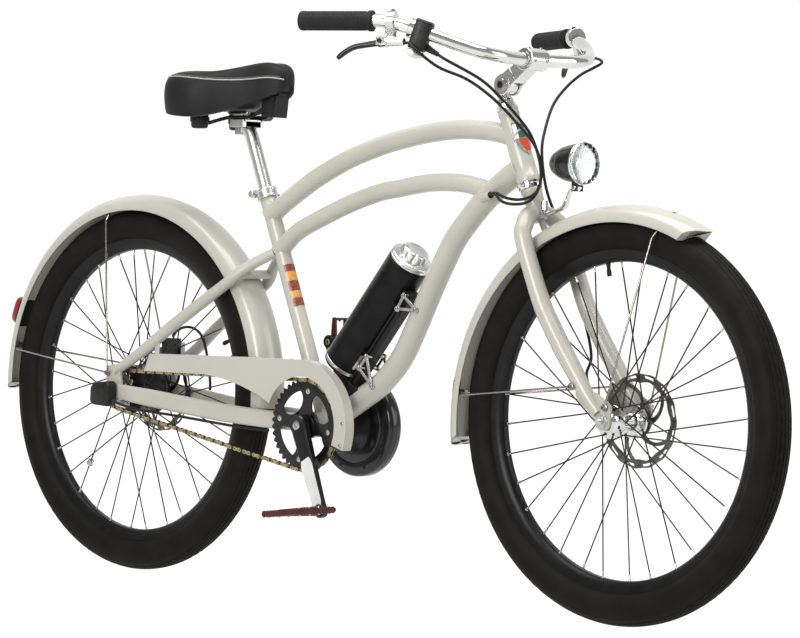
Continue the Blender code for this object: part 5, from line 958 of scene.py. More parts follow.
def crank_arm(sign, root_y, eye_y, pin_to):
    """An arm tapering from the axle to its pedal's eye, with the pedal's pin, and where that eye is."""
    rings = []
    for k in range(21):
        share = k / 20
        width = 0.92 - 0.33 * share ** 0.75
        thick = 1.0 - 0.24 * share
        y = root_y + (eye_y - root_y) * share ** 0.9
        mid = crank_base + crank_dir * (CRANK_L * share * sign) + Vector((0, y, 0))
        wide, deep = ARM_W * width / 2, ARM_T * thick / 2
        rings.append(section(mid, crank_side, Vector((0, 1, 0)), wide, deep, deep * 0.6, 4))
    eye = crank_base + crank_dir * (CRANK_L * sign)
    return [skin(rings), disc(0.019, root_y - ROOT_HALF, root_y + ROOT_HALF, BB, 44, 0.0025),
            disc(0.0126, eye_y - EYE_HALF, eye_y + EYE_HALF, (eye.x, eye.z), 36, 0.0015),
            disc(0.0048, min(eye_y, pin_to), max(eye_y, pin_to), (eye.x, eye.z), 20)], eye


RIGHT_ROOT, LEFT_ROOT, RIGHT_EYE, LEFT_EYE = -0.0643, 0.0933, -0.093, 0.094
PEDAL_L, PIN_L = 0.095, 0.089
right_arm, eye_r = crank_arm(1, RIGHT_ROOT, RIGHT_EYE, RIGHT_EYE - EYE_HALF - PIN_L)
left_arm, eye_l = crank_arm(-1, LEFT_ROOT, LEFT_EYE, LEFT_EYE + EYE_HALF + PIN_L)
piece("right_crank_arm", right_arm, arm_black, "crank", ["crank_right"], centre=BB)
piece("left_crank_arm", left_arm, arm_black, "crank", ["crank_left"], centre=BB)
bolt_faces = [cap_screw((BB[0], RIGHT_ROOT - ROOT_HALF + 0.0006, BB[1]), (0, -1, 0), 0.0085, 0.002),
              cap_screw((BB[0], LEFT_ROOT + ROOT_HALF - 0.0006, BB[1]), (0, 1, 0), 0.0085, 0.002),
              cap_screw((eye_r.x, RIGHT_EYE + EYE_HALF - 0.0004, eye_r.z), (0, 1, 0), 0.0052, 0.001),
              cap_screw((eye_l.x, LEFT_EYE - EYE_HALF + 0.0004, eye_l.z), (0, -1, 0), 0.0052, 0.001)]
inlay = []
for k in range(15):
    share = 0.4 + 0.57 * k / 14
    y = RIGHT_ROOT + (RIGHT_EYE - RIGHT_ROOT) * share ** 0.9 - ARM_T * (1.0 - 0.24 * share) / 2
    mid = crank_base + crank_dir * (CRANK_L * share) + Vector((0, y, 0))
    w = ARM_W * (0.92 - 0.33 * share ** 0.75) / 2 * 0.97 * (0.7 if k in (0, 14) else 0.9 if k in (1, 13) else 1.0)
    inlay.append([mid + crank_side * w + Vector((0, 0.0006, 0)), mid + crank_side * w - Vector((0, 0.0003, 0)),
                  mid + crank_side * w * 0.9 - Vector((0, 0.0006, 0)),
                  mid - crank_side * w * 0.9 - Vector((0, 0.0006, 0)),
                  mid - crank_side * w - Vector((0, 0.0003, 0)), mid - crank_side * w + Vector((0, 0.0006, 0))])
plate_satin = finish("plate_satin", (0.72, 0.72, 0.7), (0.62, 0.62, 0.6), metal=0.55, rough=(0.34, 0.46), grain=25.0)
piece("crank_bolt_faces", bolt_faces, screw_steel, "crank", centre=BB)
piece("crank_bright_plate", [skin(inlay)], plate_satin, "crank", centre=BB)
TOOTH_Y = (CHAIN_Y - 0.0012, CHAIN_Y + 0.0012)


def toothed_ring(centre, teeth, root, tip, inner, y0, y1, per=8):
    """A plate ring with rounded teeth round its rim."""
    rings = []
    for t in turns(teeth * per):
        w = 0.5 - 0.5 * cos(teeth * t)
        r = root + (tip - root) * w ** 0.7
        rings.append([on_ring(centre, q, t, y) for q, y in (
            (r, y0 + 0.0004), (r, y1 - 0.0004), (root - 0.0012, y1), (inner, y1), (inner, y0), (root - 0.0012, y0))])
    return skin(rings, closed=True)


BORE_R = RING_R - 0.0189
ring_shapes = [toothed_ring(BB, RING_TEETH, RING_R - 0.004, RING_R + 0.0022, BORE_R, *TOOTH_Y),
               disc(0.025, TOOTH_Y[0] - 0.0008, TOOTH_Y[1] + 0.006, BB, 48, 0.001)]
ring_bolts = []
for k in range(4):
    t = radians(-9 + 90 * k)
    out_dir, side_dir = toward(t), Vector((-sin(t), 0, cos(t)))
    half_arm = [(0.015, 0.026), (0.024, 0.017), (0.034, 0.0122), (0.043, 0.0108), (0.05, 0.0122), (0.057, 0.017),
                (BORE_R - 0.0005, 0.027), (BORE_R + 0.002, 0.029)]
    corners = half_arm + [(r, -w) for r, w in half_arm[::-1]]
    points = [crank_base + out_dir * r + side_dir * w for r, w in corners]
    ring_shapes.append(slab([(p.x, p.z) for p in points], TOOTH_Y[0] - 0.0006, TOOTH_Y[1] + 0.0006))
    hold = crank_base + out_dir * BORE_R
    ring_bolts.append(cap_screw((hold.x, TOOTH_Y[0] - 0.0004, hold.z), (0, -1, 0), 0.0052, 0.0014))
    ring_bolts.append(cap_screw((hold.x, TOOTH_Y[1] + 0.0004, hold.z), (0, 1, 0), 0.0052, 0.0014))
piece("toothed_chainring", ring_shapes, arm_black, "crank", ["chainring"],
      soft=0.0003, centre=BB)
piece("chainring_bolts", ring_bolts, screw_steel, "crank", centre=BB)

# Pedals: a moulded reddish brown cage with a saw-toothed edge fore and aft, a barrel on the pin
# and two rows of blunt pins to grip the sole.
pedal_brown = finish("pedal_brown", (0.066, 0.012, 0.008), (0.038, 0.008, 0.006), rough=(0.34, 0.5), specular=0.2,
                     grain=60.0, fine=800.0, relief=0.00008)


def pedal(centre, y_in, y_out, tilt):
    """The cage about its pin, turned by tilt."""
    t = radians(tilt)
    low, high = min(y_in, y_out), max(y_in, y_out)

    def at(u, y, w):
        return (centre[0] + u * cos(t) + w * sin(t), y, centre[1] - u * sin(t) + w * cos(t))

    def box(u0, u1, y0, y1, w0, w1):
        return skin([[at(u0, y, w0), at(u1, y, w0), at(u1, y, w1), at(u0, y, w1)] for y in (y0, y1)])

    shapes = []
    for y0, y1 in ((low, low + 0.005), (high - 0.005, high)):
        edge = [(-0.045, 0.0016), (-0.04, 0.004), (-0.02, 0.0056), (0.02, 0.0056), (0.04, 0.004), (0.045, 0.0016)]
        edge += [(u, -w) for u, w in edge[::-1]]
        shapes.append(skin([[at(u, y, w) for u, w in edge] for y in (y0, y1)]))
    teeth = 12
    for side in (1, -1):
        crest = []
        for k in range(teeth * 4 + 1):
            y = low + 0.0004 + (high - low - 0.0008) * k / (teeth * 4)
            crest.append((y, 0.006 if k % 4 in (1, 2) else 0.0038))
        outline = crest + [(y, -w) for y, w in crest[::-1]]
        shapes.append(skin([[at(side * u, y, w) for y, w in outline] for u in (0.0398, 0.044)]))
        for y in (low + 0.03, (low + high) / 2, high - 0.03):
            u0, u1 = sorted((side * 0.008, side * 0.041))
            shapes.append(box(u0, u1, y - 0.002, y + 0.002, -0.0032, 0.0032))
    inner_r, outer_r = (0.0062, 0.009) if y_out < y_in else (0.009, 0.0062)
    shapes.append(turned([(inner_r - 0.001, low + 0.0005), (inner_r, low + 0.0015), (outer_r, high - 0.0015),
                          (outer_r - 0.001, high - 0.0005), (0.0045, high - 0.0005), (0.0045, low + 0.0005)],
                         centre, 32))
    pins = [cap_screw(at(u, low + (high - low) * q, w * 0.0034), Vector(at(u, low, w)) - Vector(at(u, low, 0)),
                      0.0017, 0.0042)
            for u in (-0.0385, 0.0385) for q in (0.12, 0.38, 0.62, 0.88) for w in (1, -1)]
    return shapes, pins


right_in, left_in = RIGHT_EYE - EYE_HALF - 0.0006, LEFT_EYE + EYE_HALF + 0.0006
for side, eye, y_in, y_out, tilt in (("right", eye_r, right_in, right_in - PEDAL_L, -7.0),
                                     ("left", eye_l, left_in, left_in + PEDAL_L, 90.0)):
    shapes, pins = pedal((eye.x, eye.z), y_in, y_out, tilt)
    body = f"pedal_{side}_body"
    piece(f"{side}_pedal_cage", shapes, pedal_brown, body, [f"pedal_{side}"], soft=0.0005,
          centre=(eye.x, eye.z))
    piece(f"{side}_pedal_pins", pins, screw_steel, body, centre=(eye.x, eye.z))

# Wheels: 26 inch balloon tyres on black box rims, laced two-cross with sixteen spokes a side to a
# small polished hub in front and a large black gear hub behind, each with a slotted disc rotor.
tyre_rubber = finish("tyre_rubber", (0.006, 0.0055, 0.005), (0.0038, 0.0034, 0.0031), rough=(0.55, 0.72), grain=25.0,
                     fine=600.0, relief=0.00012, specular=0.09)
rim_black = finish("rim_black", (0.0084, 0.0084, 0.0088), (0.0055, 0.0055, 0.0059), metal=0.4, rough=(0.28, 0.4),
                   grain=40.0, fine=1000.0, relief=0.00002, specular=0.2)
spoke_dark = finish("spoke_dark", 0.03, 0.018, metal=0.8, rough=(0.24, 0.36), grain=90.0)
nipple_steel = finish("nipple_nickel", (0.5, 0.5, 0.49), (0.36, 0.36, 0.35), metal=1.0, rough=(0.2, 0.3), grain=200.0)
polished = finish("polished_alloy", (0.62, 0.62, 0.61), (0.5, 0.5, 0.49), metal=1.0, rough=(0.08, 0.18), grain=25.0,
                  fine=700.0, relief=0.00001)
hub_black = finish("hub_black", (0.0092, 0.0092, 0.0097), (0.0059, 0.0059, 0.0063), metal=0.4, rough=(0.3, 0.44),
                   grain=50.0, fine=900.0, relief=0.00004, specular=0.2)
rotor_steel = finish("rotor_steel", (0.15, 0.145, 0.13), (0.095, 0.092, 0.084), metal=1.0, rough=(0.26, 0.4),
                     grain=60.0, fine=1200.0, relief=0.00002)
TYRE_R, RIM_R, RIM_IN_R, BLOCK_STEPS = 0.34, 0.2855, 0.2644, 384
SPOKES_A_SIDE, WIRE_R, ROTOR_HALF = 16, 0.0013, 0.0009


def both_ways(half):
    """Half a section, and its mirror image across the wheel's middle."""
    return half + [(r, -y) for r, y in half[::-1] if y]


def tyre(centre):
    """A balloon tyre: bead, round wall with two raised lines, and a grooved tread of small blocks."""
    wall = smooth_run([(RIM_R - 0.004, 0.01, 0), (RIM_R + 0.005, 0.0225, 0), (RIM_R + 0.0225, 0.03, 0),
                       (TYRE_R - 0.015, 0.0275, 0), (TYRE_R - 0.009, 0.0231, 0)], 16)
    lines = (4, 5, 11)
    half = [(p.x + 0.0005, p.y + 0.0004) if k in lines else (p.x, p.y) for k, p in enumerate(wall)]
    crown = []
    for y, cut in ((0.0229, 0), (0.0195, 0), (0.019, 1), (0.0178, 1), (0.0173, 0), (0.0125, 0), (0.012, 1), (0.0108, 1),
                   (0.0103, 0), (0.0055, 0), (0.005, 1), (0.0036, 1), (0.0031, 0), (0.0, 0)):
        crown.append((TYRE_R - 0.009 * (y / 0.0231) ** 2.2 - 0.0014 * cut, y))
    outer = both_ways(half[:-1] + crown)
    blocks = {i for i, (r, y) in enumerate(outer) if r > TYRE_R - 0.0095 and abs(y) > 0.01}
    inner = both_ways([(RIM_R - 0.004, 0.0065), (RIM_R + 0.0215, 0.025), (TYRE_R - 0.006, 0.0)])
    rings = []
    for k in range(BLOCK_STEPS):
        t = 2 * pi * k / BLOCK_STEPS
        ring = []
        for i, (r, y) in enumerate(outer):
            low = i in blocks and (k + int(abs(y) * 500)) % 4 == 0
            ring.append(on_ring(centre, r - 0.0011 * low, t, y))
        ring += [on_ring(centre, r, t, y) for r, y in inner[::-1]]
        rings.append(ring)
    return skin(rings, closed=True)


def rim(centre):
    outer = both_ways([(RIM_R - 0.0004, 0.0135), (RIM_R, 0.0142), (RIM_R, 0.0156), (RIM_R - 0.0006, 0.016),
                       (RIM_R - 0.008, 0.0148), (RIM_R - 0.014, 0.0125), (RIM_IN_R + 0.002, 0.0085),
                       (RIM_IN_R + 0.0004, 0.0062), (RIM_IN_R, 0.0035)])
    inner = both_ways([(RIM_IN_R + 0.006, 0.006), (RIM_IN_R + 0.01, 0.01)])
    return turned(outer + inner[::-1], centre, 160)


def spokes_of(centre, flange_r, flange_ys, phase):
    """Two-cross lacing. The spokes of a flange leave its two faces in turn, and end in nipples."""
    step = 2 * pi / SPOKES_A_SIDE
    reach = RIM_IN_R + 0.001
    wires, nipples, lines = [], [], []
    for side, flange_y in enumerate(flange_ys):
        lean = 0.0035 if flange_y > 0 else -0.0035
        for k in range(SPOKES_A_SIDE):
            a = phase + step * k
            way = 1 if k % 2 else -1
            b = a + step * (2 * way + side / 2)
            r = flange_r - 0.003
            face = way * 0.0032
            hole = Vector(on_ring(centre, r, a, flange_y - face * 0.4))
            elbow = Vector(on_ring(centre, r, a, flange_y + face))
            tip = Vector(on_ring(centre, reach, b, lean))
            bends = [hole, elbow, elbow.lerp(tip, 0.02), elbow.lerp(tip, 0.1), tip]
            wires.append(tube(bends, WIRE_R, 8, up=(cos(a), 0, sin(a))))
            wires.append(tube([elbow + Vector((0, way * 0.0001, 0)), elbow + Vector((0, way * 0.0008, 0))],
                              0.0018, 10, up=(1, 0, 0)))
            lines.append((elbow, tip))
            back = (elbow - tip).normalized()
            nipples.append(tube([tip, tip + back * 0.002, tip + back * 0.0022, tip + back * 0.0105, tip + back * 0.011],
                                [0.0026, 0.0026, 0.0019, 0.0019, 0.0014], 10, up=(0, 1, 0)))
    return wires, nipples, lines


def rotor(centre, y):
    """A disc rotor: a slotted braking band with a wavy rim, on curved arms, round a bolted ring."""
    low, high = y - ROTOR_HALF, y + ROTOR_HALF

    def band(inner, outer):
        return skin([[on_ring(centre, q, t, yy) for q, yy in (
            (inner(t), low), (outer(t), low), (outer(t), high), (inner(t), high))] for t in turns(240)], closed=True)

    shapes = [band(lambda t: 0.0762, lambda t: 0.0792 + 0.0008 * cos(15 * t)),
              band(lambda t: 0.0655 + 0.0018 * cos(10 * t), lambda t: 0.0722)]
    for t in turns(12):
        outline = [on_circle(centre, r, t + w) for r, w in (
            (0.0715, -0.14), (0.0767, -0.1), (0.0767, 0.15), (0.0715, 0.11))]
        shapes.append(slab(outline, low + 0.00004, high - 0.00004))
    for t in turns(5):
        inner, outer = [], []
        for s in [m / 12 for m in range(13)]:
            bent = t + 0.8 * s ** 1.3
            x, z = on_circle(centre, 0.0215 + (0.0672 - 0.0215) * s, bent)
            w = 0.0066 - 0.0024 * sin(pi * s) ** 0.8
            inner.append((x - w * sin(bent), z + w * cos(bent)))
            outer.append((x + w * sin(bent), z - w * cos(bent)))
        shapes.append(slab(inner + outer[::-1], low + 0.00006, high - 0.00006))
    shapes.append(turned([(0.016, low), (0.0262, low), (0.0262, high), (0.016, high)], centre, 72))
    return shapes


def rotor_screws(centre, y):
    return [cap_screw(on_ring(centre, 0.021, t + 0.3, y + 0.0008), (0, 1, 0), 0.003, 0.0014) for t in turns(6)]


REAR_ROTOR_Y, FRONT_ROTOR_Y = 0.052, 0.0395
rear_hub = [(0.0055, -0.0445), (0.0225, -0.0445), (0.023, -0.044), (0.0236, -0.0345), (0.03, -0.0335), (0.044, -0.0322),
            (0.0455, -0.0312), (0.0455, -0.0262), (0.0448, -0.0254), (0.042, -0.024), (0.0405, -0.018), (0.04, 0.0),
            (0.0405, 0.018), (0.042, 0.024), (0.0448, 0.0254), (0.0455, 0.0262), (0.0455, 0.0312), (0.044, 0.0322),
            (0.028, 0.0342), (0.024, 0.035), (0.024, 0.05), (0.0232, 0.0506), (0.015, 0.0508), (0.015, 0.0671),
            (0.0055, 0.0671)]
front_hub = [(0.0055, -0.0492), (0.0096, -0.0492), (0.01, -0.0488), (0.011, -0.045), (0.014, -0.04), (0.018, -0.0372),
             (0.0285, -0.0364), (0.029, -0.0358), (0.029, -0.0316), (0.0285, -0.031), (0.02, -0.0298),
             (0.0155, -0.0265), (0.0142, -0.02), (0.014, -0.005), (0.0142, 0.011), (0.0155, 0.017), (0.02, 0.0195),
             (0.0285, 0.021), (0.029, 0.0216), (0.029, 0.0258), (0.0285, 0.0264), (0.0225, 0.028), (0.022, 0.03),
             (0.022, 0.0376), (0.0212, 0.0382), (0.015, 0.0384), (0.012, 0.0492), (0.0055, 0.0492)]
wheels = (("rear", REAR, rear_hub, 0.0455, (-0.0285, 0.0285), REAR_ROTOR_Y, hub_black, "black_metal_aluminium", 22.8),
          ("front", FRONT, front_hub, 0.029, (-0.0337, 0.0237), FRONT_ROTOR_Y, polished, "steel_aluminium", 99.5))
for end, centre, hub, flange_r, flange_ys, rotor_y, hub_look, hub_slot, valve in wheels:
    body = f"{end}_wheel"
    piece(f"{end}_balloon_tyre", [tyre(centre)], tyre_rubber, body, [f"{end}_tyre"],
          sharp=45, centre=centre)
    t = radians(valve)
    way, hub_at = toward(t), Vector((centre[0], 0, centre[1]))
    stem = [(RIM_IN_R + 0.002, 0.004), (RIM_IN_R - 0.003, 0.004), (RIM_IN_R - 0.0034, 0.0034),
            (RIM_IN_R - 0.011, 0.0032), (RIM_IN_R - 0.0112, 0.004), (RIM_IN_R - 0.02, 0.004),
            (RIM_IN_R - 0.0214, 0.0032)]
    piece(f"{end}_box_rim", [rim(centre)], rim_black, body, [f"{end}_rim"], centre=centre)
    piece(f"{end}_valve", [turned_on(lambda r: hub_at + way * r, stem, 20, (0, 1, 0))], black_rubber,
          body, centre=centre)
    wires, nipples, lines = spokes_of(centre, flange_r, flange_ys, t + pi / 32)
    piece(f"{end}_hub_shell", [turned(hub, centre, 80)], hub_look, body, [f"{end}_hub"], centre=centre)
    piece(f"{end}_spokes", wires, spoke_dark, body, centre=centre)
    if end == "rear":
        want = Vector((centre[0] - 0.12, -0.015, centre[1] - 0.149))
        places = [(root.lerp(tip, f / 40), (tip - root).normalized()) for root, tip in lines for f in range(16, 36)]
        at, ahead = min(places, key=lambda place: (place[0] - want).length)
        barrel = tube([at + ahead * d for d in (-0.006, -0.0052, 0.0052, 0.006)], [0.005, 0.0058, 0.0058, 0.005], 20,
                      up=(0, 1, 0))
        piece("spoke_magnet", [barrel, cap_screw(at - Vector((0, 0.0052, 0)), (0, -1, 0), 0.0032, 0.0016)], screw_steel,
              body, centre=centre)
    piece(f"{end}_spoke_nipples", nipples, nipple_steel, body, centre=centre)
    piece(f"{end}_disc_rotor", rotor(centre, rotor_y), rotor_steel, body, [f"{end}_rotor"],
          centre=centre)
    piece(f"{end}_rotor_screws", rotor_screws(centre, rotor_y), screw_steel, body,
          centre=centre)
# Black discs on the front hub's flanges: painted shade where its holes are, with no holes cut.
painted_hole_shades = []
for y in (-0.0367, 0.0267):
    for k in range(8):
        t = 2 * pi * (k + 0.5) / 8
        painted_hole_shades.append(disc(0.0031, y - 0.00035, y + 0.00035, on_circle(FRONT, 0.0215, t), 16, 0.0001))
piece("front_hub_painted_hole_shade", painted_hole_shades, hub_black, "front_wheel", centre=FRONT)

# Rear sprocket, axles and nuts: a steel cog on the gear hub's driver, ground axles with flats, and
# serrated washers under hexagon nuts.
cog_shapes = [toothed_ring(REAR, COG_TEETH, COG_R - 0.004, COG_R + 0.0018, 0.018, *TOOTH_Y, per=14),
              disc(0.02, -0.056, -0.0448, REAR, 48, 0.0008), disc(0.012, -0.0671, -0.05, REAR, 32, 0.0008)]
piece("gear_hub_cog", cog_shapes, axle_steel, "rear_sprocket", ["sprocket"], centre=REAR)


def hexagon(centre, radius, y0, y1):
    """A hexagon nut with its corners turned off at the outer face."""
    y_out = y0 if abs(y0) > abs(y1) else y1
    step = 0.001 if y_out > 0 else -0.001
    rings = []
    for r, y in ((1.0, y1 if y_out == y0 else y0), (1.0, y_out - step), (0.88, y_out)):
        ring = []
        for t in turns(36):
            flat = radius * cos(pi / 6) / cos((t % (pi / 3)) - pi / 6)
            q = min(flat, radius * r if r < 1 else flat)
            ring.append(on_ring(centre, q, t, y))
        rings.append(ring)
    return skin(rings)


for end, centre, drop, right_end, left_end in (("rear", REAR, 0.0675, 0.0068, 0.012),
                                               ("front", FRONT, 0.05, 0.012, 0.012)):
    inner = drop + 0.0056
    shapes = [disc(0.0049, -inner - right_end, inner + left_end, centre, 28, 0.0008)]
    for side in (1, -1):
        shapes.append(hexagon(centre, 0.0105, side * (inner + 0.0012), side * (inner + 0.0065)))
        shapes.append(disc(0.0112, side * inner, side * (inner + 0.0012), centre, 40, 0.0003))
        far = inner + (left_end if side == 1 else right_end)
        for k in range(int((far - inner - 0.0075) / 0.0011)):
            y = side * (inner + 0.007 + 0.0011 * k)
            shapes.append(disc(0.0051, y, y + side * 0.0005, centre, 28, 0.0001))
    piece(f"{end}_axle_and_nuts", shapes, axle_steel, "chassis" if end == "rear" else "steering", [f"{end}_axle"],
          sharp=30)

# Hub shift box: a moulded black cover clipped over the right end of the rear axle, where the shift
# cable turns the gear hub's selector.
shift_black = finish("shift_box_black", 0.0101, 0.0067, rough=(0.34, 0.5), grain=60.0,
                     fine=900.0, relief=0.00006, specular=0.2)
BOX_Y = -0.0805


def rounded(corners, r, steps=6):
    """The outline of a polygon with its corners rounded."""
    out = []
    n = len(corners)
    for i in range(n):
        p, a, b = [Vector((*corners[j % n], 0)) for j in (i, i - 1, i + 1)]
        start, end = p + (a - p).normalized() * r, p + (b - p).normalized() * r
        for k in range(steps + 1):
            t = k / steps
            q = start * (1 - t) ** 2 + p * 2 * t * (1 - t) + end * t * t
            out.append((q.x, q.y))
    return out


box_line = flat_near(REAR, rounded([
    (-0.0348, -0.023), (-0.0288, -0.029), (0.0112, -0.031), (0.0182, -0.024), (0.0192, 0.01), (0.0122, 0.017),
    (-0.0198, 0.014), (-0.0338, 0.006)], 0.0034, 4))
mid_x, mid_z = [sum(p[i] for p in box_line) / len(box_line) for i in (0, 1)]
box_rings = []
for y, share in ((0.0, 1.0), (-0.008, 1.0), (-0.0082, 0.97), (-0.0094, 0.97), (-0.0096, 1.0), (-0.016, 0.985),
                 (-0.019, 0.93), (-0.02, 0.84)):
    box_rings.append([(mid_x + (x - mid_x) * share, BOX_Y + y, mid_z + (z - mid_z) * share) for x, z in box_line])
box_shapes = [skin(box_rings),
              disc(0.0085, BOX_Y - 0.0206, BOX_Y - 0.019, (REAR[0] - 0.004, REAR[1] - 0.006), 36, 0.0006)]
box_shapes.append(tube([(-0.581, -0.088, 0.319), (-0.579, -0.088, 0.3195), (-0.574, -0.0875, 0.3185),
                        (-0.573, -0.0873, 0.3183)], [0.005, 0.0052, 0.0046, 0.0038], 24, up=(0, 1, 0)))
piece("hub_shift_box", box_shapes, shift_black, "chassis", ["shift_box"], soft=0.0006)

# Fork: tapered steel blades brazed into a curved crown, raked forward, with flat ends for the axle
# and a gusset on the left that carries the caliper. Painted with the frame.
CROWN = (head_at(0.684).x, 0.684)
LEG_Y = 0.056
leg = near(CROWN, [
    (-0.0023, -0.006, -0.001), (0.0042, -0.029, -0.007), (0.0122, -0.047, -0.023), (0.0192, -LEG_Y, -0.047),
    (0.0611, -LEG_Y, -0.1471),
]) + near(FRONT, [
    (-0.1175, -LEG_Y, 0.1559), (-0.0895, -LEG_Y, 0.1152), (-0.0629, -LEG_Y, 0.0797), (-0.0353, -0.0555, 0.0428),
    (-0.011, -0.0535, 0.014),
])
leg_line = smooth_run(leg, 52)
span_marks = [0.0]
for a, b in zip(leg, leg[1:]):
    span_marks.append(span_marks[-1] + (Vector(b) - Vector(a)).length)
LEG_SHARES = (0.96, 1.0, 0.97, 0.95, 1.0, 1.02, 1.02, 0.96, 0.8, 0.58)
leg_r = []
for i in range(52):
    want = span_marks[-1] * i / 51
    k = max(j for j in range(9) if span_marks[j] <= want + 1e-9)
    t = min(1.0, (want - span_marks[k]) / (span_marks[k + 1] - span_marks[k]))
    leg_r.append(0.0156 * (LEG_SHARES[k] * (1 - t) + LEG_SHARES[k + 1] * t))
TAB = flat_near(FRONT, rounded([
    (-0.062, 0.046), (-0.056, 0.033), (-0.0366, 0.019), (-0.0195, 0.005), (-0.012, -0.011), (0.002, -0.015),
    (0.014, -0.008), (0.016, 0.024), (0.008, 0.033), (-0.02, 0.048)], 0.003, 3))
GUSSET = flat_near(FRONT, rounded([(-0.0862, -0.004), (-0.0422, -0.01), (0.0, -0.004), (-0.042, 0.056),
                                   (-0.0742, 0.061)], 0.005, 4))
LOW_IN, FRONT_DROP = 0.0693, 0.0503
neck = [(0.67, 0.7), (0.674, 0.83), (0.695, 0.92), (0.715, 0.96), (0.717, 1.04), (0.7215, 1.04), (0.7225, 1.0)]
fork_shapes = [tube(leg_line, leg_r, 32), tube(other_side(leg_line), leg_r, 32),
               slab(TAB, -FRONT_DROP - 0.005, -FRONT_DROP), slab(TAB, FRONT_DROP, FRONT_DROP + 0.005),
               slab(GUSSET, FRONT_DROP + 0.0002, FRONT_DROP + 0.0045),
               tube([head_at(z) for z, s in neck], [0.018 * s for z, s in neck], 36),
               tube([head_at(z) for z in (0.679, 0.79, 0.864)], 0.0127, 24)]
CROWN_ANGLE = 120.6
crown_t = radians(CROWN_ANGLE)
boss_from = guard_radius(FRONT_CROWN, FRONT_FLARE, CROWN_ANGLE) + 0.0006
boss_way, front_mid = toward(crown_t), Vector((FRONT[0], 0, FRONT[1]))
fork_shapes.append(tube([front_mid + boss_way * (boss_from + d) for d in (0.0, 0.0006, 0.026)],
                        [0.0052, 0.0057, 0.0055], 24, up=(0, 1, 0)))
for side in (1, -1):
    stub = near(LOW_EYE, [(0.016, side * LEG_Y, 0.002), (0, side * (LOW_IN - 0.004), 0),
                          (0, side * (LOW_IN - 0.0003), 0)])
    fork_shapes.append(tube(stub, [0.0045, 0.0048, 0.0048], 20))
piece("raked_fork", fork_shapes, paint, "steering", ["fork"], sharp=50)

# Stem and its quill: polished aluminium, adjustable about one hexagon-headed bolt with a black
# centre, above a turned locknut on the steerer. The lamp bracket is a strip of bright steel.
PIVOT = Vector((head_at(0.9012).x + 0.0175, 0, 0.9012))
PIVOT_AT = (PIVOT.x, PIVOT.z)
LUG_HALF = 0.0108
AHEAD = Vector((0.91867, 0, 0.39503))  # square to the steering axis, forward
lock = []
for z, r, six in ((0.8575, 0.018, 0), (0.8582, 0.0186, 0), (0.8602, 0.0186, 0), (0.8604, 0.0178, 1), (0.865, 0.0178, 1),
                  (0.8662, 0.0168, 0), (0.867, 0.0158, 0)):
    ring = []
    for t in turns(48):
        q = r * (cos(pi / 8) / cos((t % (pi / 4)) - pi / 8) if six else 1.0)
        ring.append(head_at(z) + AHEAD * q * cos(t) + Vector((0, q * sin(t), 0)))
    lock.append(ring)
quill_line = [head_at(0.865), head_at(0.874), head_at(0.879)] + smooth_run([head_at(0.8805), head_at(0.887), PIVOT], 6)
quill_shapes = [skin(lock), tube(quill_line, [0.015, 0.0143, 0.012, 0.011, 0.0106, 0.0104, 0.0102, 0.0102, 0.0102], 40),
                disc(0.0155, -LUG_HALF, LUG_HALF, PIVOT_AT, 48, 0.0012)]
piece("stem_quill_polished", quill_shapes, chrome, "steering", ["stem_quill"], sharp=30)
LAMP_AT = (CROWN[0] + 0.0872, CROWN[1] + 0.0422)
strip = smooth_run(near(LAMP_AT, [(-0.0732, -0.0222), (-0.0722, -0.031), (-0.07, -0.0392), (-0.066, -0.0436),
                                  (-0.0597, -0.044), (-0.0309, -0.034), (-0.022, -0.0222),
                                  (-0.0155, -0.0067), (-0.003, -0.0012)]), 34)
strip_w = [0.016] * 20 + [0.015, 0.014, 0.013, 0.012, 0.011] + [0.0096] * 9
bracket = [flat_bar(strip, strip_w, [0.0028] * 34, up=(0.3, 0, 1), corner=0.3, steps=2),
           disc(0.0055, -0.005, 0.005, LAMP_AT, 28, 0.0006)]
piece("lamp_strip", bracket, chrome, "steering", ["lamp_bracket"])

# Headlight: a black bullet with a chromed bezel, a bright reflector inside and a clear moulded lens
# over it, held by two ears on one cross bolt.
LAMP_R, LAMP_Z = 0.0345, LAMP_AT[1] + 0.0408
lamp_black = finish("lamp_black", 0.0084, 0.0055, rough=(0.14, 0.26), grain=40.0, coat=0.4, specular=0.2)


def lamp_part(stations, sides=56, facets=0, dent=0.012):
    """A round piece about the lamp's own axis, through stations (dx, radius)."""
    rings = []
    for dx, r in stations:
        ring = []
        for t in turns(sides):
            q = r * (1 - dent * (0.5 + 0.5 * cos(facets * t))) if facets else r
            ring.append((LAMP_AT[0] + dx, q * cos(t), LAMP_Z + q * sin(t)))
        rings.append(ring)
    return skin(rings)


bullet_run = smooth_run([(-0.056, 0.003, 0), (-0.0545, 0.0105, 0), (-0.05, 0.0165, 0), (-0.042, 0.0221, 0),
                         (-0.025, 0.0293, 0), (-0.002, 0.0335, 0), (0.0085, 0.0343, 0)], 22)
bullet = [(p.x, p.y) for p in bullet_run] + [(0.0092, 0.0345), (0.0095, 0.0338), (0.006, 0.0325), (-0.004, 0.03),
                                             (-0.02, 0.021), (-0.024, 0.006)]
lamp_shapes = [lamp_part(bullet)]
for side in (1, -1):
    y0, y1 = sorted((side * 0.0053, side * 0.0085))
    lamp_shapes.append(block((LAMP_AT[0] - 0.006, y0, LAMP_AT[1] - 0.006),
                             (LAMP_AT[0] + 0.006, y1, LAMP_Z - LAMP_R * 0.86)))
piece("lamp_bullet", lamp_shapes, lamp_black, "headlight", ["headlight_shell"], soft=0.0006)
bezel = [(0.0088, 0.0338), (0.009, 0.036), (0.0096, 0.0366), (0.0118, 0.0367), (0.0126, 0.0364), (0.0128, 0.0356),
         (0.0124, 0.035), (0.011, 0.0346)]
bezel_rings = [[(LAMP_AT[0] + dx, r * cos(t), LAMP_Z + r * sin(t)) for dx, r in bezel] for t in turns(72)]
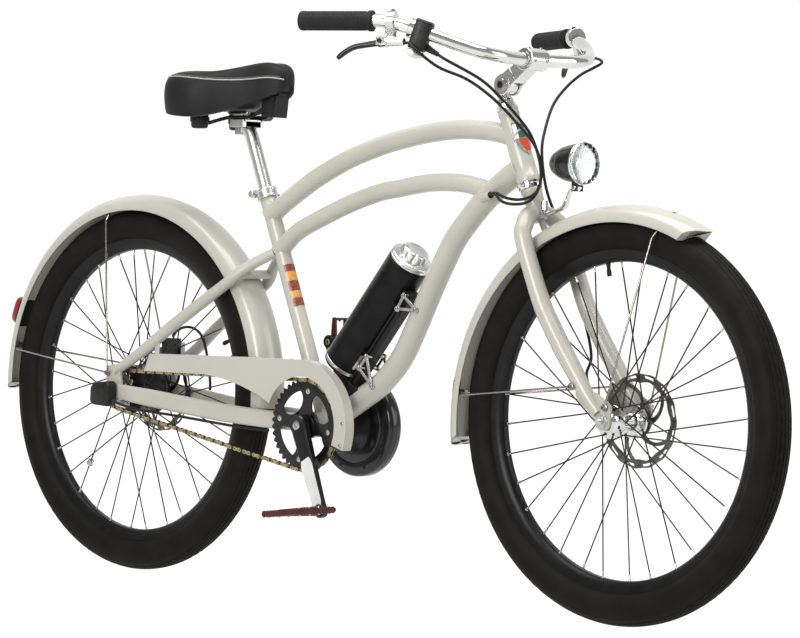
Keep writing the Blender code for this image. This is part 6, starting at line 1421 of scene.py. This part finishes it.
piece("lamp_bezel", [skin(bezel_rings, closed=True)], chrome, "headlight")
reflector_silver = finish("reflector_silver", (0.6, 0.6, 0.59), (0.42, 0.42, 0.41), metal=1.0,
                          rough=(0.16, 0.26), grain=160.0)
bowl_run = [(0.0088, 0.033), (0.005, 0.0315), (0.0, 0.029), (-0.008, 0.024), (-0.015, 0.0175),
            (-0.019, 0.011), (-0.0205, 0.005)]
piece("lamp_reflector", [lamp_part(bowl_run, 144, 18, 0.13),
                         lamp_part([(-0.02, 0.0045), (-0.012, 0.0045), (-0.01, 0.003)], 24)],
      reflector_silver, "headlight")
bolt_ends = [cap_screw((LAMP_AT[0], side * 0.0083, LAMP_AT[1]), (0, side, 0), 0.0042, 0.0022) for side in (1, -1)]
piece("lamp_bolt", bolt_ends, screw_steel, "headlight")
lens_glass = finish("moulded_lens", (0.9, 0.92, 0.92), (0.84, 0.87, 0.88), rough=(0.0, 0.04), grain=40.0, fine=350.0,
                    relief=0.00001)
glass_sockets = lens_glass.node_tree.nodes["Principled BSDF"].inputs
glass_sockets["Transmission Weight"].default_value = 1.0
glass_sockets["IOR"].default_value = 1.18
lens_run = [(0.0112, 0.0342), (0.0176, 0.035), (0.0188, 0.0346), (0.0196, 0.0335)]
for k in range(1, 9):
    r = 0.0335 - 0.004 * k
    lens_run += [(0.0199 + 0.001 * k, r + 0.001), (0.0201 + 0.001 * k, r)]
piece("lamp_lens", [lamp_part(lens_run, 96, facets=32)], lens_glass, "headlight",
      ["headlight_lens"], sharp=20)

# Brake calipers: two black forged halves astride each rotor, joined by bolts. A round plug closes
# the piston's bore, and the hose goes in at the end.
CAL_SLOT = 0.0018


def caliper(low, high, rotor_y, open_from, along_z):
    """The two halves beside the rotor and the bridge over its edge. open_from is where the bridge starts."""
    shapes = []
    for y0, y1 in ((low[1], rotor_y - CAL_SLOT), (rotor_y + CAL_SLOT, high[1])):
        shapes.append(block((low[0], y0, low[2]), (high[0], y1, high[2])))
    if along_z:
        shapes.append(block((low[0] + 0.0003, low[1] + 0.0003, open_from),
                            (high[0] - 0.0003, high[1] - 0.0003, high[2] - 0.0003)))
    else:
        shapes.append(block((low[0] + 0.0003, low[1] + 0.0003, low[2] + 0.0003),
                            (open_from, high[1] - 0.0003, high[2] - 0.0003)))
    return shapes


front_low, front_high = (FRONT[0] - 0.086, 0.0275, FRONT[1] - 0.016), (FRONT[0] - 0.0502, 0.05, FRONT[1] + 0.024)
rear_low, rear_high = (REAR[0] + 0.0082, 0.0405, REAR[1] + 0.064), (REAR[0] + 0.0462, 0.0575, REAR[1] + 0.098)
front_caliper = caliper(front_low, front_high, FRONT_ROTOR_Y, FRONT[0] - 0.0818, False)
rear_caliper = caliper(rear_low, rear_high, REAR_ROTOR_Y, REAR[1] + 0.082, True)
piece("front_caliper_halves", front_caliper, arm_black, "steering", ["front_caliper"],
      soft=0.0028)
piece("rear_caliper_halves", rear_caliper, arm_black, "chassis", ["rear_caliper"], soft=0.0028)
front_bits = [cap_screw((front_low[0] + dx, front_low[1] + 0.0004, front_low[2] + dz), (0, -1, 0), 0.0034, 0.001)
              for dx, dz in ((0.0065, 0.007), (0.0065, 0.033))]
front_bits += [disc(0.0105, front_low[1] - 0.0006, front_low[1] + 0.001,
                    (FRONT[0] - 0.0655, FRONT[1] + 0.004), 36, 0.0005)]
piece("front_caliper_bolts", front_bits, screw_steel, "steering")
rear_bits = [cap_screw((REAR[0] + dx, rear_high[1] - 0.0004, REAR[1] + 0.09), (0, 1, 0), 0.0034, 0.001)
             for dx in (0.014, 0.04)]
rear_bits += [disc(0.01, rear_high[1] - 0.001, rear_high[1] + 0.0006, (REAR[0] + 0.0272, REAR[1] + 0.076), 36, 0.0005)]
piece("rear_caliper_bolts", rear_bits, screw_steel, "chassis")

# Stem arm and handlebar: a polished arm with two cheeks on the pivot and a clamp round a chromed
# steel bar, which rises and sweeps back to the grips.
REACH_X, REACH_Z = 0.0561, 0.0418
BAR_AT = (PIVOT.x + REACH_X, PIVOT.z + REACH_Z)
arm_dir = Vector((REACH_X, 0, REACH_Z)).normalized()
arm_up = Vector((-arm_dir.z, 0, arm_dir.x))
REACH = hypot(REACH_X, REACH_Z)


def arm_slab(s0, s1, h0, h1, y0, y1):
    points = [PIVOT + arm_dir * s + arm_up * up for s, up in ((s0, -h0), (s1, -h1), (s1, h1), (s0, h0))]
    return slab([(p.x, p.z) for p in points], y0, y1)


arm_shapes = [arm_slab(0.021, REACH - 0.005, 0.013, 0.0125, -0.0148, 0.0148)]
for side in (1, -1):
    arm_shapes.append(arm_slab(0.0, 0.03, 0.015, 0.0135, *sorted((side * 0.0111, side * 0.0166))))
    arm_shapes.append(disc(0.0185, side * 0.0111, side * 0.0168, PIVOT_AT, 52, 0.0012))
clamp_profile = [(0.0129, -0.023), (0.0185, -0.023), (0.0195, -0.0222), (0.0195, 0.0222),
                 (0.0185, 0.023), (0.0129, 0.023)]
arm_shapes.append(turned(clamp_profile, BAR_AT, 56))
piece("stem_arm_polished", arm_shapes, chrome, "bars", ["stem_arm"], soft=0.0022)
bolt_black = finish("bolt_black", 0.0067, 0.0042, rough=(0.3, 0.45), grain=80.0, specular=0.2)
stem_bolts, stem_caps = [], []
for side in (1, -1):
    stem_bolts.append(hexagon(PIVOT_AT, 0.0112, side * 0.0166, side * 0.0206))
    stem_caps.append(disc(0.0062, side * 0.02, side * 0.0211, PIVOT_AT, 32, 0.0003))
    for up in (1, -1):
        at = Vector((BAR_AT[0], side * 0.015, BAR_AT[1])) + arm_dir * 0.0125 + arm_up * (up * 0.0125)
        stem_bolts.append(cap_screw(at, arm_dir, 0.0032, 0.0035))
piece("stem_bolts", stem_bolts, screw_steel, "bars", sharp=30)
piece("stem_bolt_centres", stem_caps, bolt_black, "bars")
SWEEP, DROP = radians(24.7), radians(75.0)
GRIP_L = 0.132
grip_dir = Vector((-cos(SWEEP), -sin(SWEEP), 0.0))
grip_in = Vector((BAR_AT[0] - 0.1393, -0.247, BAR_AT[1] + 0.054))
bar_half = near(BAR_AT, [
    (0.0, 0.0, 0.0), (0.0, -0.028, 0.0), (0.004, -0.052, 0.0002), (0.0085, -0.09, 0.001),
    (0.003, -0.13, 0.005), (-0.019, -0.165, 0.016), (-0.05, -0.194, 0.03), (-0.09, -0.221, 0.045),
]) + [tuple(grip_in + grip_dir * s) for s in (-0.015, 0.02, GRIP_L - 0.004)]
bar_line = smooth_run(other_side(bar_half)[::-1] + bar_half[1:], 121)


def bar_radius(p):
    """The bar is thicker where the stem holds it."""
    return 0.0127 - 0.0016 * min(max((abs(p.y) - 0.026) / 0.014, 0.0), 1.0)


bar_tube = tube(bar_line, [bar_radius(p) for p in bar_line], 40, up=(0, 0, 1))
piece("swept_handlebar", [bar_tube], chrome, "bars", ["handlebar"])

# Grips: black rubber sleeves with shallow ribs, a collar at the inner end and a closed outer end.
# They are moulded in one piece and pushed on to the ends of the bar.
grip_rubber = finish("grip_rubber", 0.0101, 0.0067, rough=(0.6, 0.8), grain=60.0, fine=800.0,
                     relief=0.00012, specular=0.2)
lever_out = Vector((sin(SWEEP), -cos(SWEEP), 0)) * cos(DROP) + Vector((0, 0, -sin(DROP)))
lever_hinge = grip_dir.cross(lever_out)


def on_grip(s, drop=0.0, side=1, across_by=0.0):
    """A point s along the grip from its inner end, drop towards the lever. side -1 is the left grip."""
    p = grip_in + grip_dir * s + lever_out * drop + lever_hinge * across_by
    return Vector((p.x, p.y * side, p.z))


grip_stops = [(0.0, 0.0168), (0.0006, 0.0178), (0.007, 0.0178), (0.0076, 0.017), (0.008, 0.016), (0.011, 0.016)]
for k in range(22):
    s = 0.013 + 0.0048 * k
    grip_stops += [(s, 0.016), (s + 0.0008, 0.0166), (s + 0.003, 0.0166), (s + 0.0038, 0.016)]
grip_stops += [(0.119, 0.016), (0.12, 0.0167), (0.1262, 0.0167), (0.1295, 0.016), (0.1312, 0.014), (0.132, 0.011)]
for side, name in ((1, "right"), (-1, "left")):
    piece(f"{name}_grip_sleeve", [turned_on(lambda s: on_grip(s, side=side), grip_stops, 40)],
          grip_rubber, "bars", [f"grip_{name}"], sharp=50)

# Brake levers: silver hydraulic bodies clamped to the bar, their reservoirs capped in black, with
# curved black blades hinged in their forks.
HINGE_S, HINGE_D = -0.0173, 0.0372


def lever_block(s0, s1, d0, d1, a0, a1, side):
    return skin([[on_grip(s, d, side, a) for d, a in ((d0, a0), (d1, a0), (d1, a1), (d0, a1))] for s in (s0, s1)])


for side, name in ((1, "right"), (-1, "left")):
    clamp = [(-0.04, 0.0166), (-0.0394, 0.0173), (-0.0266, 0.0173), (-0.026, 0.0166)]
    cylinder = [(-0.059, 0.0052), (-0.0582, 0.0066), (-0.056, 0.007), (-0.046, 0.0082), (-0.03, 0.0086),
                (-0.0262, 0.0084), (-0.025, 0.007)]
    shapes = [turned_on(lambda s: on_grip(s, 0.0, side), clamp, 44),
              lever_block(-0.041, -0.025, 0.012, 0.03, -0.0068, 0.0068, side),
              turned_on(lambda s: on_grip(s, 0.036, side), cylinder, 36),
              lever_block(-0.03, -0.011, 0.029, 0.044, -0.0082, -0.0052, side),
              lever_block(-0.03, -0.011, 0.029, 0.044, 0.0052, 0.0082, side)]
    piece(f"{name}_brake_body", shapes, polished, "bars", [f"brake_body_{name}"], soft=0.0014)
    hinge_way = Vector((lever_hinge.x, lever_hinge.y * side, lever_hinge.z))
    caps = [cap_screw(on_grip(HINGE_S, HINGE_D, side, 0.008 * s), hinge_way * s, 0.0042, 0.0022) for s in (1, -1)]
    caps.append(cap_screw(on_grip(-0.033, -0.0168, side), on_grip(0, -1, side) - on_grip(0, 0, side), 0.0036, 0.003))
    caps.append(tube([on_grip(-0.06, 0.036, side), on_grip(-0.0594, 0.036, side), on_grip(-0.056, 0.036, side)],
                     [0.004, 0.005, 0.0052], 24))
    piece(f"{name}_brake_caps", caps, bolt_black, "bars")
    blade_line = smooth_run([on_grip(s, d, side) for s, d in (
        (-0.0215, 0.0372), (-0.006, 0.04), (0.013, 0.0432), (0.03, 0.047), (0.045, 0.056), (0.0565, 0.0665))], 26)
    wide = [0.0094] * 8 + [0.0098, 0.0102, 0.0106, 0.011, 0.0112, 0.0114, 0.0115, 0.0115, 0.0115, 0.0114, 0.0112, 0.011,
                           0.0108, 0.0104, 0.0098, 0.009, 0.008, 0.006]
    high = [0.009, 0.0098] + [0.01] * 6 + [0.0094, 0.009, 0.0087, 0.0085, 0.0084, 0.0082, 0.008, 0.0079, 0.0078, 0.0077,
                                              0.0076, 0.0076, 0.0078, 0.008, 0.0084, 0.0084, 0.0078, 0.006]
    blade = flat_bar(blade_line, wide, high, up=(lever_out.x, lever_out.y * side, lever_out.z), corner=0.42, steps=5)
    piece(f"{name}_brake_blade", [blade], lever_black, f"lever_{name}",
          [f"brake_lever_{name}"])

# Shifter: a black housing on the bar inboard of the right brake, with a bright clamp band, a rubber
# boot where the cable leaves it and a silver thumb paddle below.
fine_bar = smooth_run(bar_half, 400)
bar_k = min(range(1, 399), key=lambda k: abs((fine_bar[k] - grip_in).length - 0.085) + (fine_bar[k].y < grip_in.y))
bar_here = fine_bar[bar_k]
bar_dir = (fine_bar[bar_k + 1] - fine_bar[bar_k - 1]).normalized()
down_dir = (Vector((0, 0, -1)) - bar_dir * (-bar_dir.z)).normalized()
side_dir = bar_dir.cross(down_dir).normalized()


def by_bar(s, d, a=0.0):
    """A point s along the bar from the shifter's middle, d below it, and a to the side."""
    return bar_here + bar_dir * s + down_dir * d + side_dir * a


shifter_rings = []
for s, grow in ((-0.017, -0.003), (-0.016, -0.001), (-0.014, 0.0), (-0.003, 0.0), (-0.0028, -0.0006),
                (-0.0018, -0.0006), (-0.0016, 0.0), (0.01, 0.0), (0.0114, -0.001), (0.012, -0.0028)):
    ring = []
    for d, a in rounded([(-0.02, -0.0155), (0.032, -0.0155), (0.032, 0.0155), (-0.02, 0.0155)], 0.006, 5):
        mid = 0.006
        ring.append(by_bar(s, mid + (d - mid) * (1 + grow / 0.026), a * (1 + grow / 0.0155)))
    shifter_rings.append(ring)
boot = [(0.015, 0.0215, 0.0, 0.0068), (0.0175, 0.0222, 0.0, 0.007), (0.02, 0.0228, 0.0004, 0.0058),
        (0.0215, 0.0232, 0.0006, 0.0064), (0.024, 0.0238, 0.0008, 0.0053), (0.0255, 0.0242, 0.001, 0.0059),
        (0.028, 0.0248, 0.0012, 0.0048), (0.03, 0.0252, 0.0014, 0.0053), (0.033, 0.0258, 0.0016, 0.0044),
        (0.04, 0.027, 0.002, 0.0042)]
piece("shifter_housing", [skin(shifter_rings),
                          tube([by_bar(-s, d, a) for s, d, a, r in boot], [r for s, d, a, r in boot], 28)],
      shift_black, "bars", ["shifter_body"])
ring = tube([by_bar(s, 0.0) for s in (0.0112, 0.012, 0.0202, 0.021)], [0.0163, 0.0171, 0.0171, 0.0163], 44)
piece("shifter_clamp", [ring], polished, "bars")
PADDLE_TOP = 0.0326
paddle_rings = []
for a, grow in ((-0.01, 0.72), (-0.0092, 0.92), (-0.0075, 1.0), (0.0075, 1.0), (0.0092, 0.92), (0.01, 0.72)):
    outline = rounded([(-0.016, 0.0), (0.008, 0.0), (0.015, 0.003), (0.015, 0.006), (0.002, 0.013), (-0.006, 0.013),
                       (-0.021, 0.006)], 0.0014, 3)
    paddle_rings.append([by_bar(-0.002 + (s + 0.002) * grow, PADDLE_TOP + 0.006 + (d - 0.006) * grow, a)
                         for s, d in outline])
piece("thumb_paddle", [skin(paddle_rings)], polished, "paddle", ["shift_paddle"])

# Brake hoses and shift cable: black outer casings just over 5 mm thick. From the bar they swing ahead
# of the head tube. Two go in at the down tube's port, and one runs down the fork to its caliper.
casing = finish("cable_casing", 0.0084, 0.0055, rough=(0.34, 0.5), grain=60.0, fine=900.0,
                relief=0.00005, specular=0.2)
HOSE_R = 0.0026
port_side = Vector((-port_way.y, port_way.x, 0)).normalized()
cable_in, hose_in = port_side * 0.0027, port_side * -0.0027
routes = {
    "shift_cable": [
        by_bar(-0.0407, 0.0272, 0.0021), by_bar(-0.056, 0.031, 0.004), (0.3829, -0.14, 0.903), (0.4017, -0.11, 0.8742),
        (0.421, -0.075, 0.8339), (0.429, -0.055, 0.8046), (0.431, -0.038, 0.7633), (0.4247, -0.03, 0.7299),
        (0.408, -0.03, 0.712), (0.378, -0.029, 0.705), (0.342, -0.024, 0.708), PORT + port_way * 0.016 + cable_in,
        PORT + port_way * 0.002 + cable_in],
    "rear_brake_hose": [
        on_grip(-0.0592, 0.04, 1, 0.0035), on_grip(-0.07, 0.041, 1, 0.006), on_grip(-0.082, 0.052, 1, 0.01),
        (0.342, -0.2, 0.921), (0.37, -0.156, 0.901), (0.398, -0.119, 0.869), (0.424, -0.082, 0.825),
        (0.436, -0.056, 0.792), (0.438, -0.042, 0.754), (0.427, -0.039, 0.719), (0.405, -0.038, 0.701),
        (0.37, -0.035, 0.697), (0.338, -0.03, 0.702), PORT + port_way * 0.016 + hose_in,
        PORT + port_way * 0.002 + hose_in],
    "front_brake_hose": [
        on_grip(-0.0586, 0.036, -1), on_grip(-0.07, 0.036, -1), (0.345, 0.206, 0.956), (0.36, 0.196, 0.949),
        (0.348, 0.188, 0.94), (0.326, 0.18, 0.928), (0.315, 0.155, 0.905), (0.308, 0.13, 0.8733),
        (0.3171, 0.1, 0.8286), (0.329, 0.08, 0.79), (0.35, 0.068, 0.7325), (0.372, 0.068, 0.685),
        (0.396, 0.08, 0.63), (0.41, 0.078, 0.5657), (0.4417, 0.077, 0.495), (0.462, 0.07, 0.442),
        (0.461, 0.06, 0.411), (0.482, 0.051, 0.377), (0.5, 0.0445, 0.353), (0.506, 0.044, 0.352),
        (0.5113, 0.044, 0.352)],
    "rear_hose_tail": near(REAR, [
        (0.0362, 0.045, 0.0996), (0.0372, 0.045, 0.106), (0.0462, 0.045, 0.112), (0.0632, 0.045, 0.119),
        (0.0854, 0.045, 0.12), (0.1052, 0.045, 0.113), (0.1182, 0.0455, 0.1), (0.1252, 0.048, 0.078),
        (0.1272, 0.054, 0.045), (0.1262, 0.059, 0.02), (0.1257, 0.06, 0.0032)]),
    "shift_cable_tail": [
        (-0.2, -0.048, 0.284), (-0.26, -0.05, 0.2855), (-0.335, -0.054, 0.291), (-0.43, -0.062, 0.299),
        (-0.52, -0.073, 0.306), (-0.56, -0.083, 0.314), (-0.5786, -0.088, 0.32)],
}


def casing_piece(name, run, body, hides):
    """One stretch of casing as a tube along its points."""
    obj = piece(name, [tube(run, HOSE_R, 14)], casing, body, hides)
    return obj


SPLITS = {"shift_cable": 0.812, "rear_brake_hose": 0.812, "front_brake_hose": 0.79}
for name, points in routes.items():
    rough_run = smooth_run(points, 60)
    length = sum((b - a).length for a, b in zip(rough_run, rough_run[1:]))
    run = smooth_run(points, int(length / 0.0045) + 2)
    if name not in SPLITS:
        casing_piece(f"{name}_casing", run, "chassis", [name])
        continue
    k = next(i for i, p in enumerate(run) if p.z < SPLITS[name])
    if name == "front_brake_hose":
        whole = casing_piece(f"{name}_casing", run, None, [name])
        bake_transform(whole)
        continue
    upper = casing_piece(f"{name}_upper_casing", run[:k + 1], None, [name])
    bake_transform(upper)
    lower = casing_piece(f"{name}_lower_casing", run[k:], None, [name])
    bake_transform(lower)

# Studio: a pale sweep of paper below and far behind, lit from above by one wide soft light, with two
# weaker ones in front and at the side. The camera stands where the photograph was taken from.
paper = finish("pale_paper", (0.125, 0.125, 0.124), (0.12, 0.12, 0.119), rough=(0.75, 0.85), grain=2.0,
               fine=300.0, relief=0.00001)
paper_sockets = paper.node_tree.nodes["Principled BSDF"].inputs
paper_sockets["Emission Color"].default_value = (1.0, 1.0, 0.99, 1.0)
paper_sockets["Emission Strength"].default_value = 0.96
AZIM, ELEV, ROLL, AWAY = 0.7672, 0.0185, 0.0248, 6.2175
FOCAL_PX, PICTURE_WIDE, SENSOR = 3535.6, 800, 36.0
view = Vector((-sin(AZIM) * cos(ELEV), cos(AZIM) * cos(ELEV), -sin(ELEV)))
level = Vector((cos(AZIM), sin(AZIM), 0))
rise = level.cross(view)
right = level * cos(ROLL) + rise * sin(ROLL)
above = rise * cos(ROLL) - level * sin(ROLL)
target = Vector((0.0764 + SHIFT, 0, 0.4937))
spot = target - view * AWAY
camera_data = bpy.data.cameras.new("photo_camera")
camera_data.sensor_width = SENSOR
camera_data.lens = FOCAL_PX * SENSOR / PICTURE_WIDE
camera_data.clip_end = 160.0
camera = put(bpy.data.objects.new("photo_camera", camera_data))
camera.matrix_world = Matrix([[right.x, above.x, -view.x, spot.x], [right.y, above.y, -view.y, spot.y],
                              [right.z, above.z, -view.z, spot.z], [0, 0, 0, 1]])
bpy.context.scene.camera = camera

back = Vector((-sin(AZIM), cos(AZIM), 0))
sweep_points, sweep_faces = [], []
FLAT_TO, BEND_R, PAPER_HALF = 22.0, 6.0, 45.0
profile = [(-40.0, 0.0), (0.0, 0.0), (FLAT_TO, 0.0)]
profile += [(FLAT_TO + BEND_R * sin(t), BEND_R - BEND_R * cos(t)) for t in [pi / 2 * k / 14 for k in range(1, 15)]]
profile.append((FLAT_TO + BEND_R, 40.0))
for depth, height in profile:
    for wide in (-PAPER_HALF, PAPER_HALF):
        p = target + back * depth + level * wide
        sweep_points.append((p.x, p.y, height))
for k in range(len(profile) - 1):
    sweep_faces.append((2 * k, 2 * k + 1, 2 * k + 3, 2 * k + 2))
sweep_mesh = bpy.data.meshes.new("paper_sweep")
sweep_mesh.from_pydata(sweep_points, [], sweep_faces)
sweep_mesh.polygons.foreach_set("use_smooth", [True] * len(sweep_mesh.polygons))
sweep_mesh.materials.append(paper)
sweep = put(bpy.data.objects.new("paper_sweep", sweep_mesh))
sweep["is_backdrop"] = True


def soft_light(name, at, aim, wide, tall, power):
    data = bpy.data.lights.new(name, "AREA")
    data.shape = "RECTANGLE"
    data.size, data.size_y, data.energy = wide, tall, power
    lamp = put(bpy.data.objects.new(name, data))
    lamp.location = at
    lamp.rotation_euler = (Vector(aim) - Vector(at)).to_track_quat("-Z", "Y").to_euler()


soft_light("overhead_light", target - back * 0.6 + Vector((0, 0, 3.2)), target, 4.6, 2.2, 215)
soft_light("front_light", target - back * 4.0 - level * 2.4 + Vector((0, 0, 1.5)), target, 1.8, 2.4, 185)
soft_light("side_light", target - back * 0.5 + level * 4.0 + Vector((0, 0, 1.2)), target, 1.2, 2.4, 40)
bpy.context.scene.view_settings.view_transform = "Standard"
world = bpy.data.worlds.new("studio_air")
world.use_nodes = True
air_sockets = world.node_tree.nodes["Background"].inputs
air_sockets["Color"].default_value = (1.0, 1.0, 1.0, 1.0)
air_sockets["Strength"].default_value = 0.42
bpy.context.scene.world = world

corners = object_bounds()
